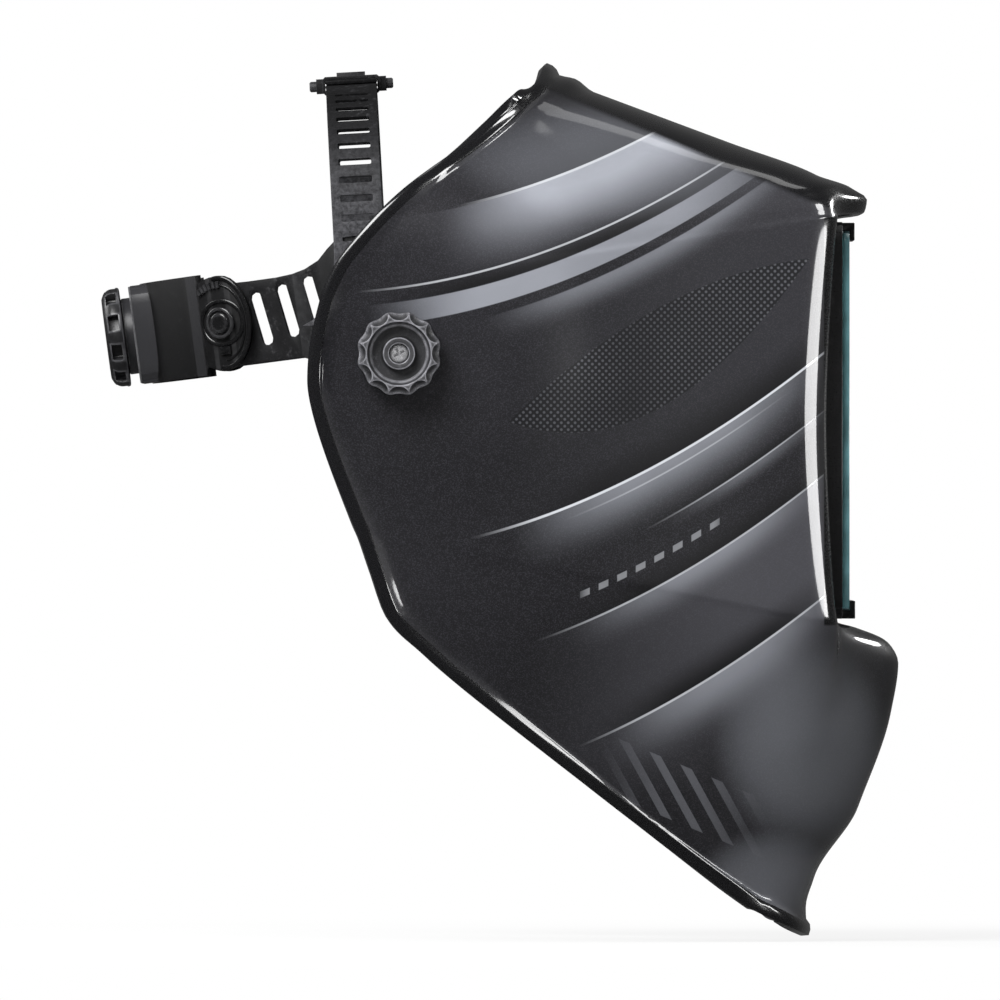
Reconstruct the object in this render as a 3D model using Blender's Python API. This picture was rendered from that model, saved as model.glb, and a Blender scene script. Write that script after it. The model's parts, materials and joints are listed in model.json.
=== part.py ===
"""Auto-darkening welding helmet with ratchet headgear, as separate solid pieces.

+X is forward, +Y the wearer's left and +Z up. The origin is the middle of the tilt axis, half way
between the two tension knobs. All sizes are in metres.
"""

import math
from typing import Callable, NamedTuple

import bmesh
import bpy
import numpy as np
from mathutils import Matrix, Vector

MM = 0.001
RIGHT = -1
LEFT = 1
SIDE_NAMES = {RIGHT: "right", LEFT: "left"}

# Facets of round pieces and columns of the mask's surface
WIDE_STEPS = 20
SMALL_STEPS = 16
FRONT_COLUMNS = 5
CORNER_COLUMNS = 4
SIDE_COLUMNS = 5

# Fits shared by all pieces
SEAT_GAP = 0.3 * MM
PIN_GAP = 0.3 * MM

# Mask
SHELL_HEIGHT = 331.0 * MM
SHELL_WALL = 2.4 * MM
SHELL_PIVOT_Y = 112.0 * MM
PIVOT_FLAT_RADIUS = 38.0 * MM
PIVOT_BLEND_RADIUS = 76.0 * MM
SIDE_BULGE = 0.03
RIM_BEAD_WIDTH = 6.0 * MM
RIM_BEAD_HEIGHT = 1.3 * MM
RIM_TIP_X = 55.6 * MM
RIM_TIP_Z = 110.5 * MM
CHIN_TIP_X = 154.8 * MM
ROOF_MIDDLE_X = 125.0 * MM
ROOF_MIDDLE_Z = 80.7 * MM
ROOF_SLOPE = 0.3735
BROW_REACH = 177.3 * MM
SNOUT_REACH = 189.3 * MM

# Window in the front of the mask
WINDOW_TOP = 50.0 * MM
WINDOW_BOTTOM = -100.0 * MM
WINDOW_HALF_WIDTH = 70.0 * MM
WINDOW_CORNER = 8.0 * MM
WINDOW_WALL_X = 165.5 * MM
WINDOW_DISH = 4.2 * MM
FRAME_PROUD = 1.9 * MM
FRAME_SIDE_WALL = 5.7 * MM
FRAME_END_WALL = 9.0 * MM
FRAME_LIP_WIDTH = 4.0 * MM
FRAME_LIP_DEPTH = 3.1 * MM
FRAME_FLANGE_WIDTH = 4.5 * MM
FRAME_FLANGE_DEPTH = 2.0 * MM
HOOK_REACH = 5.0 * MM
HOOK_LIP = 3.2 * MM
TOP_HOOK_INSET = 40.0 * MM
SILL_INSET = 20.0 * MM
HOOK_WALL = 3.2 * MM

# Cover lens
LENS_THICKNESS = 2.4 * MM
LENS_SIDE_INSET = 3.5 * MM
LENS_CORNER = 6.0 * MM

# Filter cassette
CASE_DEPTH = 13.0 * MM
CASE_CORNER = 5.0 * MM
GLASS_SENSOR_GAP = 1.9 * MM
GLASS_HEIGHT = 86.0 * MM
GLASS_TOP_MARGIN = 9.0 * MM
GLASS_THICKNESS = 2.0 * MM
VIEW_LEDGE = 2.0 * MM
INNER_LENS_MARGIN = 4.0 * MM
INNER_LENS_THICKNESS = 1.2 * MM
CONTROL_ROW = 17.0 * MM
SOLAR_SENSOR_GAP = 17.9 * MM
SOLAR_HEIGHT = 16.0 * MM
SOLAR_THICKNESS = 1.0 * MM
SENSOR_RADIUS = 3.6 * MM
SENSOR_DEPTH = 3.0 * MM
SENSOR_LIP_GAP = 0.9 * MM
SENSOR_UPPER_DROP = 20.0 * MM
RETAINER_DEPTH = 2.4 * MM
RETAINER_LAP = 4.0 * MM

# Dials, button and battery on the wearer's side of the cassette
SHADE_DIAL_RADIUS = 9.0 * MM
SMALL_DIAL_RADIUS = 7.0 * MM
DIAL_HEIGHT = 8.0 * MM
DIAL_SHAFT_RADIUS = 2.5 * MM
DIAL_SHAFT_LENGTH = 5.0 * MM
DIAL_EDGE_GAP = 5.0 * MM
BUTTON_RADIUS = 4.0 * MM
BUTTON_PROUD = 3.0 * MM
BUTTON_DEPTH = 3.0 * MM
BUTTON_TRAVEL = 1.2 * MM
CELL_EDGE_GAP = 1.4 * MM
CELL_RADIUS = 12.2 * MM
CELL_THICKNESS = 5.0 * MM
CELL_COVER_LIP = 1.4 * MM
CELL_COVER_DEPTH = 1.8 * MM
COIN_SLOT_WIDTH = 2.0 * MM

# Side pivots, measured along the tilt axis
STUD_RADIUS = 4.0 * MM
STUD_HEAD_RADIUS = 6.6 * MM
STUD_HEAD_HEIGHT = 1.6 * MM
STUD_GRIP = 5.0 * MM
BUSH_WALL = 1.8 * MM
BUSH_FLANGE_RADIUS = 11.0 * MM
BUSH_FLANGE_DEPTH = 2.0 * MM
INNER_WASHER_RADIUS = 12.0 * MM
INNER_WASHER_THICKNESS = 1.4 * MM
OUTER_WASHER_RADIUS = 13.0 * MM
OUTER_WASHER_THICKNESS = 1.3 * MM
STOP_PLATE_THICKNESS = 2.0 * MM
STOP_PLATE_ROOT_RADIUS = 15.0 * MM
STOP_PLATE_TIP_RADIUS = 22.0 * MM
STOP_PIN_RADIUS = 2.0 * MM
STOP_PIN_ORBIT = 18.6 * MM
STOP_PIN_ANGLE = math.radians(100.0)
TILT_RANGE = math.radians(65.0)

# Tension knob
KNOB_RADIUS = 16.0 * MM
KNOB_HEIGHT = 12.5 * MM
KNOB_FLUTES = 12
KNOB_FLUTE_DEPTH = 1.5 * MM
KNOB_BOWL_RADIUS = 11.8 * MM
KNOB_BOWL_DEPTH = 5.0 * MM
KNOB_HUB_RADIUS = 6.1 * MM
KNOB_HUB_DROP = 1.6 * MM
SCREW_HEAD_RADIUS = 3.6 * MM
SCREW_HEAD_HEIGHT = 1.6 * MM
SCREW_SHANK_RADIUS = 1.9 * MM
SCREW_SHANK_LENGTH = 6.0 * MM
SCREW_WEB = 2.0 * MM

# Headgear, in a frame tipped up at the brow
HEADGEAR_TILT = math.radians(7.5)
BROW_X = 106.0 * MM
NAPE_X = -89.0 * MM
BAND_HALF_WIDTH = 80.0 * MM
BROW_FULLNESS = 2.4
NAPE_FULLNESS = 3.0
BAND_THICKNESS = 2.0 * MM
BAND_CENTRE_Z = 20.5 * MM
BAND_HALF_HEIGHT = 16.5 * MM
EAR_DROP = 16.0 * MM
EAR_HALF_LENGTH = 22.0 * MM
EAR_BLEND = 12.0 * MM
GUSSET_RISE = 9.5 * MM
GUSSET_REACH = 28.0 * MM
ARM_WAIST = 2.3 * MM
ARM_WAIST_REAR_X = -70.0 * MM
ARM_WAIST_FRONT_X = -16.0 * MM
ARM_WAIST_BLEND = 10.0 * MM
ARM_SLOT_LENGTH = 21.6 * MM
ARM_SLOT_WIDTH = 4.4 * MM
ARM_SLOT_PITCH = 10.2 * MM
ARM_SLOT_FIRST_X = -50.0 * MM
ARM_SLOT_LEAN = math.radians(9.0)
ARM_SLOT_RISE = 1.8 * MM
ARM_SLOT_COUNT = 3

# Slide rails and blocks that set the mask nearer or further
RAIL_HALF_LENGTH = 24.0 * MM
RAIL_HALF_HEIGHT = 11.0 * MM
RAIL_BASE = 1.8 * MM
RAIL_FLANGE = 2.4 * MM
RAIL_LIP = 1.6 * MM
RAIL_MOUTH_HALF = 6.5 * MM
BLOCK_THICKNESS = 3.6 * MM
BLOCK_HALF_LENGTH = 12.0 * MM
BLOCK_BOSS_RADIUS = 6.1 * MM

# Crown straps, in a frame on the headband that leans forward
STRAP_ROOT_X = -11.9 * MM
STRAP_ROOT_Z = 13.5 * MM
STRAP_LEAN = math.radians(4.4)
STRAP_WIDTH = 19.2 * MM
STRAP_THICKNESS = 1.4 * MM
STRAP_RISE = 26.5 * MM
STRAP_ARCH = 64.0 * MM
STRAP_FULLNESS = 2.5
STRAP_FLARE = 15.0 * MM
STRAP_FLARE_RISE = 28.5 * MM
STRAP_TAIL = 13.0 * MM
STRAP_SLOT_LENGTH = 11.4 * MM
STRAP_SLOT_WIDTH = 3.2 * MM
STRAP_SLOT_PITCH = 7.4 * MM
STRAP_SLOT_FIRST = 33.0 * MM
STRAP_SLOT_COUNT = 11
STRAP_BLIND_SLOTS = 4

# Crown buckle
BUCKLE_WALL = 1.2 * MM
BUCKLE_LENGTH = 7.0 * MM
BUCKLE_PEG_BLOCK = 2.2 * MM
BUCKLE_PEG_RADIUS = 2.0 * MM
BUCKLE_PEG_LENGTH = 2.6 * MM
BUCKLE_TAB_HALF_WIDTH = 5.4 * MM
BUCKLE_TAB_HEIGHT = 1.4 * MM

# Rear cradle
DISC_ANGLE = math.radians(128.0)
ARM_DISC_RADIUS = 17.0 * MM
CRADLE_STANDOFF = 3.2 * MM
CRADLE_WALL = 2.4 * MM
CRADLE_DISC_RADIUS = 17.8 * MM
CRADLE_DISC_REACH = 11.0 * MM
CRADLE_NECK_HALF_HEIGHT = 14.5 * MM
CRADLE_HALF_HEIGHT = 19.0 * MM
CRADLE_RIB_START = 8.0 * MM
CRADLE_RIB_WIDTH = 4.0 * MM
CRADLE_RIB_HEIGHT = 1.6 * MM
RIVET_SHANK_RADIUS = 3.0 * MM
RIVET_HEAD_RADIUS = 6.0 * MM
RIVET_HEAD_HEIGHT = 1.8 * MM
RIVET_FLOAT = 0.8 * MM

# Ratchet
HOUSING_HALF_WIDTH = 39.0 * MM
HOUSING_DEPTH = 10.0 * MM
HOUSING_WALL = 2.2 * MM
HOUSING_CORNER = 7.0 * MM
HOUSING_END_STEP = 0.4 * MM
BASE_THICKNESS = 2.0 * MM
TOOTH_MODULE = 1.2 * MM
PINION_TEETH = 14
PRESSURE_ANGLE = math.radians(20.0)
TOOTH_ADDENDUM = 0.9 * MM
TOOTH_DEDENDUM = 1.15 * MM
TOOTH_BACKLASH = 0.25 * MM
RACK_THICKNESS = 2.4 * MM
RACK_LENGTH = 40.0 * MM
RACK_BACK = 3.0 * MM
RACK_SHIFT = 2.0 * MM
RATCHET_SHAFT_RADIUS = 4.0 * MM
RATCHET_KNOB_RADIUS = 18.9 * MM
RATCHET_KNOB_DEPTH = 5.4 * MM
RATCHET_NECK_RADIUS = 14.5 * MM
RATCHET_NECK_DEPTH = 1.9 * MM
RATCHET_GRIPS = 10
RATCHET_GRIP_DEPTH = 1.4 * MM
SPRING_THICKNESS = 0.8 * MM

# Soft pieces
SWEATBAND_THICKNESS = 5.5 * MM
SWEATBAND_HALF_HEIGHT = 19.0 * MM
SWEATBAND_SPAN = math.radians(64.0)
NAPE_PAD_THICKNESS = 7.0 * MM
NAPE_PAD_HALF_HEIGHT = 17.5 * MM
NAPE_PAD_SPAN = math.radians(34.0)

# Sizes that follow from the ones above
CHIN_TIP_Z = RIM_TIP_Z - SHELL_HEIGHT
FRAME_FRONT_X = WINDOW_WALL_X + FRAME_PROUD
FRAME_BACK_X = FRAME_FRONT_X - FRAME_LIP_DEPTH - SEAT_GAP - CASE_DEPTH - SEAT_GAP
CASE_FRONT_X = FRAME_FRONT_X - FRAME_LIP_DEPTH - SEAT_GAP
CASE_BACK_X = CASE_FRONT_X - CASE_DEPTH
CASE_HALF_WIDTH = WINDOW_HALF_WIDTH - FRAME_SIDE_WALL - SEAT_GAP
TOP_HOOK_HALF_WIDTH = WINDOW_HALF_WIDTH - TOP_HOOK_INSET
SILL_HALF_WIDTH = WINDOW_HALF_WIDTH - SILL_INSET
SENSOR_Y = CASE_HALF_WIDTH - FRAME_LIP_WIDTH - SENSOR_LIP_GAP - SENSOR_RADIUS
GLASS_HALF_WIDTH = SENSOR_Y - SENSOR_RADIUS - GLASS_SENSOR_GAP
SOLAR_HALF_WIDTH = SENSOR_Y - SENSOR_RADIUS - SOLAR_SENSOR_GAP
CELL_COVER_RADIUS = CELL_RADIUS + CELL_COVER_LIP
CELL_Y = CASE_HALF_WIDTH - RETAINER_LAP - CELL_EDGE_GAP - CELL_COVER_RADIUS
SHADE_DIAL_Y = SHADE_DIAL_RADIUS + DIAL_EDGE_GAP + RETAINER_LAP - CASE_HALF_WIDTH
CONTROL_RUN = CELL_Y - CELL_COVER_RADIUS - SHADE_DIAL_Y - SHADE_DIAL_RADIUS
CONTROL_GAP = (CONTROL_RUN - 4 * SMALL_DIAL_RADIUS - 2 * BUTTON_RADIUS) / 4
SENSITIVITY_DIAL_Y = SHADE_DIAL_Y + SHADE_DIAL_RADIUS + CONTROL_GAP + SMALL_DIAL_RADIUS
DELAY_DIAL_Y = SENSITIVITY_DIAL_Y + 2 * SMALL_DIAL_RADIUS + CONTROL_GAP
BUTTON_Y = DELAY_DIAL_Y + SMALL_DIAL_RADIUS + CONTROL_GAP + BUTTON_RADIUS
CASE_TOP = WINDOW_TOP - FRAME_END_WALL - HOOK_WALL + SEAT_GAP
CASE_BOTTOM = WINDOW_BOTTOM + FRAME_END_WALL
GLASS_TOP = CASE_TOP - GLASS_TOP_MARGIN
GLASS_BOTTOM = GLASS_TOP - GLASS_HEIGHT
CONTROL_Z = CASE_BOTTOM + CONTROL_ROW
LENS_BACK_X = FRAME_FRONT_X + SEAT_GAP
LENS_TOP = WINDOW_TOP - HOOK_WALL - SEAT_GAP
LENS_BOTTOM = WINDOW_BOTTOM + HOOK_WALL + SEAT_GAP
LENS_HALF_WIDTH = WINDOW_HALF_WIDTH - LENS_SIDE_INSET
SHELL_PIVOT_INNER_Y = SHELL_PIVOT_Y - SHELL_WALL
BUSH_RADIUS = STUD_RADIUS + PIN_GAP + BUSH_WALL
SHELL_HOLE_RADIUS = BUSH_RADIUS + PIN_GAP
BUSH_INNER_Y = SHELL_PIVOT_INNER_Y - SEAT_GAP - BUSH_FLANGE_DEPTH
INNER_WASHER_Y = BUSH_INNER_Y - SEAT_GAP - INNER_WASHER_THICKNESS
STOP_PLATE_Y = INNER_WASHER_Y - SEAT_GAP - STOP_PLATE_THICKNESS
BLOCK_END_Y = STOP_PLATE_Y - SEAT_GAP
RAIL_Y = BAND_HALF_WIDTH + BAND_THICKNESS / 2 + SEAT_GAP
BLOCK_Y = RAIL_Y + RAIL_BASE + SEAT_GAP
BLOCK_OUTER_Y = BLOCK_Y + BLOCK_THICKNESS
RAIL_LIP_Y = BLOCK_OUTER_Y + SEAT_GAP
BLOCK_HALF_HEIGHT = RAIL_HALF_HEIGHT - RAIL_FLANGE - SEAT_GAP
OUTER_WASHER_Y = SHELL_PIVOT_Y + SEAT_GAP
KNOB_Y = OUTER_WASHER_Y + OUTER_WASHER_THICKNESS + SEAT_GAP
STUD_END_Y = KNOB_Y + STUD_GRIP
PINION_RADIUS = TOOTH_MODULE * PINION_TEETH / 2
RACK_PITCH = math.pi * TOOTH_MODULE
BAND_HALF_LENGTH = (BROW_X - NAPE_X) / 2
BAND_CENTRE_X = (BROW_X + NAPE_X) / 2
CRADLE_OUTER = CRADLE_STANDOFF + CRADLE_WALL
BASE_FRONT_X = NAPE_X - CRADLE_STANDOFF
BASE_BACK_X = BASE_FRONT_X - BASE_THICKNESS
RACK_FRONT_X = BASE_BACK_X - SEAT_GAP
RACK_BACK_X = RACK_FRONT_X - RACK_THICKNESS
HOUSING_BACK_X = BASE_FRONT_X - HOUSING_DEPTH
HOUSING_FLOOR_X = HOUSING_BACK_X + HOUSING_WALL
HOUSING_HALF_HEIGHT = CRADLE_HALF_HEIGHT - HOUSING_END_STEP
RATCHET_KNOB_X = HOUSING_BACK_X - SEAT_GAP
STRAP_INNER_Y = BAND_HALF_WIDTH + BAND_THICKNESS / 2 + SEAT_GAP
STRAP_LAYER = STRAP_THICKNESS + SEAT_GAP


class Station(NamedTuple):
    """One cross-section of the mask, from the middle of its front round to the side rim.

    front and rim are (x, z) places, corner the half width where the front would meet the side, reach
    the run of the rounded corner, crown the fall of the front towards the corner. feature is an (x, z)
    push of the middle that fades out between the half widths full and fade.
    """

    front: tuple[float, float]
    rim: tuple[float, float]
    corner: float
    reach: float
    crown: float
    half_width: float
    feature: tuple[float, float]
    full: float
    fade: float
    rows: int


def clear_scene() -> None:
    """Remove all objects that the file opened with."""
    for old in list(bpy.data.objects):
        bpy.data.objects.remove(old, do_unlink=True)


def principled(name: str, colour: tuple[float, float, float], roughness: float,
               metallic: float = 0.0, alpha: float = 1.0) -> bpy.types.Material:
    """A plain surface with one Principled BSDF node."""
    made = bpy.data.materials.get(name)
    if made is not None:
        return made
    made = bpy.data.materials.new(name)
    made.use_nodes = True
    node = made.node_tree.nodes["Principled BSDF"]
    node.inputs["Base Color"].default_value = (*colour, 1.0)
    node.inputs["Roughness"].default_value = roughness
    node.inputs["Metallic"].default_value = metallic
    node.inputs["Alpha"].default_value = alpha
    made.diffuse_color = (*colour, alpha)
    return made


def shell_paint() -> bpy.types.Material:
    """Charcoal paint under clear coat."""
    return principled("shell_paint", (0.030, 0.030, 0.036), 0.22)


def black_moulding() -> bpy.types.Material:
    """Black moulded frame and cassette plastic."""
    return principled("black_moulding", (0.014, 0.014, 0.015), 0.42)


def clear_lens() -> bpy.types.Material:
    """Clear cover plate with a teal edge."""
    return principled("clear_lens", (0.24, 0.42, 0.44), 0.05, alpha=0.35)


def dark_filter() -> bpy.types.Material:
    """Dark green filter glass."""
    return principled("dark_filter", (0.010, 0.035, 0.022), 0.06)


def solar_film() -> bpy.types.Material:
    """Deep violet solar strip."""
    return principled("solar_film", (0.020, 0.012, 0.030), 0.18)


def knob_plastic() -> bpy.types.Material:
    """Dark grey grained knob plastic."""
    return principled("knob_plastic", (0.036, 0.036, 0.038), 0.58)


def headgear_plastic() -> bpy.types.Material:
    """Matte black flexible headgear plastic."""
    return principled("headgear_plastic", (0.024, 0.024, 0.025), 0.50)


def bright_steel() -> bpy.types.Material:
    """Plated steel of screws, studs and pins."""
    return principled("bright_steel", (0.62, 0.62, 0.64), 0.28, metallic=1.0)


def fibre_washer() -> bpy.types.Material:
    """Grey friction washers."""
    return principled("fibre_washer", (0.085, 0.085, 0.085), 0.80)


def towelling() -> bpy.types.Material:
    """Black towelling over foam."""
    return principled("towelling", (0.018, 0.018, 0.019), 0.95)


def add_object(name: str, shape: bmesh.types.BMesh, surface: bpy.types.Material,
               parent: bpy.types.Object | None = None, smooth: bool = True) -> bpy.types.Object:
    """Turn a bmesh into a named object with one material."""
    bmesh.ops.recalc_face_normals(shape, faces=shape.faces)
    mesh = bpy.data.meshes.new(name)
    shape.to_mesh(mesh)
    shape.free()
    if smooth:
        mesh.shade_smooth()
        mesh.set_sharp_from_angle(angle=math.radians(38.0))
    mesh.materials.append(surface)
    made = bpy.data.objects.new(name, mesh)
    bpy.context.scene.collection.objects.link(made)
    made.parent = parent
    return made


def add_tool(name: str, shape: bmesh.types.BMesh,
             parent: bpy.types.Object | None = None) -> bpy.types.Object:
    """A hidden body that cuts or joins another one."""
    made = add_object(name, shape, black_moulding(), parent, smooth=False)
    made.hide_render = True
    made.display_type = "WIRE"
    return made


def combine(body: bpy.types.Object, tool: bpy.types.Object, operation: str) -> None:
    """Put one Boolean step on a body."""
    step = body.modifiers.new(f"{operation.lower()}_{tool.name}", "BOOLEAN")
    step.operation = operation
    step.solver = "EXACT"
    step.object = tool


def place(axis: str, a: float, b: float, h: float) -> Vector:
    """A point of an outline (a, b) at height h along X, Y or Z."""
    if axis == "X":
        return Vector((h, a, b))
    if axis == "Y":
        return Vector((a, h, b))
    return Vector((a, b, h))


def extrude_into(shape: bmesh.types.BMesh, outline: list[tuple[float, float]], start: float,
                 end: float, axis: str) -> None:
    """Add a prism over an outline."""
    low = [shape.verts.new(place(axis, a, b, start)) for a, b in outline]
    high = [shape.verts.new(place(axis, a, b, end)) for a, b in outline]
    shape.faces.new(low)
    shape.faces.new(high[::-1])
    count = len(outline)
    for i in range(count):
        j = (i + 1) % count
        shape.faces.new((low[i], high[i], high[j], low[j]))


def prism(outline: list[tuple[float, float]], start: float, end: float,
          axis: str) -> bmesh.types.BMesh:
    """One prism over an outline."""
    shape = bmesh.new()
    extrude_into(shape, outline, start, end, axis)
    return shape


def box(low: tuple[float, float, float], high: tuple[float, float, float]) -> bmesh.types.BMesh:
    """A plain box between two corners."""
    outline = [(low[0], low[1]), (high[0], low[1]), (high[0], high[1]), (low[0], high[1])]
    return prism(outline, low[2], high[2], "Z")


def arc(centre: tuple[float, float], radius: float, start: float, end: float,
        count: int) -> list[tuple[float, float]]:
    """Points along a circular arc, ends included."""
    steps = [start + (end - start) * i / (count - 1) for i in range(count)]
    return [(centre[0] + radius * math.cos(t), centre[1] + radius * math.sin(t)) for t in steps]


def rounded_rectangle(half_width: float, bottom: float, top: float, radius: float,
                      count: int = 4) -> list[tuple[float, float]]:
    """An outline about a = 0 with rounded corners."""
    outline = []
    corners = ((1, top, 0.0), (-1, top, 90.0), (-1, bottom, 180.0), (1, bottom, 270.0))
    for sign, level, turn in corners:
        inward = -1 if level == top else 1
        centre = (sign * (half_width - radius), level + inward * radius)
        outline += arc(centre, radius, math.radians(turn), math.radians(turn + 90), count)
    return outline


def stadium(centre: tuple[float, float], length: float, width: float, lean: float,
            count: int = 5) -> list[tuple[float, float]]:
    """A slot outline with round ends, its long axis turned from +b by lean."""
    half = (length - width) / 2
    points = arc((0.0, half), width / 2, 0.0, math.pi, count)
    points += arc((0.0, -half), width / 2, math.pi, 2 * math.pi, count)
    cos, sin = math.cos(lean), math.sin(lean)
    return [(centre[0] + a * cos - b * sin, centre[1] + a * sin + b * cos) for a, b in points]


def framed(outer: list[tuple[float, float]], inner: list[tuple[float, float]], start: float,
           end: float, axis: str) -> bmesh.types.BMesh:
    """A ring between two outlines that have the same number of points."""
    shape = bmesh.new()
    loops = [[shape.verts.new(place(axis, a, b, h)) for a, b in ring]
             for ring, h in ((outer, start), (outer, end), (inner, end), (inner, start))]
    count = len(outer)
    for k in range(4):
        first, second = loops[k], loops[(k + 1) % 4]
        for i in range(count):
            j = (i + 1) % count
            shape.faces.new((first[i], first[j], second[j], second[i]))
    return shape


def turned(profile: list[tuple[float, float]], steps: int, flutes: int = 0,
           depth: float = 0.0, fluted: tuple[int, ...] = ()) -> bmesh.types.BMesh:
    """A body turned about +Z from (radius, height) points, with optional flutes on some of them.

    A profile that starts and ends at radius 0 is solid; any other one closes on itself.
    """
    shape = bmesh.new()
    solid = profile[0][0] == 0.0 and profile[-1][0] == 0.0
    rings = []
    for k, (radius, height) in enumerate(profile):
        if radius == 0.0:
            rings.append([shape.verts.new((0.0, 0.0, height))])
            continue
        ring = []
        for i in range(steps):
            turn = 2 * math.pi * i / steps
            dip = depth * (0.5 - 0.5 * math.cos(flutes * turn)) ** 2 if k in fluted else 0.0
            ring.append(shape.verts.new(((radius - dip) * math.cos(turn),
                                         (radius - dip) * math.sin(turn), height)))
        rings.append(ring)
    pairs = list(zip(rings[:-1], rings[1:]))
    if not solid:
        pairs.append((rings[-1], rings[0]))
    for low, high in pairs:
        for i in range(steps):
            j = (i + 1) % steps
            corners = [low[i % len(low)], low[j % len(low)], high[j % len(high)], high[i % len(high)]]
            shape.faces.new(list(dict.fromkeys(corners)))
    return shape


def move(shape: bmesh.types.BMesh, matrix: Matrix) -> bmesh.types.BMesh:
    """Apply a placement to a bmesh."""
    bmesh.ops.transform(shape, matrix=matrix, verts=shape.verts)
    return shape


def merge(target: bmesh.types.BMesh, extra: bmesh.types.BMesh) -> None:
    """Copy one bmesh into another."""
    mesh = bpy.data.meshes.new("merge")
    extra.to_mesh(mesh)
    extra.free()
    target.from_mesh(mesh)
    bpy.data.meshes.remove(mesh)


def outward(made: bpy.types.Object, side: int, distance: float) -> bpy.types.Object:
    """Stand a piece made along +Z on the tilt axis, facing out on one side."""
    made.location = (0.0, side * distance, 0.0)
    made.rotation_euler = (-side * math.pi / 2, 0.0, 0.0)
    return made


def backward(made: bpy.types.Object, x: float, y: float, z: float) -> bpy.types.Object:
    """Stand a piece made along +Z so that it faces the back."""
    made.location = (x, y, z)
    made.rotation_euler = (0.0, -math.pi / 2, 0.0)
    return made


def on_roof(x: float) -> tuple[float, float]:
    """A point of the straight roof line of the mask."""
    return (x, ROOF_MIDDLE_Z + (ROOF_MIDDLE_X - x) * ROOF_SLOPE)


def crown_stations() -> list[Station]:
    """The top of the mask: the raised rim, the hump behind it and the roof down to the brow."""
    tip_x = RIM_TIP_X
    tip_z = RIM_TIP_Z
    lift = tip_z - on_roof(tip_x)[1]
    half = 38 * MM
    fade = 66 * MM
    side = SHELL_PIVOT_Y
    return [
        Station(on_roof(tip_x), (tip_x - 10.6 * MM, tip_z - 13.9 * MM), 60 * MM, 22 * MM, 4 * MM,
                side - 33.0 * MM, (0.0, lift), half, fade, 2),
        Station(on_roof(tip_x + 5 * MM), (tip_x - 15.0 * MM, tip_z - 17.7 * MM), 60 * MM, 22 * MM,
                4.5 * MM, side - 30.0 * MM, (0.0, 0.40 * lift), half, fade, 1),
        Station(on_roof(tip_x + 11 * MM), (tip_x - 20.6 * MM, tip_z - 22.6 * MM), 61 * MM, 22 * MM,
                5 * MM, side - 26.0 * MM, (0.0, 0.62 * lift), half, fade, 2),
        Station(on_roof(tip_x + 18 * MM), (tip_x - 27.2 * MM, tip_z - 28.1 * MM), 63 * MM, 23 * MM,
                5 * MM, side - 22.0 * MM, (0.0, 0.0), half, fade, 2),
        Station(on_roof(ROOF_MIDDLE_X), (-2.2 * MM, 58.8 * MM), 70 * MM, 24 * MM, 5 * MM,
                side - 6.0 * MM, (0.0, 0.0), half, fade, 2),
        Station(on_roof(ROOF_MIDDLE_X + 33 * MM), (-18.0 * MM, 42.0 * MM), 76 * MM, 20 * MM, 4 * MM,
                side - 1.0 * MM, (0.0, 0.0), half, fade, 1),
    ]


def window_stations() -> list[Station]:
    """The brow and the dished wall round the window."""
    top = WINDOW_TOP + 1.5 * MM
    low = WINDOW_BOTTOM - 1.0 * MM
    flat = WINDOW_HALF_WIDTH + 2.0 * MM
    wall = WINDOW_WALL_X
    side = SHELL_PIVOT_Y
    brow = BROW_REACH - wall
    full = 42 * MM
    fade = flat + 2 * MM
    return [
        Station((wall + 0.5 * MM, 63.0 * MM), (-24 * MM, 34 * MM), flat + 7 * MM, 18 * MM, 3 * MM, side,
                (0.50 * brow, 0.0), full, fade, 2),
        Station((wall + 0.5 * MM, 58.8 * MM), (-26.8 * MM, 28.5 * MM), flat + 9 * MM, 13 * MM, 1.5 * MM,
                side, (0.96 * brow, 0.0), full, fade, 1),
        Station((wall + 0.2 * MM, top + 2.4 * MM), (-28.4 * MM, 25 * MM), flat + 10 * MM, 11 * MM,
                0.5 * MM, side, (0.88 * brow, 0.0), full, fade, 2),
        Station((wall, top), (-29.6 * MM, 21.5 * MM), flat + 11 * MM, 11 * MM, 0.0, side + 0.5 * MM,
                (0.0, 0.0), full, fade, 3),
        Station((wall - WINDOW_DISH, (top + low) / 2), (-34.6 * MM, -10 * MM), flat + 12 * MM, 12 * MM,
                0.0, side + 1.5 * MM, (0.0, 0.0), full, fade, 3),
        Station((wall, low), (-17.4 * MM, -64.5 * MM), flat + 10 * MM, 10 * MM, 0.0, side + 1.0 * MM,
                (0.0, 0.0), 24 * MM, 62 * MM, 2),
    ]


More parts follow.
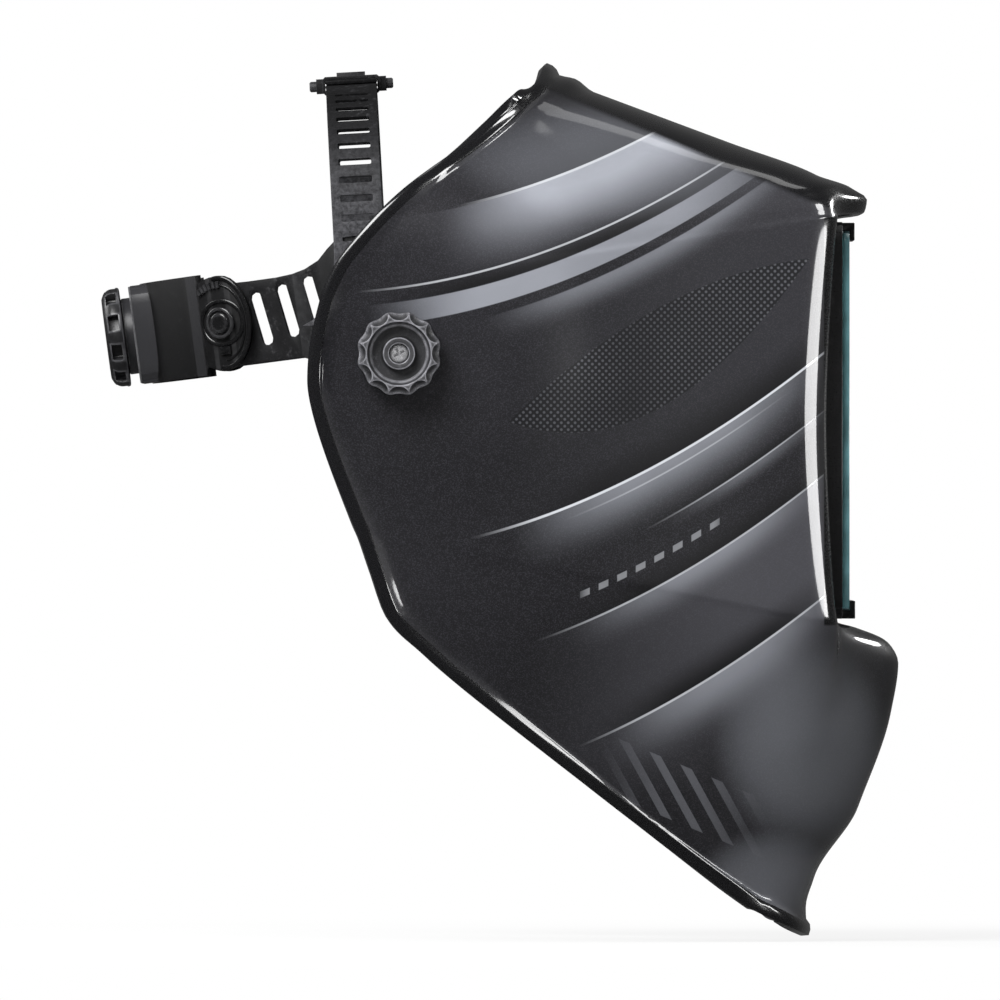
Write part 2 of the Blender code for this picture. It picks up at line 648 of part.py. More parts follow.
def chin_stations() -> list[Station]:
    """The ledge under the window, the snout and the chin down to its turned-out lip."""
    low = WINDOW_BOTTOM - 1.0 * MM
    wall = WINDOW_WALL_X
    snout = SNOUT_REACH - wall - 2 * MM
    chin_x = CHIN_TIP_X
    chin_z = CHIN_TIP_Z
    full = 20 * MM
    fade = 60 * MM
    side = SHELL_PIVOT_Y
    return [
        Station((wall + 0.6 * MM, low - 2.6 * MM), (-15.4 * MM, -69 * MM), 81 * MM, 12 * MM, 0.5 * MM,
                side + 0.8 * MM, (0.33 * snout, 0.0), full, fade, 2),
        Station((wall + 1.5 * MM, low - 8.2 * MM), (-10.6 * MM, -83 * MM), 79 * MM, 16 * MM, 1.5 * MM,
                side, (0.84 * snout, 0.0), full, fade, 2),
        Station((wall + 2.0 * MM, low - 16 * MM), (-4.8 * MM, -99 * MM), 76 * MM, 20 * MM, 3 * MM,
                side - 2.0 * MM, (snout, 0.0), full, fade, 2),
        Station((wall + 2.0 * MM, low - 35 * MM), (10 * MM, -114.1 * MM), 69 * MM, 24 * MM, 5 * MM,
                side - 6.5 * MM, (0.87 * snout, 0.0), full, fade, 3),
        Station((chin_x + 11.5 * MM, chin_z + 49 * MM), (chin_x - 95.6 * MM, chin_z + 66.5 * MM),
                55 * MM, 24 * MM, 6 * MM, side - 24.0 * MM, (0.36 * snout, 0.0), full, fade - 8 * MM,
                3),
        Station((chin_x + 2.4 * MM, chin_z + 21.5 * MM), (chin_x - 49.8 * MM, chin_z + 30.9 * MM),
                42 * MM, 20 * MM, 6 * MM, side - 48.0 * MM, (0.0, 0.0), full, fade - 16 * MM, 2),
        Station((chin_x - 0.6 * MM, chin_z + 10.5 * MM), (chin_x - 34.6 * MM, chin_z + 19.5 * MM),
                38 * MM, 18 * MM, 6 * MM, side - 57.0 * MM, (0.0, 0.0), full, fade - 18 * MM, 2),
        Station((chin_x, chin_z), (chin_x - 22.2 * MM, chin_z + 10.7 * MM), 36 * MM, 16 * MM, 6 * MM,
                side - 64.0 * MM, (0.0, 0.0), full, fade - 20 * MM, 1),
    ]


def shell_stations() -> list[Station]:
    """All cross-sections of the mask from the crown to the chin."""
    return crown_stations() + window_stations() + chin_stations()


def monotone_slopes(knots: np.ndarray, values: np.ndarray) -> np.ndarray:
    """Slopes of a smooth curve through the values that never overshoots them."""
    steps = np.diff(knots)
    rise = np.diff(values, axis=0) / steps[:, None]
    slopes = np.zeros_like(values)
    slopes[0], slopes[-1] = rise[0], rise[-1]
    for i in range(1, len(values) - 1):
        before, after = rise[i - 1], rise[i]
        same = before * after > 0
        first = 2 * steps[i] + steps[i - 1]
        second = steps[i] + 2 * steps[i - 1]
        safe_before = np.where(same, before, 1.0)
        safe_after = np.where(same, after, 1.0)
        mean = (first + second) / (first / safe_before + second / safe_after)
        slopes[i] = np.where(same, mean, 0.0)
    return slopes


def shell_rows() -> np.ndarray:
    """Station values between the stations, one row for each line of the mask's surface."""
    stations = shell_stations()
    values = np.array([(*s.front, *s.rim, s.corner, s.reach, s.crown, s.half_width, *s.feature, s.full,
                        s.fade) for s in stations])
    middle = values[:, 0:2] + values[:, 8:10]
    lengths = np.linalg.norm(np.diff(middle, axis=0), axis=1)
    knots = np.concatenate(([0.0], np.cumsum(lengths)))
    slopes = monotone_slopes(knots, values)
    rows = []
    for i in range(len(stations) - 1):
        span = knots[i + 1] - knots[i]
        for k in range(stations[i].rows):
            t = k / stations[i].rows
            rows.append((2 * t**3 - 3 * t**2 + 1) * values[i] + (t**3 - 2 * t**2 + t) * span * slopes[i]
                        + (3 * t**2 - 2 * t**3) * values[i + 1] + (t**3 - t**2) * span * slopes[i + 1])
    rows.append(values[-1])
    return np.array(rows)


def flatten_at_pivot(point: Vector) -> Vector:
    """Pull the side panel flat round the pivot hole."""
    radius = math.hypot(point.x, point.z)
    blend = (PIVOT_BLEND_RADIUS - radius) / (PIVOT_BLEND_RADIUS - PIVOT_FLAT_RADIUS)
    blend = min(max(blend, 0.0), 1.0)
    blend = blend * blend * (3 - 2 * blend)
    if point.y < SHELL_PIVOT_Y / 2:
        return point
    return Vector((point.x, point.y + (SHELL_PIVOT_Y - point.y) * blend, point.z))


def feature_share(y: float, full: float, fade: float) -> float:
    """How much of a middle feature is left at a half width."""
    t = min(max((fade - y) / (fade - full), 0.0), 1.0)
    return t * t * (3 - 2 * t)


def section_outline(row: np.ndarray) -> tuple[list[Vector], list[float]]:
    """Half a section as (half width, depth) points, with the bead height at each point."""
    depth = float(np.hypot(row[2] - row[0], row[3] - row[1]))
    corner, reach, crown, half_width = (float(v) for v in row[4:8])
    knee = Vector((corner, crown * (1 - (reach / corner) ** 2)))
    edge = Vector((half_width, depth))
    along = (edge - knee).normalized()
    out = Vector((along.y, -along.x))
    start = corner - reach
    begin = Vector((start, crown * (start / corner) ** 2))
    finish = knee + along * min(reach, 0.4 * (edge - knee).length)
    points = [Vector((start * i / FRONT_COLUMNS, crown * (start * i / FRONT_COLUMNS / corner) ** 2))
              for i in range(FRONT_COLUMNS)]
    for i in range(CORNER_COLUMNS):
        t = i / (CORNER_COLUMNS - 1)
        points.append(begin * (1 - t) ** 2 + knee * 2 * t * (1 - t) + finish * t**2)
    side = (edge - finish).length
    bead = min(RIM_BEAD_WIDTH, 0.4 * side)
    stops = [(side - bead) * i / SIDE_COLUMNS for i in range(1, SIDE_COLUMNS + 1)]
    bead_heights = [RIM_BEAD_HEIGHT, RIM_BEAD_HEIGHT, 0.4 * RIM_BEAD_HEIGHT]
    heights = [0.0] * (len(points) + len(stops)) + bead_heights
    stops += [side - 0.84 * bead, side - 0.2 * bead, side]
    for stop in stops:
        swell = SIDE_BULGE * side * math.sin(math.pi * stop / side) ** 2
        points.append(finish + along * stop + out * swell)
    return points, heights


def shell_section(row: np.ndarray) -> tuple[list[Vector], list[float]]:
    """Half a section of the mask in space, from the middle plane to the rim on the left."""
    front, rim = Vector(row[0:2]), Vector(row[2:4])
    into = (rim - front).normalized()
    points, heights = section_outline(row)
    placed = []
    for point in points:
        share = feature_share(point.x, float(row[10]), float(row[11]))
        x = front.x + into.x * point.y + float(row[8]) * share
        z = front.y + into.y * point.y + float(row[9]) * share
        placed.append(flatten_at_pivot(Vector((x, point.x, z))))
    return placed, heights


def grid_normals(grid: np.ndarray) -> np.ndarray:
    """Outward unit normals of a grid of points; the last line's ends take those of the line before."""
    down = np.gradient(grid, axis=0)
    across = np.gradient(grid, axis=1)
    normals = np.cross(down, across)
    normals = normals / np.linalg.norm(normals, axis=2, keepdims=True)
    ends = SIDE_COLUMNS + 3
    normals[-1, :ends] = normals[-2, :ends]
    normals[-1, -ends:] = normals[-2, -ends:]
    return normals


def mirrored(half: list) -> list:
    """A half row and its mirror image, from the right rim to the left one."""
    return [Vector((p.x, -p.y, p.z)) for p in half[:0:-1]] + list(half)


def shell_body() -> bmesh.types.BMesh:
    """The mask as an outer and an inner skin joined along the rim."""
    sections = [shell_section(row) for row in shell_rows()]
    core = np.array([[tuple(p) for p in mirrored(points)] for points, _ in sections])
    beads = np.array([heights[:0:-1] + heights for _, heights in sections])
    normals = grid_normals(core)
    outer = core + normals * beads[:, :, None]
    inner = core - normals * SHELL_WALL
    shape = bmesh.new()
    skins = [[[shape.verts.new(p) for p in line] for line in skin] for skin in (outer, inner)]
    rows, columns = core.shape[:2]
    for skin in skins:
        for i in range(rows - 1):
            for j in range(columns - 1):
                shape.faces.new((skin[i][j], skin[i + 1][j], skin[i + 1][j + 1], skin[i][j + 1]))
    for i in range(rows - 1):
        for j in (0, columns - 1):
            shape.faces.new((skins[0][i][j], skins[0][i + 1][j], skins[1][i + 1][j], skins[1][i][j]))
    for j in range(columns - 1):
        for i in (0, rows - 1):
            shape.faces.new((skins[0][i][j], skins[0][i][j + 1], skins[1][i][j + 1], skins[1][i][j]))
    return shape


def pivot_hole_tool(radius: float) -> bmesh.types.BMesh:
    """One long pin through both side pivots."""
    profile = [(0.0, -150 * MM), (radius, -150 * MM), (radius, 150 * MM), (0.0, 150 * MM)]
    return move(turned(profile, WIDE_STEPS), Matrix.Rotation(math.pi / 2, 4, "X"))


def build_shell() -> bpy.types.Object:
    """The mask: a thin lofted wall with a window and two pivot holes."""
    shell = add_object("shell", shell_body(), shell_paint())
    outline = rounded_rectangle(WINDOW_HALF_WIDTH + SEAT_GAP, WINDOW_BOTTOM - SEAT_GAP,
                                WINDOW_TOP + SEAT_GAP, WINDOW_CORNER + SEAT_GAP)
    front = WINDOW_WALL_X + 4.5 * MM
    window = prism(outline, WINDOW_WALL_X - WINDOW_DISH - 2.5 * SHELL_WALL, front, "X")
    combine(shell, add_tool("shell_window_cut", window), "DIFFERENCE")
    combine(shell, add_tool("shell_pivot_cut", pivot_hole_tool(SHELL_HOLE_RADIUS)), "DIFFERENCE")
    return shell


def frame_hooks() -> bmesh.types.BMesh:
    """The top hook and the sill that hold the cover lens, as one tool of two bodies."""
    base = FRAME_FRONT_X - 1.5 * MM
    lip_x = LENS_BACK_X + LENS_THICKNESS + SEAT_GAP
    tip_x = FRAME_FRONT_X + HOOK_REACH
    top = [(base, WINDOW_TOP), (tip_x, WINDOW_TOP), (tip_x, LENS_TOP - HOOK_LIP),
           (lip_x, LENS_TOP - HOOK_LIP), (lip_x, LENS_TOP + SEAT_GAP), (base, LENS_TOP + SEAT_GAP)]
    low = [(base, WINDOW_BOTTOM), (base, LENS_BOTTOM - SEAT_GAP), (lip_x, LENS_BOTTOM - SEAT_GAP),
           (lip_x, LENS_BOTTOM + HOOK_LIP), (tip_x, LENS_BOTTOM + HOOK_LIP), (tip_x, WINDOW_BOTTOM)]
    shape = bmesh.new()
    extrude_into(shape, top, -TOP_HOOK_HALF_WIDTH, TOP_HOOK_HALF_WIDTH, "Y")
    extrude_into(shape, low, -SILL_HALF_WIDTH, SILL_HALF_WIDTH, "Y")
    return shape


def build_window_frame() -> bpy.types.Object:
    """The black frame that stands through the window and carries lens and cassette."""
    outer = rounded_rectangle(WINDOW_HALF_WIDTH, WINDOW_BOTTOM, WINDOW_TOP, WINDOW_CORNER)
    lip = rounded_rectangle(CASE_HALF_WIDTH - FRAME_LIP_WIDTH, CASE_BOTTOM + FRAME_LIP_WIDTH,
                            CASE_TOP - FRAME_LIP_WIDTH, CASE_CORNER)
    frame = add_object("window_frame", framed(outer, lip, FRAME_BACK_X, FRAME_FRONT_X, "X"),
                       black_moulding(), smooth=False)
    combine(frame, add_tool("frame_hook_join", frame_hooks()), "UNION")
    flange_outer = rounded_rectangle(WINDOW_HALF_WIDTH + FRAME_FLANGE_WIDTH,
                                     WINDOW_BOTTOM - FRAME_FLANGE_WIDTH,
                                     WINDOW_TOP + FRAME_FLANGE_WIDTH, WINDOW_CORNER)
    flange_inner = rounded_rectangle(WINDOW_HALF_WIDTH - 1.5 * MM, WINDOW_BOTTOM + 1.5 * MM,
                                     WINDOW_TOP - 1.5 * MM, WINDOW_CORNER)
    flange_x = WINDOW_WALL_X - WINDOW_DISH - SHELL_WALL - 2 * SEAT_GAP
    flange = framed(flange_outer, flange_inner, flange_x - FRAME_FLANGE_DEPTH, flange_x, "X")
    combine(frame, add_tool("frame_flange_join", flange), "UNION")
    bay = rounded_rectangle(CASE_HALF_WIDTH + SEAT_GAP, CASE_BOTTOM - SEAT_GAP, CASE_TOP + SEAT_GAP,
                            CASE_CORNER + SEAT_GAP)
    cut = prism(bay, FRAME_BACK_X - 5 * MM, CASE_FRONT_X + SEAT_GAP, "X")
    combine(frame, add_tool("frame_bay_cut", cut), "DIFFERENCE")
    return frame


def build_cover_lens() -> bpy.types.Object:
    """The clear outer plate in front of the filter."""
    outline = rounded_rectangle(LENS_HALF_WIDTH, LENS_BOTTOM, LENS_TOP, LENS_CORNER)
    plate = prism(outline, LENS_BACK_X, LENS_BACK_X + LENS_THICKNESS, "X")
    return add_object("cover_lens", plate, clear_lens(), smooth=False)


def case_pockets() -> bmesh.types.BMesh:
    """The seats of solar cell, sensors, dials, button and battery, as one tool."""
    shape = bmesh.new()
    over = 2 * MM
    front = CASE_FRONT_X + over
    back = CASE_BACK_X - over
    half = SOLAR_HEIGHT / 2 + SEAT_GAP
    solar = rounded_rectangle(SOLAR_HALF_WIDTH + SEAT_GAP, CONTROL_Z - half, CONTROL_Z + half, 1 * MM, 2)
    extrude_into(shape, solar, CASE_FRONT_X - SOLAR_THICKNESS - 2 * SEAT_GAP, front, "X")
    for y, z in sensor_places():
        ring = arc((y, z), SENSOR_RADIUS + SEAT_GAP, 0.0, 2 * math.pi * 11 / 12, 12)
        extrude_into(shape, ring, CASE_FRONT_X - SENSOR_DEPTH - SEAT_GAP, front, "X")
    for y in (SHADE_DIAL_Y, SENSITIVITY_DIAL_Y, DELAY_DIAL_Y):
        ring = arc((y, CONTROL_Z), DIAL_SHAFT_RADIUS + PIN_GAP, 0.0, 2 * math.pi * 11 / 12, 12)
        extrude_into(shape, ring, back, CASE_BACK_X + DIAL_SHAFT_LENGTH + SEAT_GAP, "X")
    ring = arc((BUTTON_Y, CONTROL_Z), BUTTON_RADIUS + PIN_GAP, 0.0, 2 * math.pi * 11 / 12, 12)
    extrude_into(shape, ring, back, CASE_BACK_X + BUTTON_DEPTH + BUTTON_TRAVEL + SEAT_GAP, "X")
    ring = arc((CELL_Y, CONTROL_Z), CELL_RADIUS + SEAT_GAP, 0.0, 2 * math.pi * 23 / 24, 24)
    extrude_into(shape, ring, back, CASE_BACK_X + CELL_COVER_DEPTH + CELL_THICKNESS + 2 * SEAT_GAP, "X")
    return shape


def sensor_places() -> list[tuple[float, float]]:
    """Places of the four arc sensors on the cassette's face."""
    upper = GLASS_TOP - SENSOR_UPPER_DROP
    return [(-SENSOR_Y, upper), (SENSOR_Y, upper), (-SENSOR_Y, CONTROL_Z), (SENSOR_Y, CONTROL_Z)]


def view_tool() -> bmesh.types.BMesh:
    """The stepped light path through the cassette."""
    steps = [(GLASS_HALF_WIDTH + SEAT_GAP, SEAT_GAP, CASE_FRONT_X - GLASS_THICKNESS - 2 * SEAT_GAP,
              CASE_FRONT_X + 2 * MM),
             (GLASS_HALF_WIDTH - VIEW_LEDGE, -VIEW_LEDGE, CASE_BACK_X + 0.5 * MM, CASE_FRONT_X),
             (GLASS_HALF_WIDTH + INNER_LENS_MARGIN + SEAT_GAP, INNER_LENS_MARGIN + SEAT_GAP,
              CASE_BACK_X - 2 * MM, CASE_BACK_X + INNER_LENS_THICKNESS + 2 * SEAT_GAP)]
    return steps


def build_filter_case() -> bpy.types.Object:
    """The cassette body, with its window, seats and bores."""
    outline = rounded_rectangle(CASE_HALF_WIDTH, CASE_BOTTOM, CASE_TOP, CASE_CORNER)
    case = add_object("filter_case", prism(outline, CASE_BACK_X, CASE_FRONT_X, "X"), black_moulding(),
                      smooth=False)
    for k, (half, grow, start, end) in enumerate(view_tool()):
        step = rounded_rectangle(half, GLASS_BOTTOM - grow, GLASS_TOP + grow, 3 * MM, 3)
        combine(case, add_tool(f"case_view_cut_{k}", prism(step, start, end, "X")), "DIFFERENCE")
    combine(case, add_tool("case_pocket_cut", case_pockets()), "DIFFERENCE")
    return case


def build_filter_glass() -> bpy.types.Object:
    """The dark view pane."""
    outline = rounded_rectangle(GLASS_HALF_WIDTH, GLASS_BOTTOM, GLASS_TOP, 2.7 * MM, 3)
    front = CASE_FRONT_X - SEAT_GAP
    return add_object("filter_glass", prism(outline, front - GLASS_THICKNESS, front, "X"), dark_filter(),
                      smooth=False)


def build_inner_lens() -> bpy.types.Object:
    """The clear plate on the wearer's side of the cassette."""
    outline = rounded_rectangle(GLASS_HALF_WIDTH + INNER_LENS_MARGIN, GLASS_BOTTOM - INNER_LENS_MARGIN,
                                GLASS_TOP + INNER_LENS_MARGIN, 2.7 * MM, 3)
    back = CASE_BACK_X + SEAT_GAP
    return add_object("inner_lens", prism(outline, back, back + INNER_LENS_THICKNESS, "X"), clear_lens(),
                      smooth=False)


def build_solar_cell() -> bpy.types.Object:
    """The strip that powers the filter."""
    outline = rounded_rectangle(SOLAR_HALF_WIDTH, CONTROL_Z - SOLAR_HEIGHT / 2,
                                CONTROL_Z + SOLAR_HEIGHT / 2, 0.8 * MM, 2)
    front = CASE_FRONT_X - SEAT_GAP
    return add_object("solar_cell", prism(outline, front - SOLAR_THICKNESS, front, "X"), solar_film(),
                      smooth=False)


def build_sensor(number: int, y: float, z: float) -> bpy.types.Object:
    """One arc sensor, a short stud with a domed face."""
    dome = [(0.0, 0.0), (SENSOR_RADIUS, 0.0), (SENSOR_RADIUS, SENSOR_DEPTH - 0.6 * MM),
            (0.7 * SENSOR_RADIUS, SENSOR_DEPTH - 0.1 * MM), (0.0, SENSOR_DEPTH + 0.2 * MM)]
    sensor = add_object(f"arc_sensor_{number}", turned(dome, 12), dark_filter())
    sensor.location = (CASE_FRONT_X - SENSOR_DEPTH, y, z)
    sensor.rotation_euler = (0.0, math.pi / 2, 0.0)
    return sensor


def build_retaining_frame() -> bpy.types.Object:
    """The clip-in ring that keeps the cassette in its bay."""
    outer = rounded_rectangle(WINDOW_HALF_WIDTH - 0.8 * MM, WINDOW_BOTTOM + 3 * MM, WINDOW_TOP - 6 * MM,
                              WINDOW_CORNER)
    inner = rounded_rectangle(CASE_HALF_WIDTH - RETAINER_LAP, CASE_BOTTOM + 0.6 * RETAINER_LAP,
                              CASE_TOP - RETAINER_LAP, CASE_CORNER)
    front = FRAME_BACK_X - SEAT_GAP
    ring = framed(outer, inner, front - RETAINER_DEPTH, front, "X")
    return add_object("retaining_frame", ring, black_moulding(), smooth=False)


def build_dial(name: str, y: float, radius: float) -> bpy.types.Object:
    """One control dial: a grooved cap on a short shaft."""
    profile = [(0.0, -DIAL_SHAFT_LENGTH - SEAT_GAP), (DIAL_SHAFT_RADIUS, -DIAL_SHAFT_LENGTH - SEAT_GAP),
               (DIAL_SHAFT_RADIUS, 0.0), (radius, 0.0), (radius, 0.8 * DIAL_HEIGHT),
               (radius - 1.2 * MM, DIAL_HEIGHT), (0.0, DIAL_HEIGHT)]
    cap = turned(profile, SMALL_STEPS, 8, 0.8 * MM, (4, 5))
    dial = add_object(name, cap, knob_plastic())
    pointer = box((-0.7 * MM, radius * 0.25, DIAL_HEIGHT - 0.8 * MM),
                  (0.7 * MM, radius * 0.8, DIAL_HEIGHT + 1 * MM))
    tool = add_tool(f"{name}_pointer_cut", pointer)
    tool.parent = dial
    combine(dial, tool, "DIFFERENCE")
    return backward(dial, CASE_BACK_X - SEAT_GAP, y, CONTROL_Z)


def build_test_button() -> bpy.types.Object:
    """The sprung button that darkens the filter for a test."""
    profile = [(0.0, -BUTTON_DEPTH), (BUTTON_RADIUS, -BUTTON_DEPTH), (BUTTON_RADIUS, BUTTON_PROUD - 0.8 * MM),
               (BUTTON_RADIUS - 0.8 * MM, BUTTON_PROUD), (0.0, BUTTON_PROUD - 0.5 * MM)]
    button = add_object("test_button", turned(profile, SMALL_STEPS), knob_plastic())
    return backward(button, CASE_BACK_X, BUTTON_Y, CONTROL_Z)


def build_battery() -> bpy.types.Object:
    """The coin cell behind its cover."""
    rim = 0.5 * MM
    profile = [(0.0, 0.0), (CELL_RADIUS - rim, 0.0), (CELL_RADIUS, rim),
               (CELL_RADIUS, CELL_THICKNESS - rim), (CELL_RADIUS - rim, CELL_THICKNESS),
               (0.0, CELL_THICKNESS)]
    cell = add_object("battery_cell", turned(profile, WIDE_STEPS), bright_steel())
    return backward(cell, CASE_BACK_X + CELL_COVER_DEPTH + SEAT_GAP + CELL_THICKNESS, CELL_Y, CONTROL_Z)


def build_battery_cover() -> bpy.types.Object:
    """The quarter-turn battery cover, with a coin slot."""
    lip = CELL_COVER_RADIUS
    profile = [(0.0, -CELL_COVER_DEPTH), (CELL_RADIUS, -CELL_COVER_DEPTH), (CELL_RADIUS, SEAT_GAP),
               (lip, SEAT_GAP), (lip, 1.2 * MM), (lip - 0.6 * MM, 1.8 * MM), (0.0, 1.8 * MM)]
    cover = add_object("battery_cover", turned(profile, WIDE_STEPS), black_moulding())
    slot = box((-COIN_SLOT_WIDTH / 2, -0.6 * lip, 0.8 * MM), (COIN_SLOT_WIDTH / 2, 0.6 * lip, 3 * MM))
    tool = add_tool("battery_cover_slot_cut", slot)
    tool.parent = cover
    combine(cover, tool, "DIFFERENCE")
    return backward(cover, CASE_BACK_X, CELL_Y, CONTROL_Z)


def build_pivot_bush(side: int) -> bpy.types.Object:
    """The flanged bush in the mask's pivot hole."""
    bore = STUD_RADIUS + PIN_GAP
    length = SHELL_PIVOT_Y - BUSH_INNER_Y
    profile = [(bore, 0.0), (BUSH_FLANGE_RADIUS, 0.0), (BUSH_FLANGE_RADIUS, BUSH_FLANGE_DEPTH),
               (BUSH_RADIUS, BUSH_FLANGE_DEPTH), (BUSH_RADIUS, length), (bore, length)]
    bush = add_object(f"pivot_bush_{SIDE_NAMES[side]}", turned(profile, SMALL_STEPS), black_moulding())
    return outward(bush, side, BUSH_INNER_Y)


def build_stop_pin(side: int) -> bpy.types.Object:
    """The pin inside the mask that meets the tilt stop."""
    start = STOP_PLATE_Y - 0.2 * MM
    end = SHELL_PIVOT_INNER_Y - SEAT_GAP
    profile = [(0.0, start), (STOP_PIN_RADIUS - 0.4 * MM, start), (STOP_PIN_RADIUS, start + 0.4 * MM),
               (STOP_PIN_RADIUS, end), (0.0, end)]
    shape = move(turned(profile, 10), Matrix.Rotation(-side * math.pi / 2, 4, "X"))
    place_at = (STOP_PIN_ORBIT * math.cos(STOP_PIN_ANGLE), 0.0, STOP_PIN_ORBIT * math.sin(STOP_PIN_ANGLE))
    pin = add_object(f"stop_pin_{SIDE_NAMES[side]}", shape, bright_steel())
    pin.location = place_at
    return pin


def stop_plate_outline() -> list[tuple[float, float]]:
    """A two-step cam: the low part leaves the stop pin room to swing."""
    slack = (STOP_PIN_RADIUS + SEAT_GAP) / STOP_PIN_ORBIT
    free_start = STOP_PIN_ANGLE - slack
    free_end = STOP_PIN_ANGLE + TILT_RANGE + slack
    low = arc((0.0, 0.0), STOP_PLATE_ROOT_RADIUS, free_start, free_end, 7)
    high = arc((0.0, 0.0), STOP_PLATE_TIP_RADIUS, free_end, free_start + 2 * math.pi, 16)
    return low + high


def build_stop_plate(side: int, headgear: bpy.types.Object) -> bpy.types.Object:
    """The fixed cam that limits the tilt, on the end of the slide block."""
    end = STOP_PLATE_Y + STOP_PLATE_THICKNESS
    shape = prism(stop_plate_outline(), side * STOP_PLATE_Y, side * end, "Y")
    move(shape, Matrix.Rotation(HEADGEAR_TILT, 4, "Y"))
    plate = add_object(f"stop_plate_{SIDE_NAMES[side]}", shape, black_moulding(), headgear, smooth=False)
    bore = add_tool(f"stop_plate_{SIDE_NAMES[side]}_cut", pivot_hole_tool(STUD_RADIUS + PIN_GAP), headgear)
    combine(plate, bore, "DIFFERENCE")
    return plate


def build_washer(name: str, side: int, y: float, radius: float, thickness: float) -> bpy.types.Object:
    """A flat friction washer on the stud."""
    bore = STUD_RADIUS + PIN_GAP
    profile = [(bore, 0.0), (radius, 0.0), (radius, thickness), (bore, thickness)]
    washer = add_object(f"{name}_{SIDE_NAMES[side]}", turned(profile, SMALL_STEPS), fibre_washer())
    return outward(washer, side, y)


def build_stud(side: int) -> bpy.types.Object:
    """The pivot stud: a headed pin with a threaded end for the knob's screw."""
    head = BLOCK_Y + SEAT_GAP
    length = STUD_END_Y - head
    hole = SCREW_SHANK_RADIUS + PIN_GAP
    floor = length - SCREW_SHANK_LENGTH
    profile = [(0.0, 0.0), (STUD_HEAD_RADIUS, 0.0), (STUD_HEAD_RADIUS, STUD_HEAD_HEIGHT),
               (STUD_RADIUS, STUD_HEAD_HEIGHT), (STUD_RADIUS, length), (hole, length), (hole, floor),
               (0.0, floor)]
    stud = add_object(f"pivot_stud_{SIDE_NAMES[side]}", turned(profile, SMALL_STEPS), bright_steel())
    return outward(stud, side, head)


def build_tension_knob(side: int) -> bpy.types.Object:
    """The fluted knob that sets the tilt friction, with a bowl and a central hub."""
    bore = STUD_RADIUS + PIN_GAP
    socket = STUD_END_Y - KNOB_Y + SEAT_GAP
    hub_top = KNOB_HEIGHT - KNOB_HUB_DROP
    seat = socket + SCREW_WEB
    pocket = SCREW_HEAD_RADIUS + PIN_GAP
    hole = SCREW_SHANK_RADIUS + PIN_GAP
    floor = KNOB_HEIGHT - KNOB_BOWL_DEPTH
    profile = [(bore, 0.0), (KNOB_RADIUS - 0.6 * MM, 0.0), (KNOB_RADIUS, KNOB_HEIGHT - 2.2 * MM),
               (KNOB_RADIUS - 0.9 * MM, KNOB_HEIGHT - 0.6 * MM), (KNOB_RADIUS - 2.4 * MM, KNOB_HEIGHT),
               (KNOB_BOWL_RADIUS + 0.6 * MM, KNOB_HEIGHT - 0.4 * MM),
               (KNOB_BOWL_RADIUS - 1.2 * MM, floor), (KNOB_HUB_RADIUS + 0.5 * MM, floor),
               (KNOB_HUB_RADIUS, hub_top), (pocket, hub_top), (pocket, seat), (hole, seat), (hole, socket),
               (bore, socket)]
    shape = turned(profile, 4 * KNOB_FLUTES, KNOB_FLUTES, KNOB_FLUTE_DEPTH, (1, 2, 3))
    knob = add_object(f"tension_knob_{SIDE_NAMES[side]}", shape, knob_plastic())
    return outward(knob, side, KNOB_Y)


def build_knob_screw(side: int) -> bpy.types.Object:
    """The cross-head screw in the middle of the knob."""
    seat = STUD_END_Y - KNOB_Y + 2 * SEAT_GAP + SCREW_WEB
    tip = seat - SCREW_SHANK_LENGTH - SEAT_GAP
    dome = SCREW_HEAD_HEIGHT
    profile = [(0.0, tip), (SCREW_SHANK_RADIUS, tip), (SCREW_SHANK_RADIUS, seat), (SCREW_HEAD_RADIUS, seat),
               (SCREW_HEAD_RADIUS, seat + 0.5 * dome), (0.72 * SCREW_HEAD_RADIUS, seat + 0.85 * dome),
               (0.0, seat + dome)]
    screw = add_object(f"knob_screw_{SIDE_NAMES[side]}", turned(profile, SMALL_STEPS), bright_steel())
    arm, half = 0.62 * SCREW_HEAD_RADIUS, 0.55 * MM
    cross = [(half, arm), (-half, arm), (-half, half), (-arm, half), (-arm, -half), (-half, -half),
             (-half, -arm), (half, -arm), (half, -half), (arm, -half), (arm, half), (half, half)]
    recess = prism(cross, seat + 0.35 * dome, seat + 2 * dome, "Z")
    tool = add_tool(f"knob_screw_{SIDE_NAMES[side]}_cut", recess)
    tool.parent = screw
    combine(screw, tool, "DIFFERENCE")
    return outward(screw, side, KNOB_Y)


def ring_spot(angle: float, offset: float) -> tuple[float, float]:
    """A point of the headband's oval, pushed out by offset; angle 0 is the brow, 90 degrees the left."""
    cos, sin = math.cos(angle), math.sin(angle)
    power = BROW_FULLNESS if cos >= 0 else NAPE_FULLNESS
    u = math.copysign(abs(cos) ** (2 / power), cos)
    v = math.copysign(abs(sin) ** (2 / power), sin)
    nx = math.copysign(abs(u) ** (power - 1), u) / BAND_HALF_LENGTH
    ny = math.copysign(abs(v) ** (power - 1), v) / BAND_HALF_WIDTH
    scale = offset / math.hypot(nx, ny)
    return BAND_CENTRE_X + BAND_HALF_LENGTH * u + nx * scale, BAND_HALF_WIDTH * v + ny * scale


def ring_travel(start: float, end: float) -> float:
    """Signed length along the oval between two angles."""
    count = 60
    spots = [Vector(ring_spot(start + (end - start) * i / count, 0.0)) for i in range(count + 1)]
    total = sum((b - a).length for a, b in zip(spots[:-1], spots[1:]))
    return math.copysign(total, end - start)


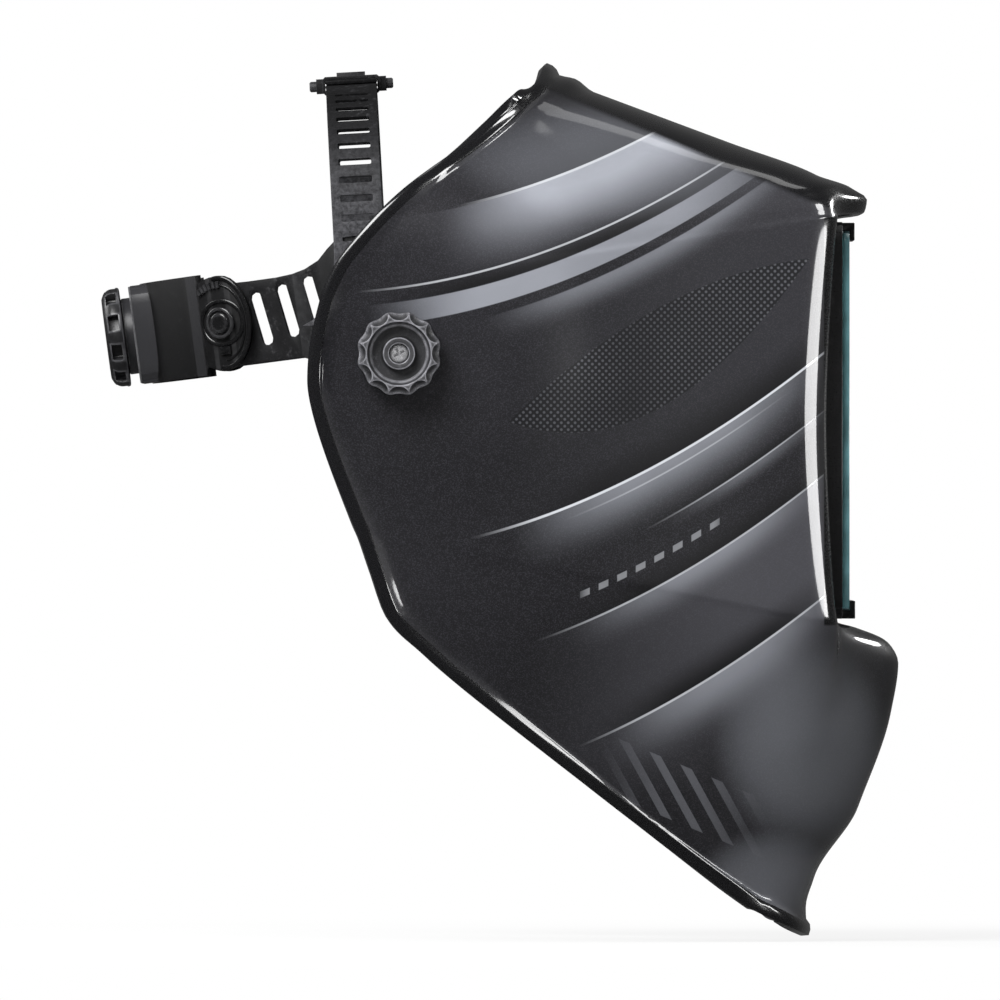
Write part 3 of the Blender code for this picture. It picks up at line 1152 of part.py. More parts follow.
def swept(angles: list[float], section: Callable[[float], list[tuple[float, float]]]) -> bmesh.types.BMesh:
    """A strip along the oval; section gives (offset, height) corners at each angle."""
    shape = bmesh.new()
    loops = []
    for angle in angles:
        corners = []
        for offset, height in section(angle):
            x, y = ring_spot(angle, offset)
            corners.append(shape.verts.new((x, y, height)))
        loops.append(corners)
    count = len(loops[0])
    for first, second in zip(loops[:-1], loops[1:]):
        for i in range(count):
            j = (i + 1) % count
            shape.faces.new((first[i], first[j], second[j], second[i]))
    shape.faces.new(loops[0])
    shape.faces.new(loops[-1][::-1])
    return shape


def rectangle_section(inner: float, outer: float, low: float, high: float) -> list[tuple[float, float]]:
    """Corners of a plain strip section."""
    return [(inner, low), (outer, low), (outer, high), (inner, high)]


def cushion_section(back: float, face: float, half_height: float) -> list[tuple[float, float]]:
    """Corners of a cushion: a flat back, drawn-in sides and a crowned face."""
    depth = face - back
    levels = (-1.0, -0.86, -0.45, 0.0, 0.45, 0.86, 1.0)
    fullness = (0.42, 0.80, 0.97, 1.0, 0.97, 0.80, 0.42)
    crown = [(back + depth * f, BAND_CENTRE_Z + half_height * h) for h, f in zip(levels, fullness)]
    flat = [(back, BAND_CENTRE_Z + 0.94 * half_height), (back, BAND_CENTRE_Z - 0.94 * half_height)]
    return crown + flat


def angle_at_travel(wanted: float) -> float:
    """The angle at a length along the oval behind the left tilt disc, or before it if negative."""
    low, high = 0.0, math.pi
    for _ in range(40):
        middle = (low + high) / 2
        if ring_travel(DISC_ANGLE, middle) < wanted:
            low = middle
        else:
            high = middle
    return (low + high) / 2


def disc_angles(reach: float) -> list[float]:
    """Angles of the strip slices round the free end of a tilt disc, from the tip to the middle."""
    return [angle_at_travel(reach * math.cos(math.radians(t))) for t in (9, 24, 38, 52, 66, 78)]


def arm_half_height(angle: float) -> float:
    """Half height of the brow band, with rounded arm ends."""
    past = ring_travel(DISC_ANGLE, abs(angle))
    if past <= 0:
        return BAND_HALF_HEIGHT
    return BAND_HALF_HEIGHT * math.sqrt(max(1 - (past / ARM_DISC_RADIUS) ** 2, 0.0))


def gusset_rise(x: float) -> float:
    """Extra height of the band beside the root of a crown strap."""
    middle = STRAP_ROOT_X + (BAND_HALF_HEIGHT + BAND_CENTRE_Z - STRAP_ROOT_Z) * math.tan(STRAP_LEAN)
    away = max(abs(x - middle) - STRAP_WIDTH / 2, 0.0)
    return GUSSET_RISE * max(1 - away / GUSSET_REACH, 0.0) ** 3.2


def waist_dip(x: float) -> float:
    """How far the upper edge of an arm dips between its tilt disc and its strap."""
    behind = (x - ARM_WAIST_REAR_X) / ARM_WAIST_BLEND
    before = (ARM_WAIST_FRONT_X - x) / ARM_WAIST_BLEND
    share = min(max(min(behind, before), 0.0), 1.0)
    return ARM_WAIST * share * share * (3 - 2 * share)


def brow_section(angle: float) -> list[tuple[float, float]]:
    """Section of the brow band, with a gusset at each strap and a lobe below each side for the rail."""
    half = arm_half_height(angle)
    along = ring_spot(angle, 0.0)[0]
    away = abs(along)
    blend = min(max((EAR_HALF_LENGTH + EAR_BLEND - away) / EAR_BLEND, 0.0), 1.0)
    blend = blend * blend * (3 - 2 * blend)
    low = BAND_CENTRE_Z - half - EAR_DROP * blend
    high = BAND_CENTRE_Z + half + gusset_rise(along) - waist_dip(along)
    return rectangle_section(-BAND_THICKNESS / 2, BAND_THICKNESS / 2, low, high)


def arm_slot_tool() -> bmesh.types.BMesh:
    """The three oblong slots of both arms, cut straight through from side to side."""
    shape = bmesh.new()
    reach = BAND_HALF_WIDTH + 10 * MM
    for k in range(ARM_SLOT_COUNT):
        x = ARM_SLOT_FIRST_X + k * ARM_SLOT_PITCH
        z = BAND_CENTRE_Z + ARM_SLOT_RISE * k
        outline = stadium((x, z), ARM_SLOT_LENGTH, ARM_SLOT_WIDTH, ARM_SLOT_LEAN)
        extrude_into(shape, outline, -reach, reach, "Y")
    return shape


def rivet_axis(side: int) -> Matrix:
    """Placement of a tilt rivet: +Z points out of the band at the tilt disc."""
    x, y = ring_spot(DISC_ANGLE, 0.0)
    far_x, far_y = ring_spot(DISC_ANGLE, 1 * MM)
    out = Vector((far_x - x, side * (far_y - y), 0.0))
    turn = out.to_track_quat("Z", "Y").to_matrix().to_4x4()
    return Matrix.Translation((x, side * y, BAND_CENTRE_Z)) @ turn


def rivet_holes(radius: float) -> bmesh.types.BMesh:
    """Two short pins on the axes of the tilt rivets."""
    shape = bmesh.new()
    for side in (RIGHT, LEFT):
        reach = 12 * MM
        pin = turned([(0.0, -reach), (radius, -reach), (radius, reach), (0.0, reach)], 16)
        merge(shape, move(pin, rivet_axis(side)))
    return shape


def build_brow_band(headgear: bpy.types.Object) -> bpy.types.Object:
    """The brow band with both side arms, in one strip."""
    ends = disc_angles(ARM_DISC_RADIUS)
    fine = [math.radians(t) for t in (75, 79, 83, 87, 91, 95, 98, 100, 102, 105, 108, 112)]
    middle = [fine[0] * i / 9 for i in range(9)] + fine + [(fine[-1] + DISC_ANGLE) / 2, DISC_ANGLE]
    half = middle + ends[::-1]
    angles = [-a for a in half[:0:-1]] + half
    band = add_object("brow_band", swept(angles, brow_section), headgear_plastic(), headgear)
    combine(band, add_tool("brow_band_slot_cut", arm_slot_tool(), headgear), "DIFFERENCE")
    holes = rivet_holes(RIVET_SHANK_RADIUS + PIN_GAP)
    combine(band, add_tool("brow_band_rivet_cut", holes, headgear), "DIFFERENCE")
    return band


def build_sweatband(headgear: bpy.types.Object) -> bpy.types.Object:
    """The towelling pad on the brow."""
    back = -BAND_THICKNESS / 2 - SEAT_GAP
    angles = [SWEATBAND_SPAN * i / 14 for i in range(-14, 15)]

    def section(angle: float) -> list[tuple[float, float]]:
        ease = max(1 - (abs(angle) / SWEATBAND_SPAN) ** 6, 0.0)
        face = back - SWEATBAND_THICKNESS * (0.45 + 0.55 * ease)
        return cushion_section(back, face, SWEATBAND_HALF_HEIGHT)

    return add_object("sweatband", swept(angles, section), towelling(), headgear)


def build_nape_pad(headgear: bpy.types.Object) -> bpy.types.Object:
    """The pad behind the head, in front of the ratchet."""
    back = CRADLE_STANDOFF - SEAT_GAP
    angles = [math.pi + NAPE_PAD_SPAN * i / 12 for i in range(-12, 13)]

    def section(angle: float) -> list[tuple[float, float]]:
        ease = max(1 - (abs(angle - math.pi) / NAPE_PAD_SPAN) ** 6, 0.0)
        face = back - NAPE_PAD_THICKNESS * (0.45 + 0.55 * ease)
        return cushion_section(back, face, NAPE_PAD_HALF_HEIGHT)

    return add_object("nape_pad", swept(angles, section), towelling(), headgear)


def build_rail(side: int, headgear: bpy.types.Object) -> bpy.types.Object:
    """The channel on the band's side in which the slide block runs."""
    top = RAIL_HALF_HEIGHT
    wall = top - RAIL_FLANGE
    base = RAIL_Y + RAIL_BASE
    lip_end = RAIL_LIP_Y + RAIL_LIP
    half = [(RAIL_Y, top), (lip_end, top), (lip_end, RAIL_MOUTH_HALF), (RAIL_LIP_Y, RAIL_MOUTH_HALF),
            (RAIL_LIP_Y, wall), (base, wall)]
    outline = [(side * y, z) for y, z in half] + [(side * y, -z) for y, z in half[::-1]]
    rail = prism(outline, -RAIL_HALF_LENGTH, RAIL_HALF_LENGTH, "X")
    return add_object(f"slide_rail_{SIDE_NAMES[side]}", rail, headgear_plastic(), headgear, smooth=False)


def build_slide_block(side: int, headgear: bpy.types.Object) -> bpy.types.Object:
    """The block that slides in the rail and holds the stud."""
    half_z = BLOCK_HALF_HEIGHT
    plate = rounded_rectangle(BLOCK_HALF_LENGTH, -half_z, half_z, 2 * MM, 3)
    shape = prism(plate, side * BLOCK_Y, side * BLOCK_OUTER_Y, "Y")
    block = add_object(f"slide_block_{SIDE_NAMES[side]}", shape, headgear_plastic(), headgear)
    boss_start = BLOCK_OUTER_Y - 1 * MM
    profile = [(0.0, boss_start), (BLOCK_BOSS_RADIUS, boss_start), (BLOCK_BOSS_RADIUS, RAIL_LIP_Y + 3 * MM),
               (BLOCK_BOSS_RADIUS + 4 * MM, BLOCK_END_Y - 2 * MM), (BLOCK_BOSS_RADIUS + 4 * MM, BLOCK_END_Y),
               (0.0, BLOCK_END_Y)]
    boss = move(turned(profile, SMALL_STEPS), Matrix.Rotation(-side * math.pi / 2, 4, "X"))
    combine(block, add_tool(f"slide_block_{SIDE_NAMES[side]}_join", boss, headgear), "UNION")
    head = STUD_HEAD_HEIGHT + 2 * SEAT_GAP
    bore = STUD_RADIUS + PIN_GAP
    wide = STUD_HEAD_RADIUS + PIN_GAP
    steps = [(0.0, BLOCK_Y - 2 * MM), (wide, BLOCK_Y - 2 * MM), (wide, BLOCK_Y + head),
             (bore, BLOCK_Y + head), (bore, BLOCK_END_Y + 2 * MM), (0.0, BLOCK_END_Y + 2 * MM)]
    cut = move(turned(steps, SMALL_STEPS), Matrix.Rotation(-side * math.pi / 2, 4, "X"))
    combine(block, add_tool(f"slide_block_{SIDE_NAMES[side]}_cut", cut, headgear), "DIFFERENCE")
    return block


class StrapPath(NamedTuple):
    """Middle line of a crown strap: points (y, z), outward normals and travel from the root."""

    points: list[Vector]
    normals: list[Vector]
    travel: list[float]


def strap_arch(share: float, arch: float) -> Vector:
    """A point of the full oval over the head, from the foot (0) over the middle (1) and beyond."""
    foot_y = STRAP_INNER_Y + STRAP_THICKNESS / 2
    turn = share * math.pi / 2
    power = 2 / STRAP_FULLNESS
    across = math.copysign(abs(math.cos(turn)) ** power, math.cos(turn))
    return Vector((foot_y * across, STRAP_RISE + arch * math.sin(turn) ** power))


def strap_path(arch: float) -> StrapPath:
    """A straight rise from the band, then an arch and a short tail past the middle, evenly spaced."""
    foot_y = STRAP_INNER_Y + STRAP_THICKNESS / 2
    dense = [Vector((foot_y, 0.0))] + [strap_arch(1.3 * i / 600, arch) for i in range(601)]
    dense = [point for point in dense if point.x > -STRAP_TAIL]
    reach = [0.0]
    for first, second in zip(dense[:-1], dense[1:]):
        reach.append(reach[-1] + (second - first).length)
    count = 26
    travel = [reach[-1] * i / count for i in range(count + 1)]
    across = np.interp(travel, reach, [point.x for point in dense])
    heights = np.interp(travel, reach, [point.y for point in dense])
    points = [Vector((float(y), float(z))) for y, z in zip(across, heights)]
    normals = []
    for i in range(len(points)):
        ahead = points[min(i + 1, len(points) - 1)] - points[max(i - 1, 0)]
        normals.append(Vector((ahead.y, -ahead.x)).normalized())
    return StrapPath(points, normals, travel)


def strap_edges(travel: float) -> tuple[float, float]:
    """Rear and front edge of a strap; the root flares back into the arm."""
    half = STRAP_WIDTH / 2
    if travel < STRAP_FLARE_RISE:
        drop = min(1 - travel / STRAP_FLARE_RISE, 0.995)
        flare = STRAP_FLARE * (1 - math.sqrt(1 - drop * drop))
        return -half - flare, half + 0.5 * flare
    return -half, half


def slot_travels(path: StrapPath, side: int) -> list[float]:
    """Travel of each slot; the left strap has none low down, and its others lie level with the right's."""
    marks = [STRAP_SLOT_FIRST + k * STRAP_SLOT_PITCH for k in range(STRAP_SLOT_COUNT)]
    if side == RIGHT:
        return marks
    right = strap_path(STRAP_ARCH)
    levels = np.interp(marks, right.travel, [point.y for point in right.points])
    rising = [i for i, point in enumerate(path.points) if point.x > 0]
    heights = [path.points[i].y for i in rising]
    shifts = np.interp(levels, heights, [path.travel[i] for i in rising]) - marks
    last = STRAP_BLIND_SLOTS + 3
    return [mark + float(shifts[min(k, last)]) for k, mark in enumerate(marks)][STRAP_BLIND_SLOTS:]


def strap_slot_tool(path: StrapPath, side: int) -> bmesh.types.BMesh:
    """The adjusting slots along a strap."""
    shape = bmesh.new()
    outline = stadium((0.0, 0.0), STRAP_SLOT_LENGTH, STRAP_SLOT_WIDTH, math.pi / 2, 3)
    for wanted in slot_travels(path, side):
        i = next(n for n in range(1, len(path.travel)) if path.travel[n] >= wanted)
        share = (wanted - path.travel[i - 1]) / (path.travel[i] - path.travel[i - 1])
        spot = path.points[i - 1].lerp(path.points[i], share)
        out = path.normals[i - 1].lerp(path.normals[i], share).normalized()
        up = Vector((0.0, -side * out.y, out.x))
        across = Vector((1.0, 0.0, 0.0))
        facing = Vector((0.0, side * out.x, out.y))
        turn = Matrix((across, up, facing)).transposed().to_4x4()
        spot_at = Matrix.Translation((0.0, side * spot.x, spot.y))
        merge(shape, move(prism(outline, -3 * MM, 3 * MM, "Z"), spot_at @ turn))
    return shape


def build_crown_strap(side: int, crown: bpy.types.Object) -> bpy.types.Object:
    """One crown strap; the left one lies over the right one at the top."""
    path = strap_path(STRAP_ARCH if side == RIGHT else STRAP_ARCH + STRAP_LAYER)
    shape = bmesh.new()
    loops = []
    half = STRAP_THICKNESS / 2
    for point, normal, travel in zip(path.points, path.normals, path.travel):
        rear, front = strap_edges(travel)
        corners = [(rear, point - normal * half), (rear, point + normal * half),
                   (front, point + normal * half), (front, point - normal * half)]
        loops.append([shape.verts.new((x, side * p.x, p.y)) for x, p in corners])
    for first, second in zip(loops[:-1], loops[1:]):
        for i in range(4):
            shape.faces.new((first[i], first[(i + 1) % 4], second[(i + 1) % 4], second[i]))
    shape.faces.new(loops[0])
    shape.faces.new(loops[-1][::-1])
    name = f"crown_strap_{SIDE_NAMES[side]}"
    strap = add_object(name, shape, headgear_plastic(), crown)
    combine(strap, add_tool(f"{name}_slot_cut", strap_slot_tool(path, side), crown), "DIFFERENCE")
    return strap


def build_crown_buckle(crown: bpy.types.Object) -> bpy.types.Object:
    """The keeper round both straps, with a peg at each edge and a tab on top."""
    apex = STRAP_RISE + STRAP_ARCH
    low = apex - STRAP_THICKNESS / 2 - 1.2 * MM
    high = apex + STRAP_LAYER + STRAP_THICKNESS / 2 + SEAT_GAP
    half = STRAP_WIDTH / 2 + SEAT_GAP
    inner = rounded_rectangle(half, low, high, 0.6 * MM, 2)
    outer = rounded_rectangle(half + BUCKLE_WALL, low - BUCKLE_WALL, high + BUCKLE_WALL, 1.2 * MM, 2)
    ring = framed(outer, inner, -BUCKLE_LENGTH / 2, BUCKLE_LENGTH / 2, "Y")
    buckle = add_object("crown_buckle", ring, headgear_plastic(), crown, smooth=False)
    middle = (low + high) / 2
    edge = half + BUCKLE_WALL
    extras = bmesh.new()
    for sign in (-1, 1):
        reach = sorted((sign * (edge - 0.8 * MM), sign * (edge + BUCKLE_PEG_BLOCK)))
        merge(extras, box((reach[0], -2.8 * MM, middle - 2.8 * MM), (reach[1], 2.8 * MM, middle + 2.8 * MM)))
    tab_low = high + 0.6 * BUCKLE_WALL
    tab_high = high + BUCKLE_WALL + BUCKLE_TAB_HEIGHT
    tab = BUCKLE_TAB_HALF_WIDTH
    merge(extras, box((-tab, -2.5 * MM, tab_low), (tab, 2.5 * MM, tab_high)))
    combine(buckle, add_tool("crown_buckle_block_join", extras, crown), "UNION")
    pegs = bmesh.new()
    for sign in (-1, 1):
        start = edge + BUCKLE_PEG_BLOCK - 0.8 * MM
        end = edge + BUCKLE_PEG_BLOCK + BUCKLE_PEG_LENGTH
        profile = [(0.0, start), (BUCKLE_PEG_RADIUS, start), (BUCKLE_PEG_RADIUS, end - 0.5 * MM),
                   (BUCKLE_PEG_RADIUS - 0.5 * MM, end), (0.0, end)]
        lay = Matrix.Translation((0.0, 0.0, middle)) @ Matrix.Rotation(sign * math.pi / 2, 4, "Y")
        merge(pegs, move(turned(profile, 12), lay))
    combine(buckle, add_tool("crown_buckle_peg_join", pegs, crown), "UNION")
    return buckle


def build_rivet(side: int, headgear: bpy.types.Object) -> bpy.types.Object:
    """The headed rivet on which the rear cradle tilts."""
    inner = -BAND_THICKNESS / 2 - 2 * SEAT_GAP
    outer = CRADLE_OUTER + RIVET_FLOAT
    profile = [(0.0, inner - RIVET_HEAD_HEIGHT), (RIVET_HEAD_RADIUS - 0.6 * MM, inner - RIVET_HEAD_HEIGHT),
               (RIVET_HEAD_RADIUS, inner - 0.5 * RIVET_HEAD_HEIGHT), (RIVET_HEAD_RADIUS, inner),
               (RIVET_SHANK_RADIUS, inner), (RIVET_SHANK_RADIUS, outer), (RIVET_HEAD_RADIUS, outer),
               (RIVET_HEAD_RADIUS, outer + 0.5 * RIVET_HEAD_HEIGHT),
               (RIVET_HEAD_RADIUS - 0.6 * MM, outer + RIVET_HEAD_HEIGHT), (0.0, outer + RIVET_HEAD_HEIGHT)]
    rivet = add_object(f"cradle_rivet_{SIDE_NAMES[side]}", turned(profile, 12), headgear_plastic(), headgear)
    rivet.matrix_local = rivet_axis(side)
    return rivet


def cradle_section(angle: float) -> list[tuple[float, float]]:
    """Section of the rear cradle: tilt disc, neck, rib and wing."""
    mirrored = angle if angle <= math.pi else 2 * math.pi - angle
    behind = ring_travel(DISC_ANGLE, mirrored)
    outer = CRADLE_OUTER
    if behind < CRADLE_RIB_START:
        reach = CRADLE_DISC_REACH if behind <= 0 else CRADLE_DISC_RADIUS
        round_half = CRADLE_DISC_RADIUS * math.sqrt(max(1 - (behind / reach) ** 2, 0.0))
        half = round_half if behind <= 0 else max(round_half, CRADLE_NECK_HALF_HEIGHT)
    else:
        half = CRADLE_HALF_HEIGHT
        if behind < CRADLE_RIB_START + CRADLE_RIB_WIDTH:
            outer += CRADLE_RIB_HEIGHT
    return rectangle_section(CRADLE_STANDOFF, outer, BAND_CENTRE_Z - half, BAND_CENTRE_Z + half)


def cradle_angles() -> list[float]:
    """Angles of the cradle's slices from the left tilt disc round the nape to the right one."""
    tips = disc_angles(-CRADLE_DISC_REACH)
    neck = [angle_at_travel(share * CRADLE_RIB_START) for share in (0.0, 0.37, 0.59, 0.81)]
    edge = 0.01 * MM
    marks = [CRADLE_RIB_START - edge, CRADLE_RIB_START + edge, CRADLE_RIB_START + CRADLE_RIB_WIDTH - edge,
             CRADLE_RIB_START + CRADLE_RIB_WIDTH + edge]
    rib = [angle_at_travel(mark) for mark in marks]
    wing = [rib[-1] + (math.pi - rib[-1]) * i / 12 for i in range(1, 13)]
    half = tips + neck + rib + wing
    return half + [2 * math.pi - a for a in half[-2::-1]]


def housing_front(angle: float) -> list[tuple[float, float]]:
    """Section of the room on the head's side of the middle of the cradle's wall."""
    edge = CRADLE_STANDOFF + CRADLE_WALL / 2
    reach = 2 * CRADLE_HALF_HEIGHT
    return rectangle_section(-BAND_HALF_WIDTH / 4, edge, BAND_CENTRE_Z - reach, BAND_CENTRE_Z + reach)


def housing_block(headgear: bpy.types.Object) -> bpy.types.Object:
    """The ratchet box before it is hollowed, its front ending inside the cradle's curved wall."""
    low, high = BAND_CENTRE_Z - HOUSING_HALF_HEIGHT, BAND_CENTRE_Z + HOUSING_HALF_HEIGHT
    outline = rounded_rectangle(HOUSING_HALF_WIDTH, low, high, HOUSING_CORNER)
    reach = BASE_FRONT_X + HOUSING_HALF_WIDTH / 2
    block = add_tool("housing_block_join", prism(outline, HOUSING_BACK_X, reach, "X"), headgear)
    room = swept([math.pi * (0.75 + 0.5 * i / 32) for i in range(33)], housing_front)
    combine(block, add_tool("housing_front_cut", room, headgear), "DIFFERENCE")
    return block


def build_ratchet_housing(headgear: bpy.types.Object) -> bpy.types.Object:
    """The rear cradle: two wings with tilt discs and the ratchet box between them."""
    housing = add_object("ratchet_housing", swept(cradle_angles(), cradle_section), headgear_plastic(),
                         headgear)
    low, high = BAND_CENTRE_Z - HOUSING_HALF_HEIGHT, BAND_CENTRE_Z + HOUSING_HALF_HEIGHT
    combine(housing, housing_block(headgear), "UNION")
    cavity = rounded_rectangle(HOUSING_HALF_WIDTH - HOUSING_WALL, low + HOUSING_WALL, high - HOUSING_WALL,
                               HOUSING_CORNER - HOUSING_WALL)
    room = prism(cavity, HOUSING_FLOOR_X, BASE_FRONT_X + HOUSING_HALF_WIDTH / 2, "X")
    combine(housing, add_tool("housing_cavity_cut", room, headgear), "DIFFERENCE")
    hole = RATCHET_SHAFT_RADIUS + PIN_GAP
    start, end = HOUSING_BACK_X - 3 * MM, HOUSING_FLOOR_X + 3 * MM
    shaft = turned([(0.0, start), (hole, start), (hole, end), (0.0, end)], 20)
    lay = Matrix.Translation((0.0, 0.0, BAND_CENTRE_Z)) @ Matrix.Rotation(math.pi / 2, 4, "Y")
    combine(housing, add_tool("housing_shaft_cut", move(shaft, lay), headgear), "DIFFERENCE")
    holes = rivet_holes(RIVET_SHANK_RADIUS + 2 * PIN_GAP)
    combine(housing, add_tool("housing_rivet_cut", holes, headgear), "DIFFERENCE")
    return housing


def build_ratchet_base(headgear: bpy.types.Object) -> bpy.types.Object:
    """The plate that closes the ratchet box towards the head."""
    inset = HOUSING_WALL + SEAT_GAP
    outline = rounded_rectangle(HOUSING_HALF_WIDTH - inset, BAND_CENTRE_Z - HOUSING_HALF_HEIGHT + inset,
                                BAND_CENTRE_Z + HOUSING_HALF_HEIGHT - inset, HOUSING_CORNER - inset)
    plate = prism(outline, BASE_BACK_X, BASE_FRONT_X, "X")
    return add_object("ratchet_base", plate, headgear_plastic(), headgear, smooth=False)


def involute(angle: float) -> float:
    """The involute function of a pressure angle."""
    return math.tan(angle) - angle


def pinion_outline() -> list[tuple[float, float]]:
    """An involute gear with a tooth on the +b axis."""
    base = PINION_RADIUS * math.cos(PRESSURE_ANGLE)
    tip = PINION_RADIUS + TOOTH_ADDENDUM
    root = PINION_RADIUS - TOOTH_DEDENDUM
    half_pitch = math.pi / PINION_TEETH
    half_tooth = half_pitch / 2 - TOOTH_BACKLASH / (2 * PINION_RADIUS)
    flank = [base + (tip - base) * i / 2 for i in range(3)]
    spread = [half_tooth + involute(PRESSURE_ANGLE) - involute(math.acos(min(base / r, 1.0))) for r in flank]
    outline = []
    for tooth in range(PINION_TEETH):
        middle = math.pi / 2 + 2 * half_pitch * tooth
        rising = [(root, middle - spread[0])] + [(r, middle - s) for r, s in zip(flank, spread)]
        falling = [(r, middle + s) for r, s in zip(flank[::-1], spread[::-1])] + [(root, middle + spread[0])]
        outline += [(r * math.cos(t), r * math.sin(t)) for r, t in rising + falling]
    return outline


def build_ratchet_pinion(headgear: bpy.types.Object) -> bpy.types.Object:
    """The gear that drives both racks, on the knob's shaft."""
    gear_back = RACK_BACK_X - SEAT_GAP
    pinion = add_object("ratchet_pinion", prism(pinion_outline(), gear_back, RACK_FRONT_X, "X"),
                        headgear_plastic(), headgear, smooth=False)
    shaft_end = RATCHET_KNOB_X - 0.6 * (RATCHET_KNOB_DEPTH + RATCHET_NECK_DEPTH)
    start = gear_back + 1 * MM
    profile = [(0.0, shaft_end), (RATCHET_SHAFT_RADIUS, shaft_end), (RATCHET_SHAFT_RADIUS, start),
               (0.0, start)]
    shaft = move(turned(profile, 20), Matrix.Rotation(math.pi / 2, 4, "Y"))
    tool = add_tool("pinion_shaft_join", shaft)
    tool.parent = pinion
    combine(pinion, tool, "UNION")
    pinion.location = (0.0, 0.0, BAND_CENTRE_Z)
    return pinion


def rack_outline(direction: int) -> list[tuple[float, float]]:
    """A straight rack (travel, height) whose teeth point to the pinion below it."""
    shift = direction * RACK_SHIFT
    start, end = shift - RACK_LENGTH / 2, shift + RACK_LENGTH / 2
    back = PINION_RADIUS + TOOTH_DEDENDUM + RACK_BACK
    root = PINION_RADIUS + TOOTH_DEDENDUM
    tip = PINION_RADIUS - TOOTH_ADDENDUM
    slope = math.tan(PRESSURE_ANGLE)
    half = RACK_PITCH / 4 - TOOTH_BACKLASH / 2
    outline = [(end, back), (start, back), (start, root)]
    count = int(RACK_LENGTH / RACK_PITCH) + 2
    for k in range(-count, count):
        middle = (k + 0.5) * RACK_PITCH
        if middle - RACK_PITCH / 2 < start or middle + RACK_PITCH / 2 > end:
            continue
        wide = half + TOOTH_DEDENDUM * slope
        narrow = half - TOOTH_ADDENDUM * slope
        outline += [(middle - wide, root), (middle - narrow, tip), (middle + narrow, tip),
                    (middle + wide, root)]
    return outline + [(end, root)]


def build_rack(side: int, headgear: bpy.types.Object) -> bpy.types.Object:
    """The toothed tail of one side; the left one runs above the pinion, the right one below."""
    outline = [(a, side * b) for a, b in rack_outline(side)]
    rack = add_object(f"ratchet_rack_{SIDE_NAMES[side]}", prism(outline, RACK_BACK_X, RACK_FRONT_X, "X"),
                      headgear_plastic(), headgear, smooth=False)
    rack.location = (0.0, 0.0, BAND_CENTRE_Z)
    return rack


def build_detent_spring(headgear: bpy.types.Object) -> bpy.types.Object:
    """The bowed leaf that clicks over the pinion's teeth."""
    nose = PINION_RADIUS + TOOTH_ADDENDUM + SEAT_GAP
    wide = PINION_RADIUS - TOOTH_ADDENDUM - 2 * SEAT_GAP
    bow = 7 * MM
    outer = [(nose + bow * (t / wide) ** 2, t) for t in (-wide, -0.6 * wide, -0.25 * wide, 0.25 * wide,
                                                         0.6 * wide, wide)]
    inner = [(a + SPRING_THICKNESS, b) for a, b in outer[::-1]]
    leaf = prism(outer + inner, HOUSING_FLOOR_X + SEAT_GAP, RACK_FRONT_X, "X")
    spring = add_object("detent_spring", leaf, bright_steel(), headgear, smooth=False)
    spring.location = (0.0, 0.0, BAND_CENTRE_Z)
    return spring


def build_ratchet_knob(headgear: bpy.types.Object) -> bpy.types.Object:
    """The notched knob at the back that tightens the band."""
    neck = RATCHET_NECK_DEPTH
    top = neck + RATCHET_KNOB_DEPTH
    bore = RATCHET_SHAFT_RADIUS + PIN_GAP
    socket = 0.6 * top + SEAT_GAP
    edge = RATCHET_KNOB_RADIUS
    profile = [(0.0, socket), (bore, socket), (bore, 0.0), (RATCHET_NECK_RADIUS, 0.0),
               (RATCHET_NECK_RADIUS, neck), (edge - 0.5 * MM, neck), (edge, neck + 0.8 * MM),
               (edge, top - 2.8 * MM), (edge - 0.9 * MM, top - 1.1 * MM), (edge - 3.2 * MM, top),
               (edge - 7 * MM, top - 0.5 * MM), (0.0, top - 1.2 * MM)]
    shape = turned(profile, 4 * RATCHET_GRIPS, RATCHET_GRIPS, RATCHET_GRIP_DEPTH, (5, 6, 7, 8))
    knob = add_object("ratchet_knob", shape, knob_plastic(), headgear)
    return backward(knob, RATCHET_KNOB_X, 0.0, BAND_CENTRE_Z)


def build_mask() -> None:
    """The mask with its window, cassette and controls."""
    build_shell()
    build_window_frame()
    build_cover_lens()
    build_filter_case()
    build_filter_glass()
    build_inner_lens()
    build_solar_cell()
    for number, (y, z) in enumerate(sensor_places(), start=1):
        build_sensor(number, y, z)
    build_retaining_frame()
    build_dial("shade_dial", SHADE_DIAL_Y, SHADE_DIAL_RADIUS)
    build_dial("sensitivity_dial", SENSITIVITY_DIAL_Y, SMALL_DIAL_RADIUS)
    build_dial("delay_dial", DELAY_DIAL_Y, SMALL_DIAL_RADIUS)
    build_test_button()
    build_battery()
    build_battery_cover()


def build_pivot(side: int, headgear: bpy.types.Object) -> None:
    """Everything on the tilt axis on one side."""
    build_pivot_bush(side)
    build_stop_pin(side)
    build_rail(side, headgear)
    build_slide_block(side, headgear)
    build_stud(side)
    build_stop_plate(side, headgear)
    build_washer("inner_washer", side, INNER_WASHER_Y, INNER_WASHER_RADIUS, INNER_WASHER_THICKNESS)
    build_washer("outer_washer", side, OUTER_WASHER_Y, OUTER_WASHER_RADIUS, OUTER_WASHER_THICKNESS)
    build_tension_knob(side)
    build_knob_screw(side)


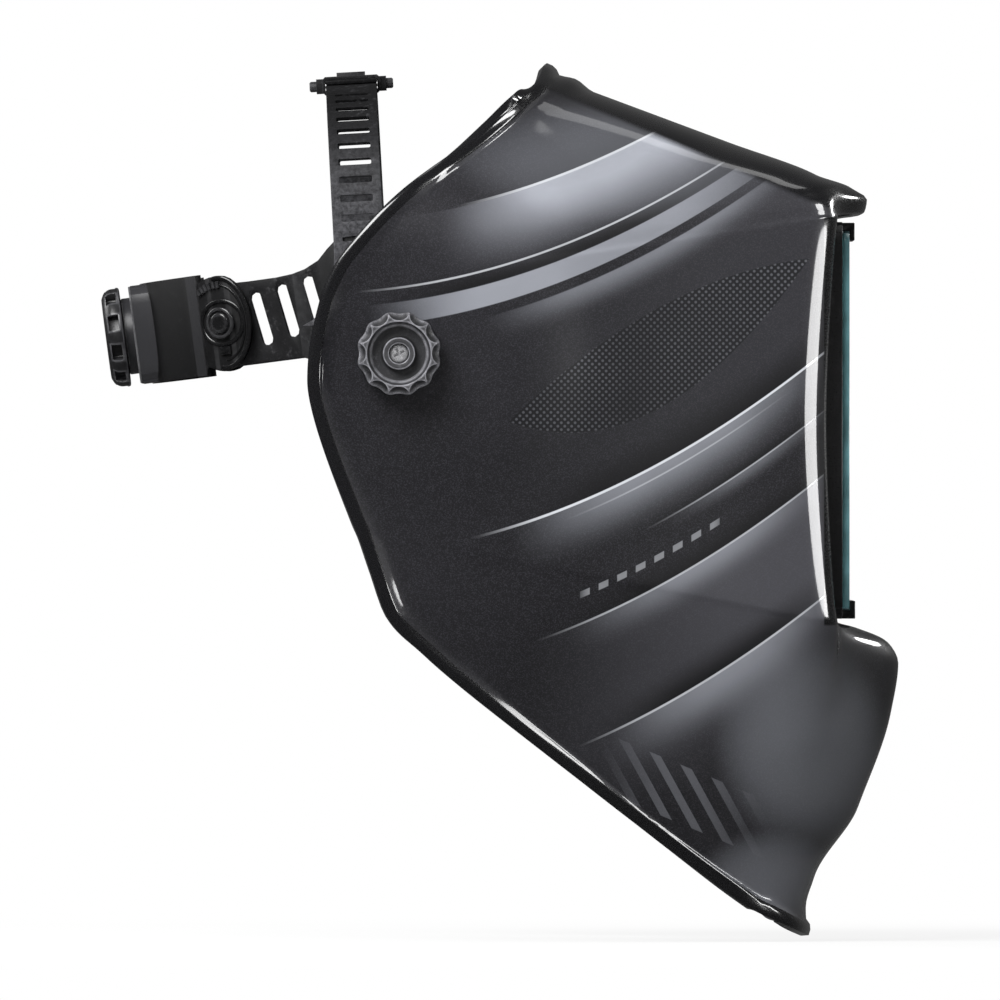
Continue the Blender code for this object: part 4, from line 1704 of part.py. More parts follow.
def build_headgear(headgear: bpy.types.Object) -> None:
    """The headband, crown straps and rear cradle."""
    build_brow_band(headgear)
    build_sweatband(headgear)
    crown = bpy.data.objects.new("crown_frame", None)
    crown.location = (STRAP_ROOT_X, 0.0, STRAP_ROOT_Z)
    crown.rotation_euler = (0.0, STRAP_LEAN, 0.0)
    crown.parent = headgear
    bpy.context.scene.collection.objects.link(crown)
    for side in (RIGHT, LEFT):
        build_crown_strap(side, crown)
        build_rivet(side, headgear)
        build_rack(side, headgear)
    build_crown_buckle(crown)
    build_ratchet_housing(headgear)
    build_ratchet_base(headgear)
    build_ratchet_pinion(headgear)
    build_detent_spring(headgear)
    build_ratchet_knob(headgear)
    build_nape_pad(headgear)


def main() -> None:
    """Build the helmet."""
    clear_scene()
    headgear = bpy.data.objects.new("headgear_frame", None)
    headgear.rotation_euler = (0.0, -HEADGEAR_TILT, 0.0)
    bpy.context.scene.collection.objects.link(headgear)
    build_mask()
    for side in (RIGHT, LEFT):
        build_pivot(side, headgear)
    build_headgear(headgear)


main()
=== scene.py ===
"""Looks of the auto-darkening welding helmet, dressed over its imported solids.

+X is forward, +Y the wearer's left and +Z up. The origin is the middle of the tilt axis, half way
between the two tension knobs. Sizes are in metres; MM turns millimetres into them.
"""

import json
import logging
import math
from collections.abc import Callable, Sequence
from dataclasses import dataclass
from enum import Enum

import bmesh
import bpy
import numpy as np
from mathutils import Matrix, Vector
from mathutils.bvhtree import BVHTree
from mathutils.kdtree import KDTree

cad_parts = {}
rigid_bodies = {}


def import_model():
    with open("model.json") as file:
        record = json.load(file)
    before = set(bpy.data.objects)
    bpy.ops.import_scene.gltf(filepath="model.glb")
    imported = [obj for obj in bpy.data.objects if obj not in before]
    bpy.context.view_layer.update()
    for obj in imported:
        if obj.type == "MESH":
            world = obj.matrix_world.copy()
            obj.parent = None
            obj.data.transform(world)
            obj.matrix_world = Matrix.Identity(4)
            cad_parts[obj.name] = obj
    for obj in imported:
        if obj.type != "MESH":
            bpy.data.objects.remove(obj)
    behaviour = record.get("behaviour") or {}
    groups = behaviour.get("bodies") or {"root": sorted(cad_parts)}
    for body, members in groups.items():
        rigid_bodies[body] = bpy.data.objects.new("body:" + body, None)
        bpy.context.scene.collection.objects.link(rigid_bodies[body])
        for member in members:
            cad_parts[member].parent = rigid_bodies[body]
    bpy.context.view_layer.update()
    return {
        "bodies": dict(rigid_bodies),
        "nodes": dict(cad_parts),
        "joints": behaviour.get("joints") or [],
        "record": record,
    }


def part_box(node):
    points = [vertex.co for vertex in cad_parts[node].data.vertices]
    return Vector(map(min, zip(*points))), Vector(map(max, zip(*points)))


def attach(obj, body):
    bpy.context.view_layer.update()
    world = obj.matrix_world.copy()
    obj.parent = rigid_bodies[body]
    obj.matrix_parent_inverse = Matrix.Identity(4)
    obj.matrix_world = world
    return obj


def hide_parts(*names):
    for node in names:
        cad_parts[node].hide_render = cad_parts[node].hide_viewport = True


MM = 0.001
LOG = logging.getLogger("helmet")
Colour = tuple[float, float, float]
Outline = list[tuple[float, float]]
Table = tuple[tuple[float, ...], ...]
MARKS = ("edge", "hollow")
LEAST_BEND = 350.0
BEND_RANGE = 1500.0
MARK_SPREAD = 0.9 * MM
WELD = 2e-6


class Side(Enum):
    """The wearer's right or left side, with its sign along Y."""

    RIGHT = -1
    LEFT = 1

    @property
    def label(self) -> str:
        """The side's word in node names."""
        return self.name.lower()


class Sock:
    """An output socket of a node tree that can be used like a number."""

    def __init__(self, tree: bpy.types.NodeTree, socket: bpy.types.NodeSocket) -> None:
        """Keep the socket and the tree it belongs to."""
        self.tree = tree
        self.socket = socket

    def math(self, operation: str, *others: "Sock | float", first: "float | None" = None) -> "Sock":
        """Put a Math node behind this socket.

        Args:
            operation: Blender's name of the sum.
            others: The remaining operands.
            first: A number that goes before this socket, for reflected sums.

        Returns:
            The node's result.
        """
        node = self.tree.nodes.new("ShaderNodeMath")
        node.operation = operation
        operands = (self, *others) if first is None else (first, self, *others)
        for slot, value in zip(node.inputs, operands):
            feed(self.tree, slot, value)
        return Sock(self.tree, node.outputs[0])

    def __add__(self, other: "Sock | float") -> "Sock":
        """Sum."""
        return self.math("ADD", other)

    def __radd__(self, other: float) -> "Sock":
        """Sum with a number in front."""
        return self.math("ADD", first=other)

    def __sub__(self, other: "Sock | float") -> "Sock":
        """Difference."""
        return self.math("SUBTRACT", other)

    def __rsub__(self, other: float) -> "Sock":
        """A number less this socket."""
        return self.math("SUBTRACT", first=other)

    def __mul__(self, other: "Sock | float") -> "Sock":
        """Product."""
        return self.math("MULTIPLY", other)

    def __truediv__(self, other: "Sock | float") -> "Sock":
        """Quotient."""
        return self.math("DIVIDE", other)

    def __pow__(self, other: float) -> "Sock":
        """Power."""
        return self.math("POWER", other)

    def __abs__(self) -> "Sock":
        """The number without its sign."""
        return self.math("ABSOLUTE")

    def root(self) -> "Sock":
        """Square root."""
        return self.math("SQRT")

    def least(self, other: "Sock | float") -> "Sock":
        """The smaller of two."""
        return self.math("MINIMUM", other)

    def most(self, other: "Sock | float") -> "Sock":
        """The larger of two."""
        return self.math("MAXIMUM", other)

    def fraction(self) -> "Sock":
        """What is behind the decimal point."""
        return self.math("FRACT")

    def ease(self, low: float, high: float) -> "Sock":
        """A smooth step from 0 at low to 1 at high."""
        node = self.tree.nodes.new("ShaderNodeMapRange")
        node.interpolation_type = "SMOOTHSTEP"
        for slot, value in zip(node.inputs, (self, low, high, 0.0, 1.0)):
            feed(self.tree, slot, value)
        return Sock(self.tree, node.outputs[0])


def feed(tree: bpy.types.NodeTree, slot: bpy.types.NodeSocket, value: object) -> None:
    """Link a socket to an input, or set the input to a plain value."""
    if isinstance(value, Sock):
        tree.links.new(value.socket, slot)
    else:
        slot.default_value = value


def toned(colour: Colour, share: float, lift: float = 0.0) -> Colour:
    """A darker or lighter shade of a colour."""
    return tuple(share * c + lift for c in colour)


class Recipe:
    """One node material in the making."""

    def __init__(self, name: str) -> None:
        """Start an empty material."""
        self.material = bpy.data.materials.new(name)
        self.material.use_nodes = True
        self.tree = self.material.node_tree
        self.tree.nodes.clear()
        self.out = self.tree.nodes.new("ShaderNodeOutputMaterial")

    def node(self, kind: str, settings: dict | None = None, values: dict | None = None) -> bpy.types.Node:
        """Add any node.

        Args:
            kind: Blender's type name without ShaderNode.
            settings: Properties of the node, set first.
            values: Numbers, colours or sockets for its inputs, by name or index.

        Returns:
            The node.
        """
        made = self.tree.nodes.new(f"ShaderNode{kind}")
        for name, value in (settings or {}).items():
            setattr(made, name, value)
        for name, value in (values or {}).items():
            feed(self.tree, made.inputs[name], value)
        return made

    def sock(self, node: bpy.types.Node, name: str | int = 0) -> Sock:
        """An output of a node."""
        return Sock(self.tree, node.outputs[name])

    def spot(self) -> Sock:
        """The place on the piece, in metres."""
        return self.sock(self.node("TexCoord"), "Object")

    def axes(self) -> tuple[Sock, Sock, Sock]:
        """The place on the piece as three numbers in millimetres."""
        split = self.node("SeparateXYZ", values={0: self.spot()})
        return tuple(self.sock(split, name) * 1000.0 for name in ("X", "Y", "Z"))

    def noise(self, scale: float, detail: float = 2.0, rough: float = 0.5) -> Sock:
        """Smooth noise of so many waves a metre."""
        values = {"Vector": self.spot(), "Scale": scale, "Detail": detail, "Roughness": rough}
        return self.sock(self.node("TexNoise", values=values), 0)

    def cells(self, scale: float, output: str = "Distance") -> Sock:
        """Cells of so many a metre: the way to their middle, or their chance colour."""
        values = {"Vector": self.spot(), "Scale": scale}
        return self.sock(self.node("TexVoronoi", values=values), output)

    def mark(self, name: str) -> Sock:
        """A number stored on the mesh."""
        return self.sock(self.node("Attribute", {"attribute_name": name}), "Fac")

    def worn(self) -> Sock:
        """Outer edges, scuffed unevenly: edge wear that also stands in as a painted edge highlight."""
        return self.mark("edge") * (self.noise(320.0, 2.0).ease(0.2, 0.7) * 0.7 + 0.3)

    def blend(self, share: Sock, first: bpy.types.Node, second: bpy.types.Node) -> bpy.types.Node:
        """A blend of two shaders."""
        return self.node("MixShader", values={0: share, 1: self.sock(first), 2: self.sock(second)})

    def mix(self, share: "Sock | float", first: object, second: object) -> Sock:
        """A blend of two colours."""
        made = self.node("Mix", {"data_type": "RGBA"}, {0: share})
        for slot, value in ((6, first), (7, second)):
            plain = (*value, 1.0) if isinstance(value, tuple) else value
            feed(self.tree, made.inputs[slot], plain)
        return self.sock(made, 2)

    def relief(self, height: Sock, depth: float, strength: float) -> Sock:
        """A bump of the given depth in metres."""
        values = {"Height": height, "Distance": depth, "Strength": strength}
        return self.sock(self.node("Bump", values=values))

    def shade(self, **values: object) -> bpy.types.Node:
        """The Principled shader; an underscore in a name stands for a space."""
        plain = {}
        for name, value in values.items():
            full = " ".join("IOR" if w == "ior" else w.capitalize() for w in name.split("_"))
            plain[full] = (*value, 1.0) if isinstance(value, tuple) and len(value) == 3 else value
        return self.node("BsdfPrincipled", values=plain)

    def done(self, shader: bpy.types.Node) -> bpy.types.Material:
        """Finish the material with a shader."""
        self.tree.links.new(shader.outputs[0], self.out.inputs["Surface"])
        return self.material


@dataclass(frozen=True)
class Look:
    """A finish, whose material is made from its own shader."""

    name: str

    def shader(self, r: Recipe) -> bpy.types.Node:
        """The shader of the material."""
        raise NotImplementedError

    def build(self) -> bpy.types.Material:
        """Make the material."""
        r = Recipe(self.name)
        return r.done(self.shader(r))


@dataclass(frozen=True)
class Moulding(Look):
    """Moulded plastic: a fine grain, scuffs, painted shade in hollows, edges lightened by wear and a painted
    highlight and, in some, painted bounce light from below.

    The painted light shows below the height dusty_below, in millimetres.
    """

    colour: Colour
    rough: float
    grain: float = 2600.0
    relief: float = 0.05 * MM
    rubbed: float = 0.5
    scuffed: float = 0.25
    specular: float = 0.35
    polish: float = 4.5
    dusty_below: float = 0.0

    def shader(self, r: Recipe) -> bpy.types.Node:
        """The shader of the material."""
        fine = r.noise(self.grain, 3.0, 0.6)
        broad = r.noise(70.0, 4.0, 0.6)
        scuff = r.noise(420.0, 4.0, 0.7).ease(0.52, 0.74) * broad.ease(0.42, 0.62)
        edge = r.worn()
        pale = toned(self.colour, self.polish, 0.03)
        base = r.mix(broad.ease(0.3, 0.7), toned(self.colour, 0.7), self.colour)
        base = r.mix(fine.ease(0.5, 0.8) * 0.10 + scuff * self.scuffed, base, pale)
        # Painted shade: hollows and creases darkened.
        base = r.mix(r.mark("hollow") * 0.75, base, toned(self.colour, 0.25))
        # Painted bounce light from below: pale mottling that grows towards the bottom, under dusty_below.
        if self.dusty_below:
            height = r.axes()[2] / self.dusty_below
            pale_mottle = (1.0 - height.ease(0.35, 1.0)) * (r.noise(640.0, 4.0, 0.7).ease(0.25, 0.75) * 0.9 + 0.25)
            base = r.mix(pale_mottle * (fine * 0.6 + 0.7), base, pale)
        # Edges lighter: scuffed wear that also stands in as a painted edge highlight.
        base = r.mix(edge * self.rubbed, base, pale)
        rough = self.rough + (fine - 0.5) * 0.20 + scuff * 0.12 - edge * 0.10
        return r.shade(base_color=base, roughness=rough, specular_ior_level=self.specular,
                       normal=r.relief(fine, self.relief, 0.7))


@dataclass(frozen=True)
class TwoTone(Look):
    """The cradle's plastic: a satin ratchet box behind darker matt wings, with painted shade in hollows, a
    painted highlight along a rib and edges lightened by wear and a painted highlight.
    """

    border: float = -90.6
    rib: float = -74.8
    level: float = 20.5
    tilt: float = math.radians(7.5)

    def shader(self, r: Recipe) -> bpy.types.Node:
        """The shader of the material."""
        x, _, z = r.axes()
        along = x * math.cos(self.tilt) + z * math.sin(self.tilt)
        up = z * math.cos(self.tilt) - x * math.sin(self.tilt) - self.level
        wing = (along - self.border + up * up * 0.004).ease(-0.2, 0.2)
        fine = r.noise(2100.0, 3.0, 0.6)
        scuff = r.noise(380.0, 4.0, 0.7).ease(0.56, 0.74)
        edge = r.worn()
        base = r.mix(wing, (0.024, 0.024, 0.0265), (0.0040, 0.0040, 0.0045))
        base = r.mix(fine.ease(0.5, 0.8) * 0.12 + scuff * 0.10, base, (0.060, 0.060, 0.063))
        # Painted shade: hollows darkened.
        base = r.mix(r.mark("hollow") * 0.7, base, (0.003, 0.003, 0.003))
        # Painted highlight: a lighter stripe along the rib.
        rib = 1.0 - abs(along - self.rib).ease(1.7, 2.1)
        base = r.mix(rib * (fine * 0.5 + 0.4), base, (0.022, 0.022, 0.0245))
        # Edges lighter: wear that also stands in as a painted edge highlight.
        base = r.mix(edge * 0.7, base, (0.13, 0.13, 0.135))
        rough = 0.34 + wing * 0.24 + (fine - 0.5) * 0.18 - edge * 0.08
        return r.shade(base_color=base, roughness=rough, specular_ior_level=0.26,
                       normal=r.relief(fine, 0.05 * MM, 0.6))


@dataclass(frozen=True)
class GlossTrim(Look):
    """Polished black trim with faint orange peel."""

    colour: Colour = (0.006, 0.006, 0.007)

    def shader(self, r: Recipe) -> bpy.types.Node:
        """The shader of the material."""
        peel = r.noise(170.0, 2.0)
        pale_mottle = r.cells(900.0).ease(0.0, 0.16)
        base = r.mix(pale_mottle * 0.85 + 0.15, (0.03, 0.03, 0.033), self.colour)
        return r.shade(base_color=base, roughness=0.16 + (peel - 0.5) * 0.10, coat_weight=1.0,
                       coat_roughness=0.04, normal=r.relief(peel, 0.12 * MM, 0.35))


@dataclass(frozen=True)
class ClearPlate(Look):
    """Clear polycarbonate: see-through faces and a teal glow in its sawn edge."""

    edge: Colour = (0.115, 0.275, 0.300)
    tint: Colour = (0.80, 0.93, 0.92)

    def shader(self, r: Recipe) -> bpy.types.Node:
        """The shader of the material."""
        scratch = r.noise(900.0, 4.0, 0.7)
        clear = r.node("BsdfTransparent", values={"Color": (*self.tint, 1.0)})
        gloss = r.node("BsdfGlossy", values={"Roughness": scratch.ease(0.4, 0.9) * 0.10 + 0.015})
        rim = r.node("LayerWeight", values={"Blend": 0.12})
        face = r.blend(r.sock(rim, "Fresnel") * 0.9 + 0.03, clear, gloss)
        streak = r.noise(60.0, 3.0)
        glow = r.mix(streak.ease(0.3, 0.75), toned(self.edge, 0.6), toned(self.edge, 1.25))
        sawn = r.shade(base_color=glow, roughness=0.14 + scratch * 0.16, coat_weight=0.6,
                       specular_ior_level=0.5)
        return r.blend(r.mark("rim"), face, sawn)


@dataclass(frozen=True)
class DarkPane(Look):
    """Dark filter glass with an oily green sheen."""

    colour: Colour = (0.006, 0.030, 0.020)

    def shader(self, r: Recipe) -> bpy.types.Node:
        """The shader of the material."""
        drift = r.noise(22.0, 2.0)
        base = r.mix(drift.ease(0.3, 0.7), self.colour, (0.012, 0.022, 0.040))
        haze = r.noise(260.0, 3.0)
        return r.shade(base_color=base, roughness=0.04 + haze.ease(0.5, 0.9) * 0.08, coat_weight=1.0,
                       coat_roughness=0.02, specular_ior_level=0.6)


@dataclass(frozen=True)
class SolarFilm(Look):
    """Solar strip: violet cells with silver collector lines."""

    def shader(self, r: Recipe) -> bpy.types.Node:
        """The shader of the material."""
        _, y, _ = r.axes()
        fine = (abs((y / 1.6).fraction() - 0.5)).ease(0.46, 0.49)
        bus = (abs((y / 17.0).fraction() - 0.5)).ease(0.475, 0.49)
        cloud = r.noise(240.0, 4.0)
        cell = r.mix(cloud, (0.012, 0.006, 0.026), (0.030, 0.016, 0.060))
        base = r.mix(fine * 0.35, cell, (0.20, 0.20, 0.24))
        base = r.mix(bus, base, (0.45, 0.45, 0.47))
        return r.shade(base_color=base, roughness=0.22 + cloud * 0.12, coat_weight=1.0,
                       coat_roughness=0.03)


@dataclass(frozen=True)
class PlatedSteel(Look):
    """Zinc-plated steel with turning marks."""

    colour: Colour = (0.60, 0.60, 0.62)
    rough: float = 0.26

    def shader(self, r: Recipe) -> bpy.types.Node:
        """The shader of the material."""
        cloud = r.noise(420.0, 3.0)
        fine = r.noise(3800.0, 2.0)
        stain = r.noise(1300.0, 2.0).ease(0.55, 0.75)
        base = r.mix(cloud, toned(self.colour, 0.72), self.colour)
        base = r.mix(stain * 0.35, base, (0.22, 0.20, 0.18))
        rough = self.rough + (fine - 0.5) * 0.22 + stain * 0.15
        return r.shade(base_color=base, metallic=0.55, roughness=rough, normal=r.relief(fine, 0.03 * MM, 0.5))


@dataclass(frozen=True)
class FibreSheet(Look):
    """Pressed grey fibre of the friction washers."""

    def shader(self, r: Recipe) -> bpy.types.Node:
        """The shader of the material."""
        strand = r.noise(1900.0, 5.0, 0.7)
        fleck = r.cells(1500.0).ease(0.0, 0.3)
        base = r.mix(strand.ease(0.3, 0.7), (0.045, 0.045, 0.046), (0.13, 0.13, 0.125))
        base = r.mix(fleck * 0.8 + 0.2, (0.20, 0.19, 0.17), base)
        return r.shade(base_color=base, roughness=0.82 + (strand - 0.5) * 0.2,
                       normal=r.relief(strand, 0.12 * MM, 0.8))


@dataclass(frozen=True)
class Towelling(Look):
    """Black towelling over foam: looped pile with painted shade between the loops, lint and a soft sheen."""

    def shader(self, r: Recipe) -> bpy.types.Node:
        """The shader of the material."""
        loop = r.cells(900.0).ease(0.05, 0.75)
        clump = r.noise(160.0, 4.0, 0.6)
        lint = r.noise(2400.0, 2.0).ease(0.66, 0.80)
        # Darker between the loops, lighter on their tops: painted shade in the pile.
        base = r.mix(loop, (0.042, 0.042, 0.045), (0.010, 0.010, 0.011))
        base = r.mix(clump.ease(0.35, 0.75) * 0.5, base, (0.030, 0.030, 0.033))
        base = r.mix(lint * 0.35, base, (0.16, 0.16, 0.17))
        height = (1.0 - loop) * 0.8 + clump * 0.6
        return r.shade(base_color=base, roughness=0.90 + (clump - 0.5) * 0.12, sheen_weight=0.5,
                       sheen_roughness=0.4, normal=r.relief(height, 0.5 * MM, 0.9))


@dataclass(frozen=True)
class Thread(Look):
    """Twisted sewing thread."""

    colour: Colour = (0.055, 0.055, 0.060)

    def shader(self, r: Recipe) -> bpy.types.Node:
        """The shader of the material."""
        twist = r.noise(5200.0, 2.0)
        base = r.mix(twist, toned(self.colour, 0.5), self.colour)
        return r.shade(base_color=base, roughness=0.62 + twist * 0.2, normal=r.relief(twist, 0.05 * MM, 0.6))


@dataclass(frozen=True)
class BladePrint(Look):
    """The mask's lacquer: charcoal flake with swept silver blades, pinstripes, slashes and a mesh field.

    The blades rise from the jaw to the brow. slope and curl shape them, in millimetres along x and z.
    The rim and the brow's roof stay bare black. Rows of the tables start with a height over the blades'
    base curve and end with the places along x between which they show and, apart from shades, a strength.
    Glows have a middle and a half width along x, the same in height, and a strength; they are airbrushed
    silver that also stands in as painted highlights on the chin and the upper flank.
    """

    slope: float = 0.30
    curl: float = 0.0021
    start: float = 40.0
    rim: float = 5.0
    roof: tuple[float, float] = (124.0, -0.4265)
    blade_table: Table = ((60.0, 36.0, 14.0, 160.0, 0.84), (16.0, 15.0, 30.0, 156.0, 0.36),
                          (-66.0, 26.0, 40.0, 168.0, 0.46), (-88.0, 9.0, 96.0, 170.0, 0.30),
                          (-112.0, 17.0, 62.0, 168.0, 0.40), (-158.0, 26.0, 76.0, 170.0, 0.60))
    glow_table: Table = ((152.0, 36.0, -146.0, 44.0, 0.22), (140.0, 30.0, -200.0, 22.0, 0.20),
                         (84.0, 70.0, 74.0, 26.0, 0.14))
    shade_table: Table = ((60.0, 12.0, 30.0, 170.0), (28.4, 9.0, -10.0, 150.0), (-66.0, 16.0, 40.0, 182.0),
                          (-88.0, 5.0, 90.0, 176.0), (-112.0, 10.0, 60.0, 176.0), (-158.0, 14.0, 66.0, 176.0))
    stripe_table: Table = ((60.2, 0.35, 20.0, 170.0, 0.85), (33.5, 0.25, -18.0, 140.0, 0.6),
                           (-66.0, 0.35, 26.0, 182.0, 0.95), (-70.5, 0.18, 60.0, 150.0, 0.4),
                           (-88.0, 0.18, 90.0, 174.0, 0.5), (-112.0, 0.25, 50.0, 176.0, 0.6),
                           (-158.0, 0.30, 66.0, 176.0, 0.8))

    def shader(self, r: Recipe) -> bpy.types.Node:
        """The shader of the material."""
        x, _, z = r.axes()
        away = x - self.start
        level = z - away * self.slope - away * away * self.curl
        flake = r.cells(3400.0, output="Color")
        spark = r.sock(r.node("SeparateColor", values={0: flake}), 0)
        cloud = r.noise(9.0, 3.0)
        base = r.mix(cloud.ease(0.3, 0.7), (0.0076, 0.0074, 0.0095), (0.0140, 0.0136, 0.0172))
        base = r.mix(self.panels(x, level), base, (0.060, 0.060, 0.070))
        base = r.mix(spark.ease(0.55, 1.0) * 0.20, base, (0.10, 0.10, 0.12))
        base = r.mix(self.shades(x, level), base, (0.0035, 0.0035, 0.0045))
        # Silver print, with painted highlights from the glows on the chin and the upper flank.
        silver = self.blades(r, x, z, level)
        base = r.mix(silver, base, (0.50, 0.52, 0.58))
        field_mask, dots = self.mesh_field(r, x, z, level)
        base = r.mix(field_mask * 0.75, base, (0.005, 0.005, 0.0065))
        base = r.mix(field_mask * dots, base, (0.095, 0.097, 0.110))
        base = r.mix(self.slashes(x, z), base, (0.34, 0.35, 0.39))
        base = r.mix(self.stripes(x, level), base, (0.66, 0.68, 0.72))
        bare = self.bare(r, x, z)
        base = r.mix(bare, base, (0.0055, 0.0055, 0.0065))
        peel = r.noise(210.0, 2.0)
        metal = (silver * 0.4 + 0.12) * (1.0 - bare)
        rough = 0.42 + spark * 0.12 - silver * 0.08 - bare * 0.22
        return r.shade(base_color=base, metallic=metal, roughness=rough, coat_weight=0.9 + bare * 0.1,
                       coat_roughness=0.07, specular_ior_level=0.25,
                       normal=r.relief(peel, 0.06 * MM, 0.25))

    def bare(self, r: Recipe, x: Sock, z: Sock) -> Sock:
        """The unprinted black of the rim, the window wall and the brow's roof."""
        edge = 1.0 - r.mark("rim").ease(self.rim - 0.12, self.rim + 0.12)
        over = z - x * self.roof[1] - self.roof[0]
        front = x.ease(160.0, 160.6) * z.ease(-103.0, -102.0) * (1.0 - z.ease(51.0, 53.0))
        return edge.most(over.ease(-1.5, 1.5)).most(front)

    def span(self, x: Sock, start: float, end: float, soft: float) -> Sock:
        """1 between two places along the mask, fading in and out."""
        return x.ease(start, start + soft) * (1.0 - x.ease(end - soft, end))

    def panels(self, x: Sock, level: Sock) -> Sock:
        """Lighter charcoal between some of the blade lines."""
        total = (level.ease(-66.0, -65.6) * (1.0 - level.ease(14.0, 16.0))) * x.ease(10.0, 150.0) * 0.22
        lower = (1.0 - level.ease(-112.4, -112.0)) * level.ease(-200.0, -150.0) * x.ease(40.0, 150.0)
        upper = level.ease(28.0, 60.0) * (1.0 - level.ease(59.6, 60.0)) * x.ease(-20.0, 90.0)
        return (total + lower + upper * 0.8).least(0.85)

    def blades(self, r: Recipe, x: Sock, z: Sock, level: Sock) -> Sock:
        """Airbrushed silver: blades with a crisp upper edge, a ribbon and soft glows, the glows partly
        painted highlights.

        Args:
            r: The material in the making.
            x: Place along the mask, in millimetres.
            z: Height, in millimetres.
            level: Height over the blades' base curve, in millimetres.

        Returns:
            How much silver there is, painted highlights included.
        """
        soft = r.noise(24.0, 2.0) * 0.6 + 0.7
        total = 1.0 - abs(level - 24.0).ease(3.9, 4.3)
        total = total * self.span(x, -14.0, 150.0, 50.0) * (x.ease(0.0, 130.0) * -0.30 + 0.72)
        for top, fall, start, end, strength in self.blade_table:
            under = top - level
            fade = 1.0 - under.ease(0.0, fall)
            crisp = under.ease(0.0, 0.6) * fade * fade
            total = total + crisp * self.span(x, start, end, 50.0) * soft * strength
        # Glows: airbrushed silver that doubles as painted highlights on the chin and the upper flank.
        for middle, wide, height, tall, strength in self.glow_table:
            glow = ((x - middle) / wide) ** 2.0 + ((z - height) / tall) ** 2.0
            total = total + (1.0 - glow.ease(0.0, 1.0)) * soft * strength
        return total.least(0.85)

    def shades(self, x: Sock, level: Sock) -> Sock:
        """Black shadows above the blades, which lift their edges."""
        total = None
        for top, rise, start, end in self.shade_table:
            over = level - top
            one = over.ease(-0.4, 0.2) * (1.0 - over.ease(0.0, rise)) * self.span(x, start, end, 40.0)
            total = one if total is None else total + one
        return total.least(1.0) * 0.9

    def mesh_field(self, r: Recipe, x: Sock, z: Sock, level: Sock) -> tuple[Sock, Sock]:
        """A lens-shaped field of small round dots on black.

        Args:
            r: The material in the making.
            x: Place along the mask, in millimetres.
            z: Height, in millimetres.
            level: Height over the blades' base curve, in millimetres.

        Returns:
            The field's share and the dots in it.
        """
        middle = abs(level + 26.0)
        width = 19.0 - ((x - 98.0) / 13.0) ** 2.0
        share = 1.0 - (middle - width).ease(-0.4, 0.4)
        da = ((x + z) / 2.6).fraction() - 0.5
        db = ((x - z) / 2.6).fraction() - 0.5
        dots = 1.0 - (da * da + db * db).root().ease(0.20, 0.34)
        fade = r.noise(18.0, 2.0).ease(0.3, 0.65) * 0.75 + 0.25
        return share, dots * fade

    def slashes(self, x: Sock, z: Sock) -> Sock:
        """Slanted bars on the jaw, fading at both ends."""
        across = x + z * 0.55
        bar = 1.0 - abs((across / 9.0).fraction() - 0.5).ease(0.17, 0.20)
        band = abs(z + 172.0 + (x - 120.0) * 0.42)
        return bar * (1.0 - band.ease(11.0, 11.4)) * self.span(x, 74.0, 142.0, 30.0) * 0.24

    def stripes(self, x: Sock, level: Sock) -> Sock:
        """Thin pale lines beside the blades, and a row of short dashes."""
        dash = (abs((x / 7.0).fraction() - 0.5)).ease(0.22, 0.26)
        total = (1.0 - abs(level + 101.0).ease(1.1, 1.4)) * dash * self.span(x, 66.0, 124.0, 6.0) * 0.30
        for height, half, start, end, strength in self.stripe_table:
            line = 1.0 - abs(level - height).ease(half, half + 0.3)
            total = total + line * self.span(x, start, end, 36.0) * strength
        return total.least(1.0)


class Finish(Enum):
    """All finishes of the helmet."""

    SHELL = BladePrint("shell_print")
    RIM = GlossTrim("rim_gloss")
    LINING = Moulding("shell_lining", (0.017, 0.017, 0.0185), 0.46, grain=900.0, rubbed=0.2, scuffed=0.1)
    FRAME = Moulding("frame_moulding", (0.0045, 0.0045, 0.0052), 0.30, grain=1500.0, relief=0.03 * MM,
                     rubbed=0.35, scuffed=0.1, specular=0.28, polish=9.0)
    KNOB = Moulding("knob_grain", (0.030, 0.030, 0.033), 0.50, relief=0.06 * MM, rubbed=1.0, scuffed=0.3,
                    polish=7.0)
    GRIP = Moulding("grip_satin", (0.0100, 0.0100, 0.0110), 0.36, grain=2400.0, relief=0.04 * MM,
                    rubbed=0.8, scuffed=0.2, specular=0.40, polish=8.0)
    HEADGEAR = Moulding("headgear_satin", (0.0120, 0.0120, 0.0130), 0.44, grain=2200.0, rubbed=0.6,
                        scuffed=0.50, specular=0.16, polish=6.5)
    STRAP = Moulding("strap_plastic", (0.0050, 0.0050, 0.0056), 0.52, grain=2200.0, rubbed=0.6,
                     scuffed=0.50, specular=0.12, polish=14.0, dusty_below=96.0)
    CRADLE = TwoTone("cradle_two_tone")
    DISC = Moulding("disc_gloss", (0.0050, 0.0050, 0.0055), 0.24, grain=1200.0, relief=0.02 * MM,
                    rubbed=0.45, scuffed=0.1, specular=0.5, polish=8.0)
    LENS = ClearPlate("clear_plate")
    PANE = DarkPane("dark_pane")
    SOLAR = SolarFilm("solar_strip")
    STEEL = PlatedSteel("plated_steel")
    FIBRE = FibreSheet("fibre_sheet")
    CLOTH = Towelling("black_towelling")
    THREAD = Thread("sewing_thread")

    @property
    def material(self) -> bpy.types.Material:
        """The material, made at its first use."""
        found = bpy.data.materials.get(self.value.name)
        return found if found is not None else self.value.build()


def smooth(share: "float | np.ndarray") -> "float | np.ndarray":
    """An S-shaped rise from 0 to 1."""
    held = np.clip(share, 0.0, 1.0)
    return held * held * (3 - 2 * held)


def linked(name: str, mesh: bpy.types.Mesh) -> bpy.types.Object:
    """A new object in the scene."""
    made = bpy.data.objects.new(name, mesh)
    bpy.context.scene.collection.objects.link(made)
    return made


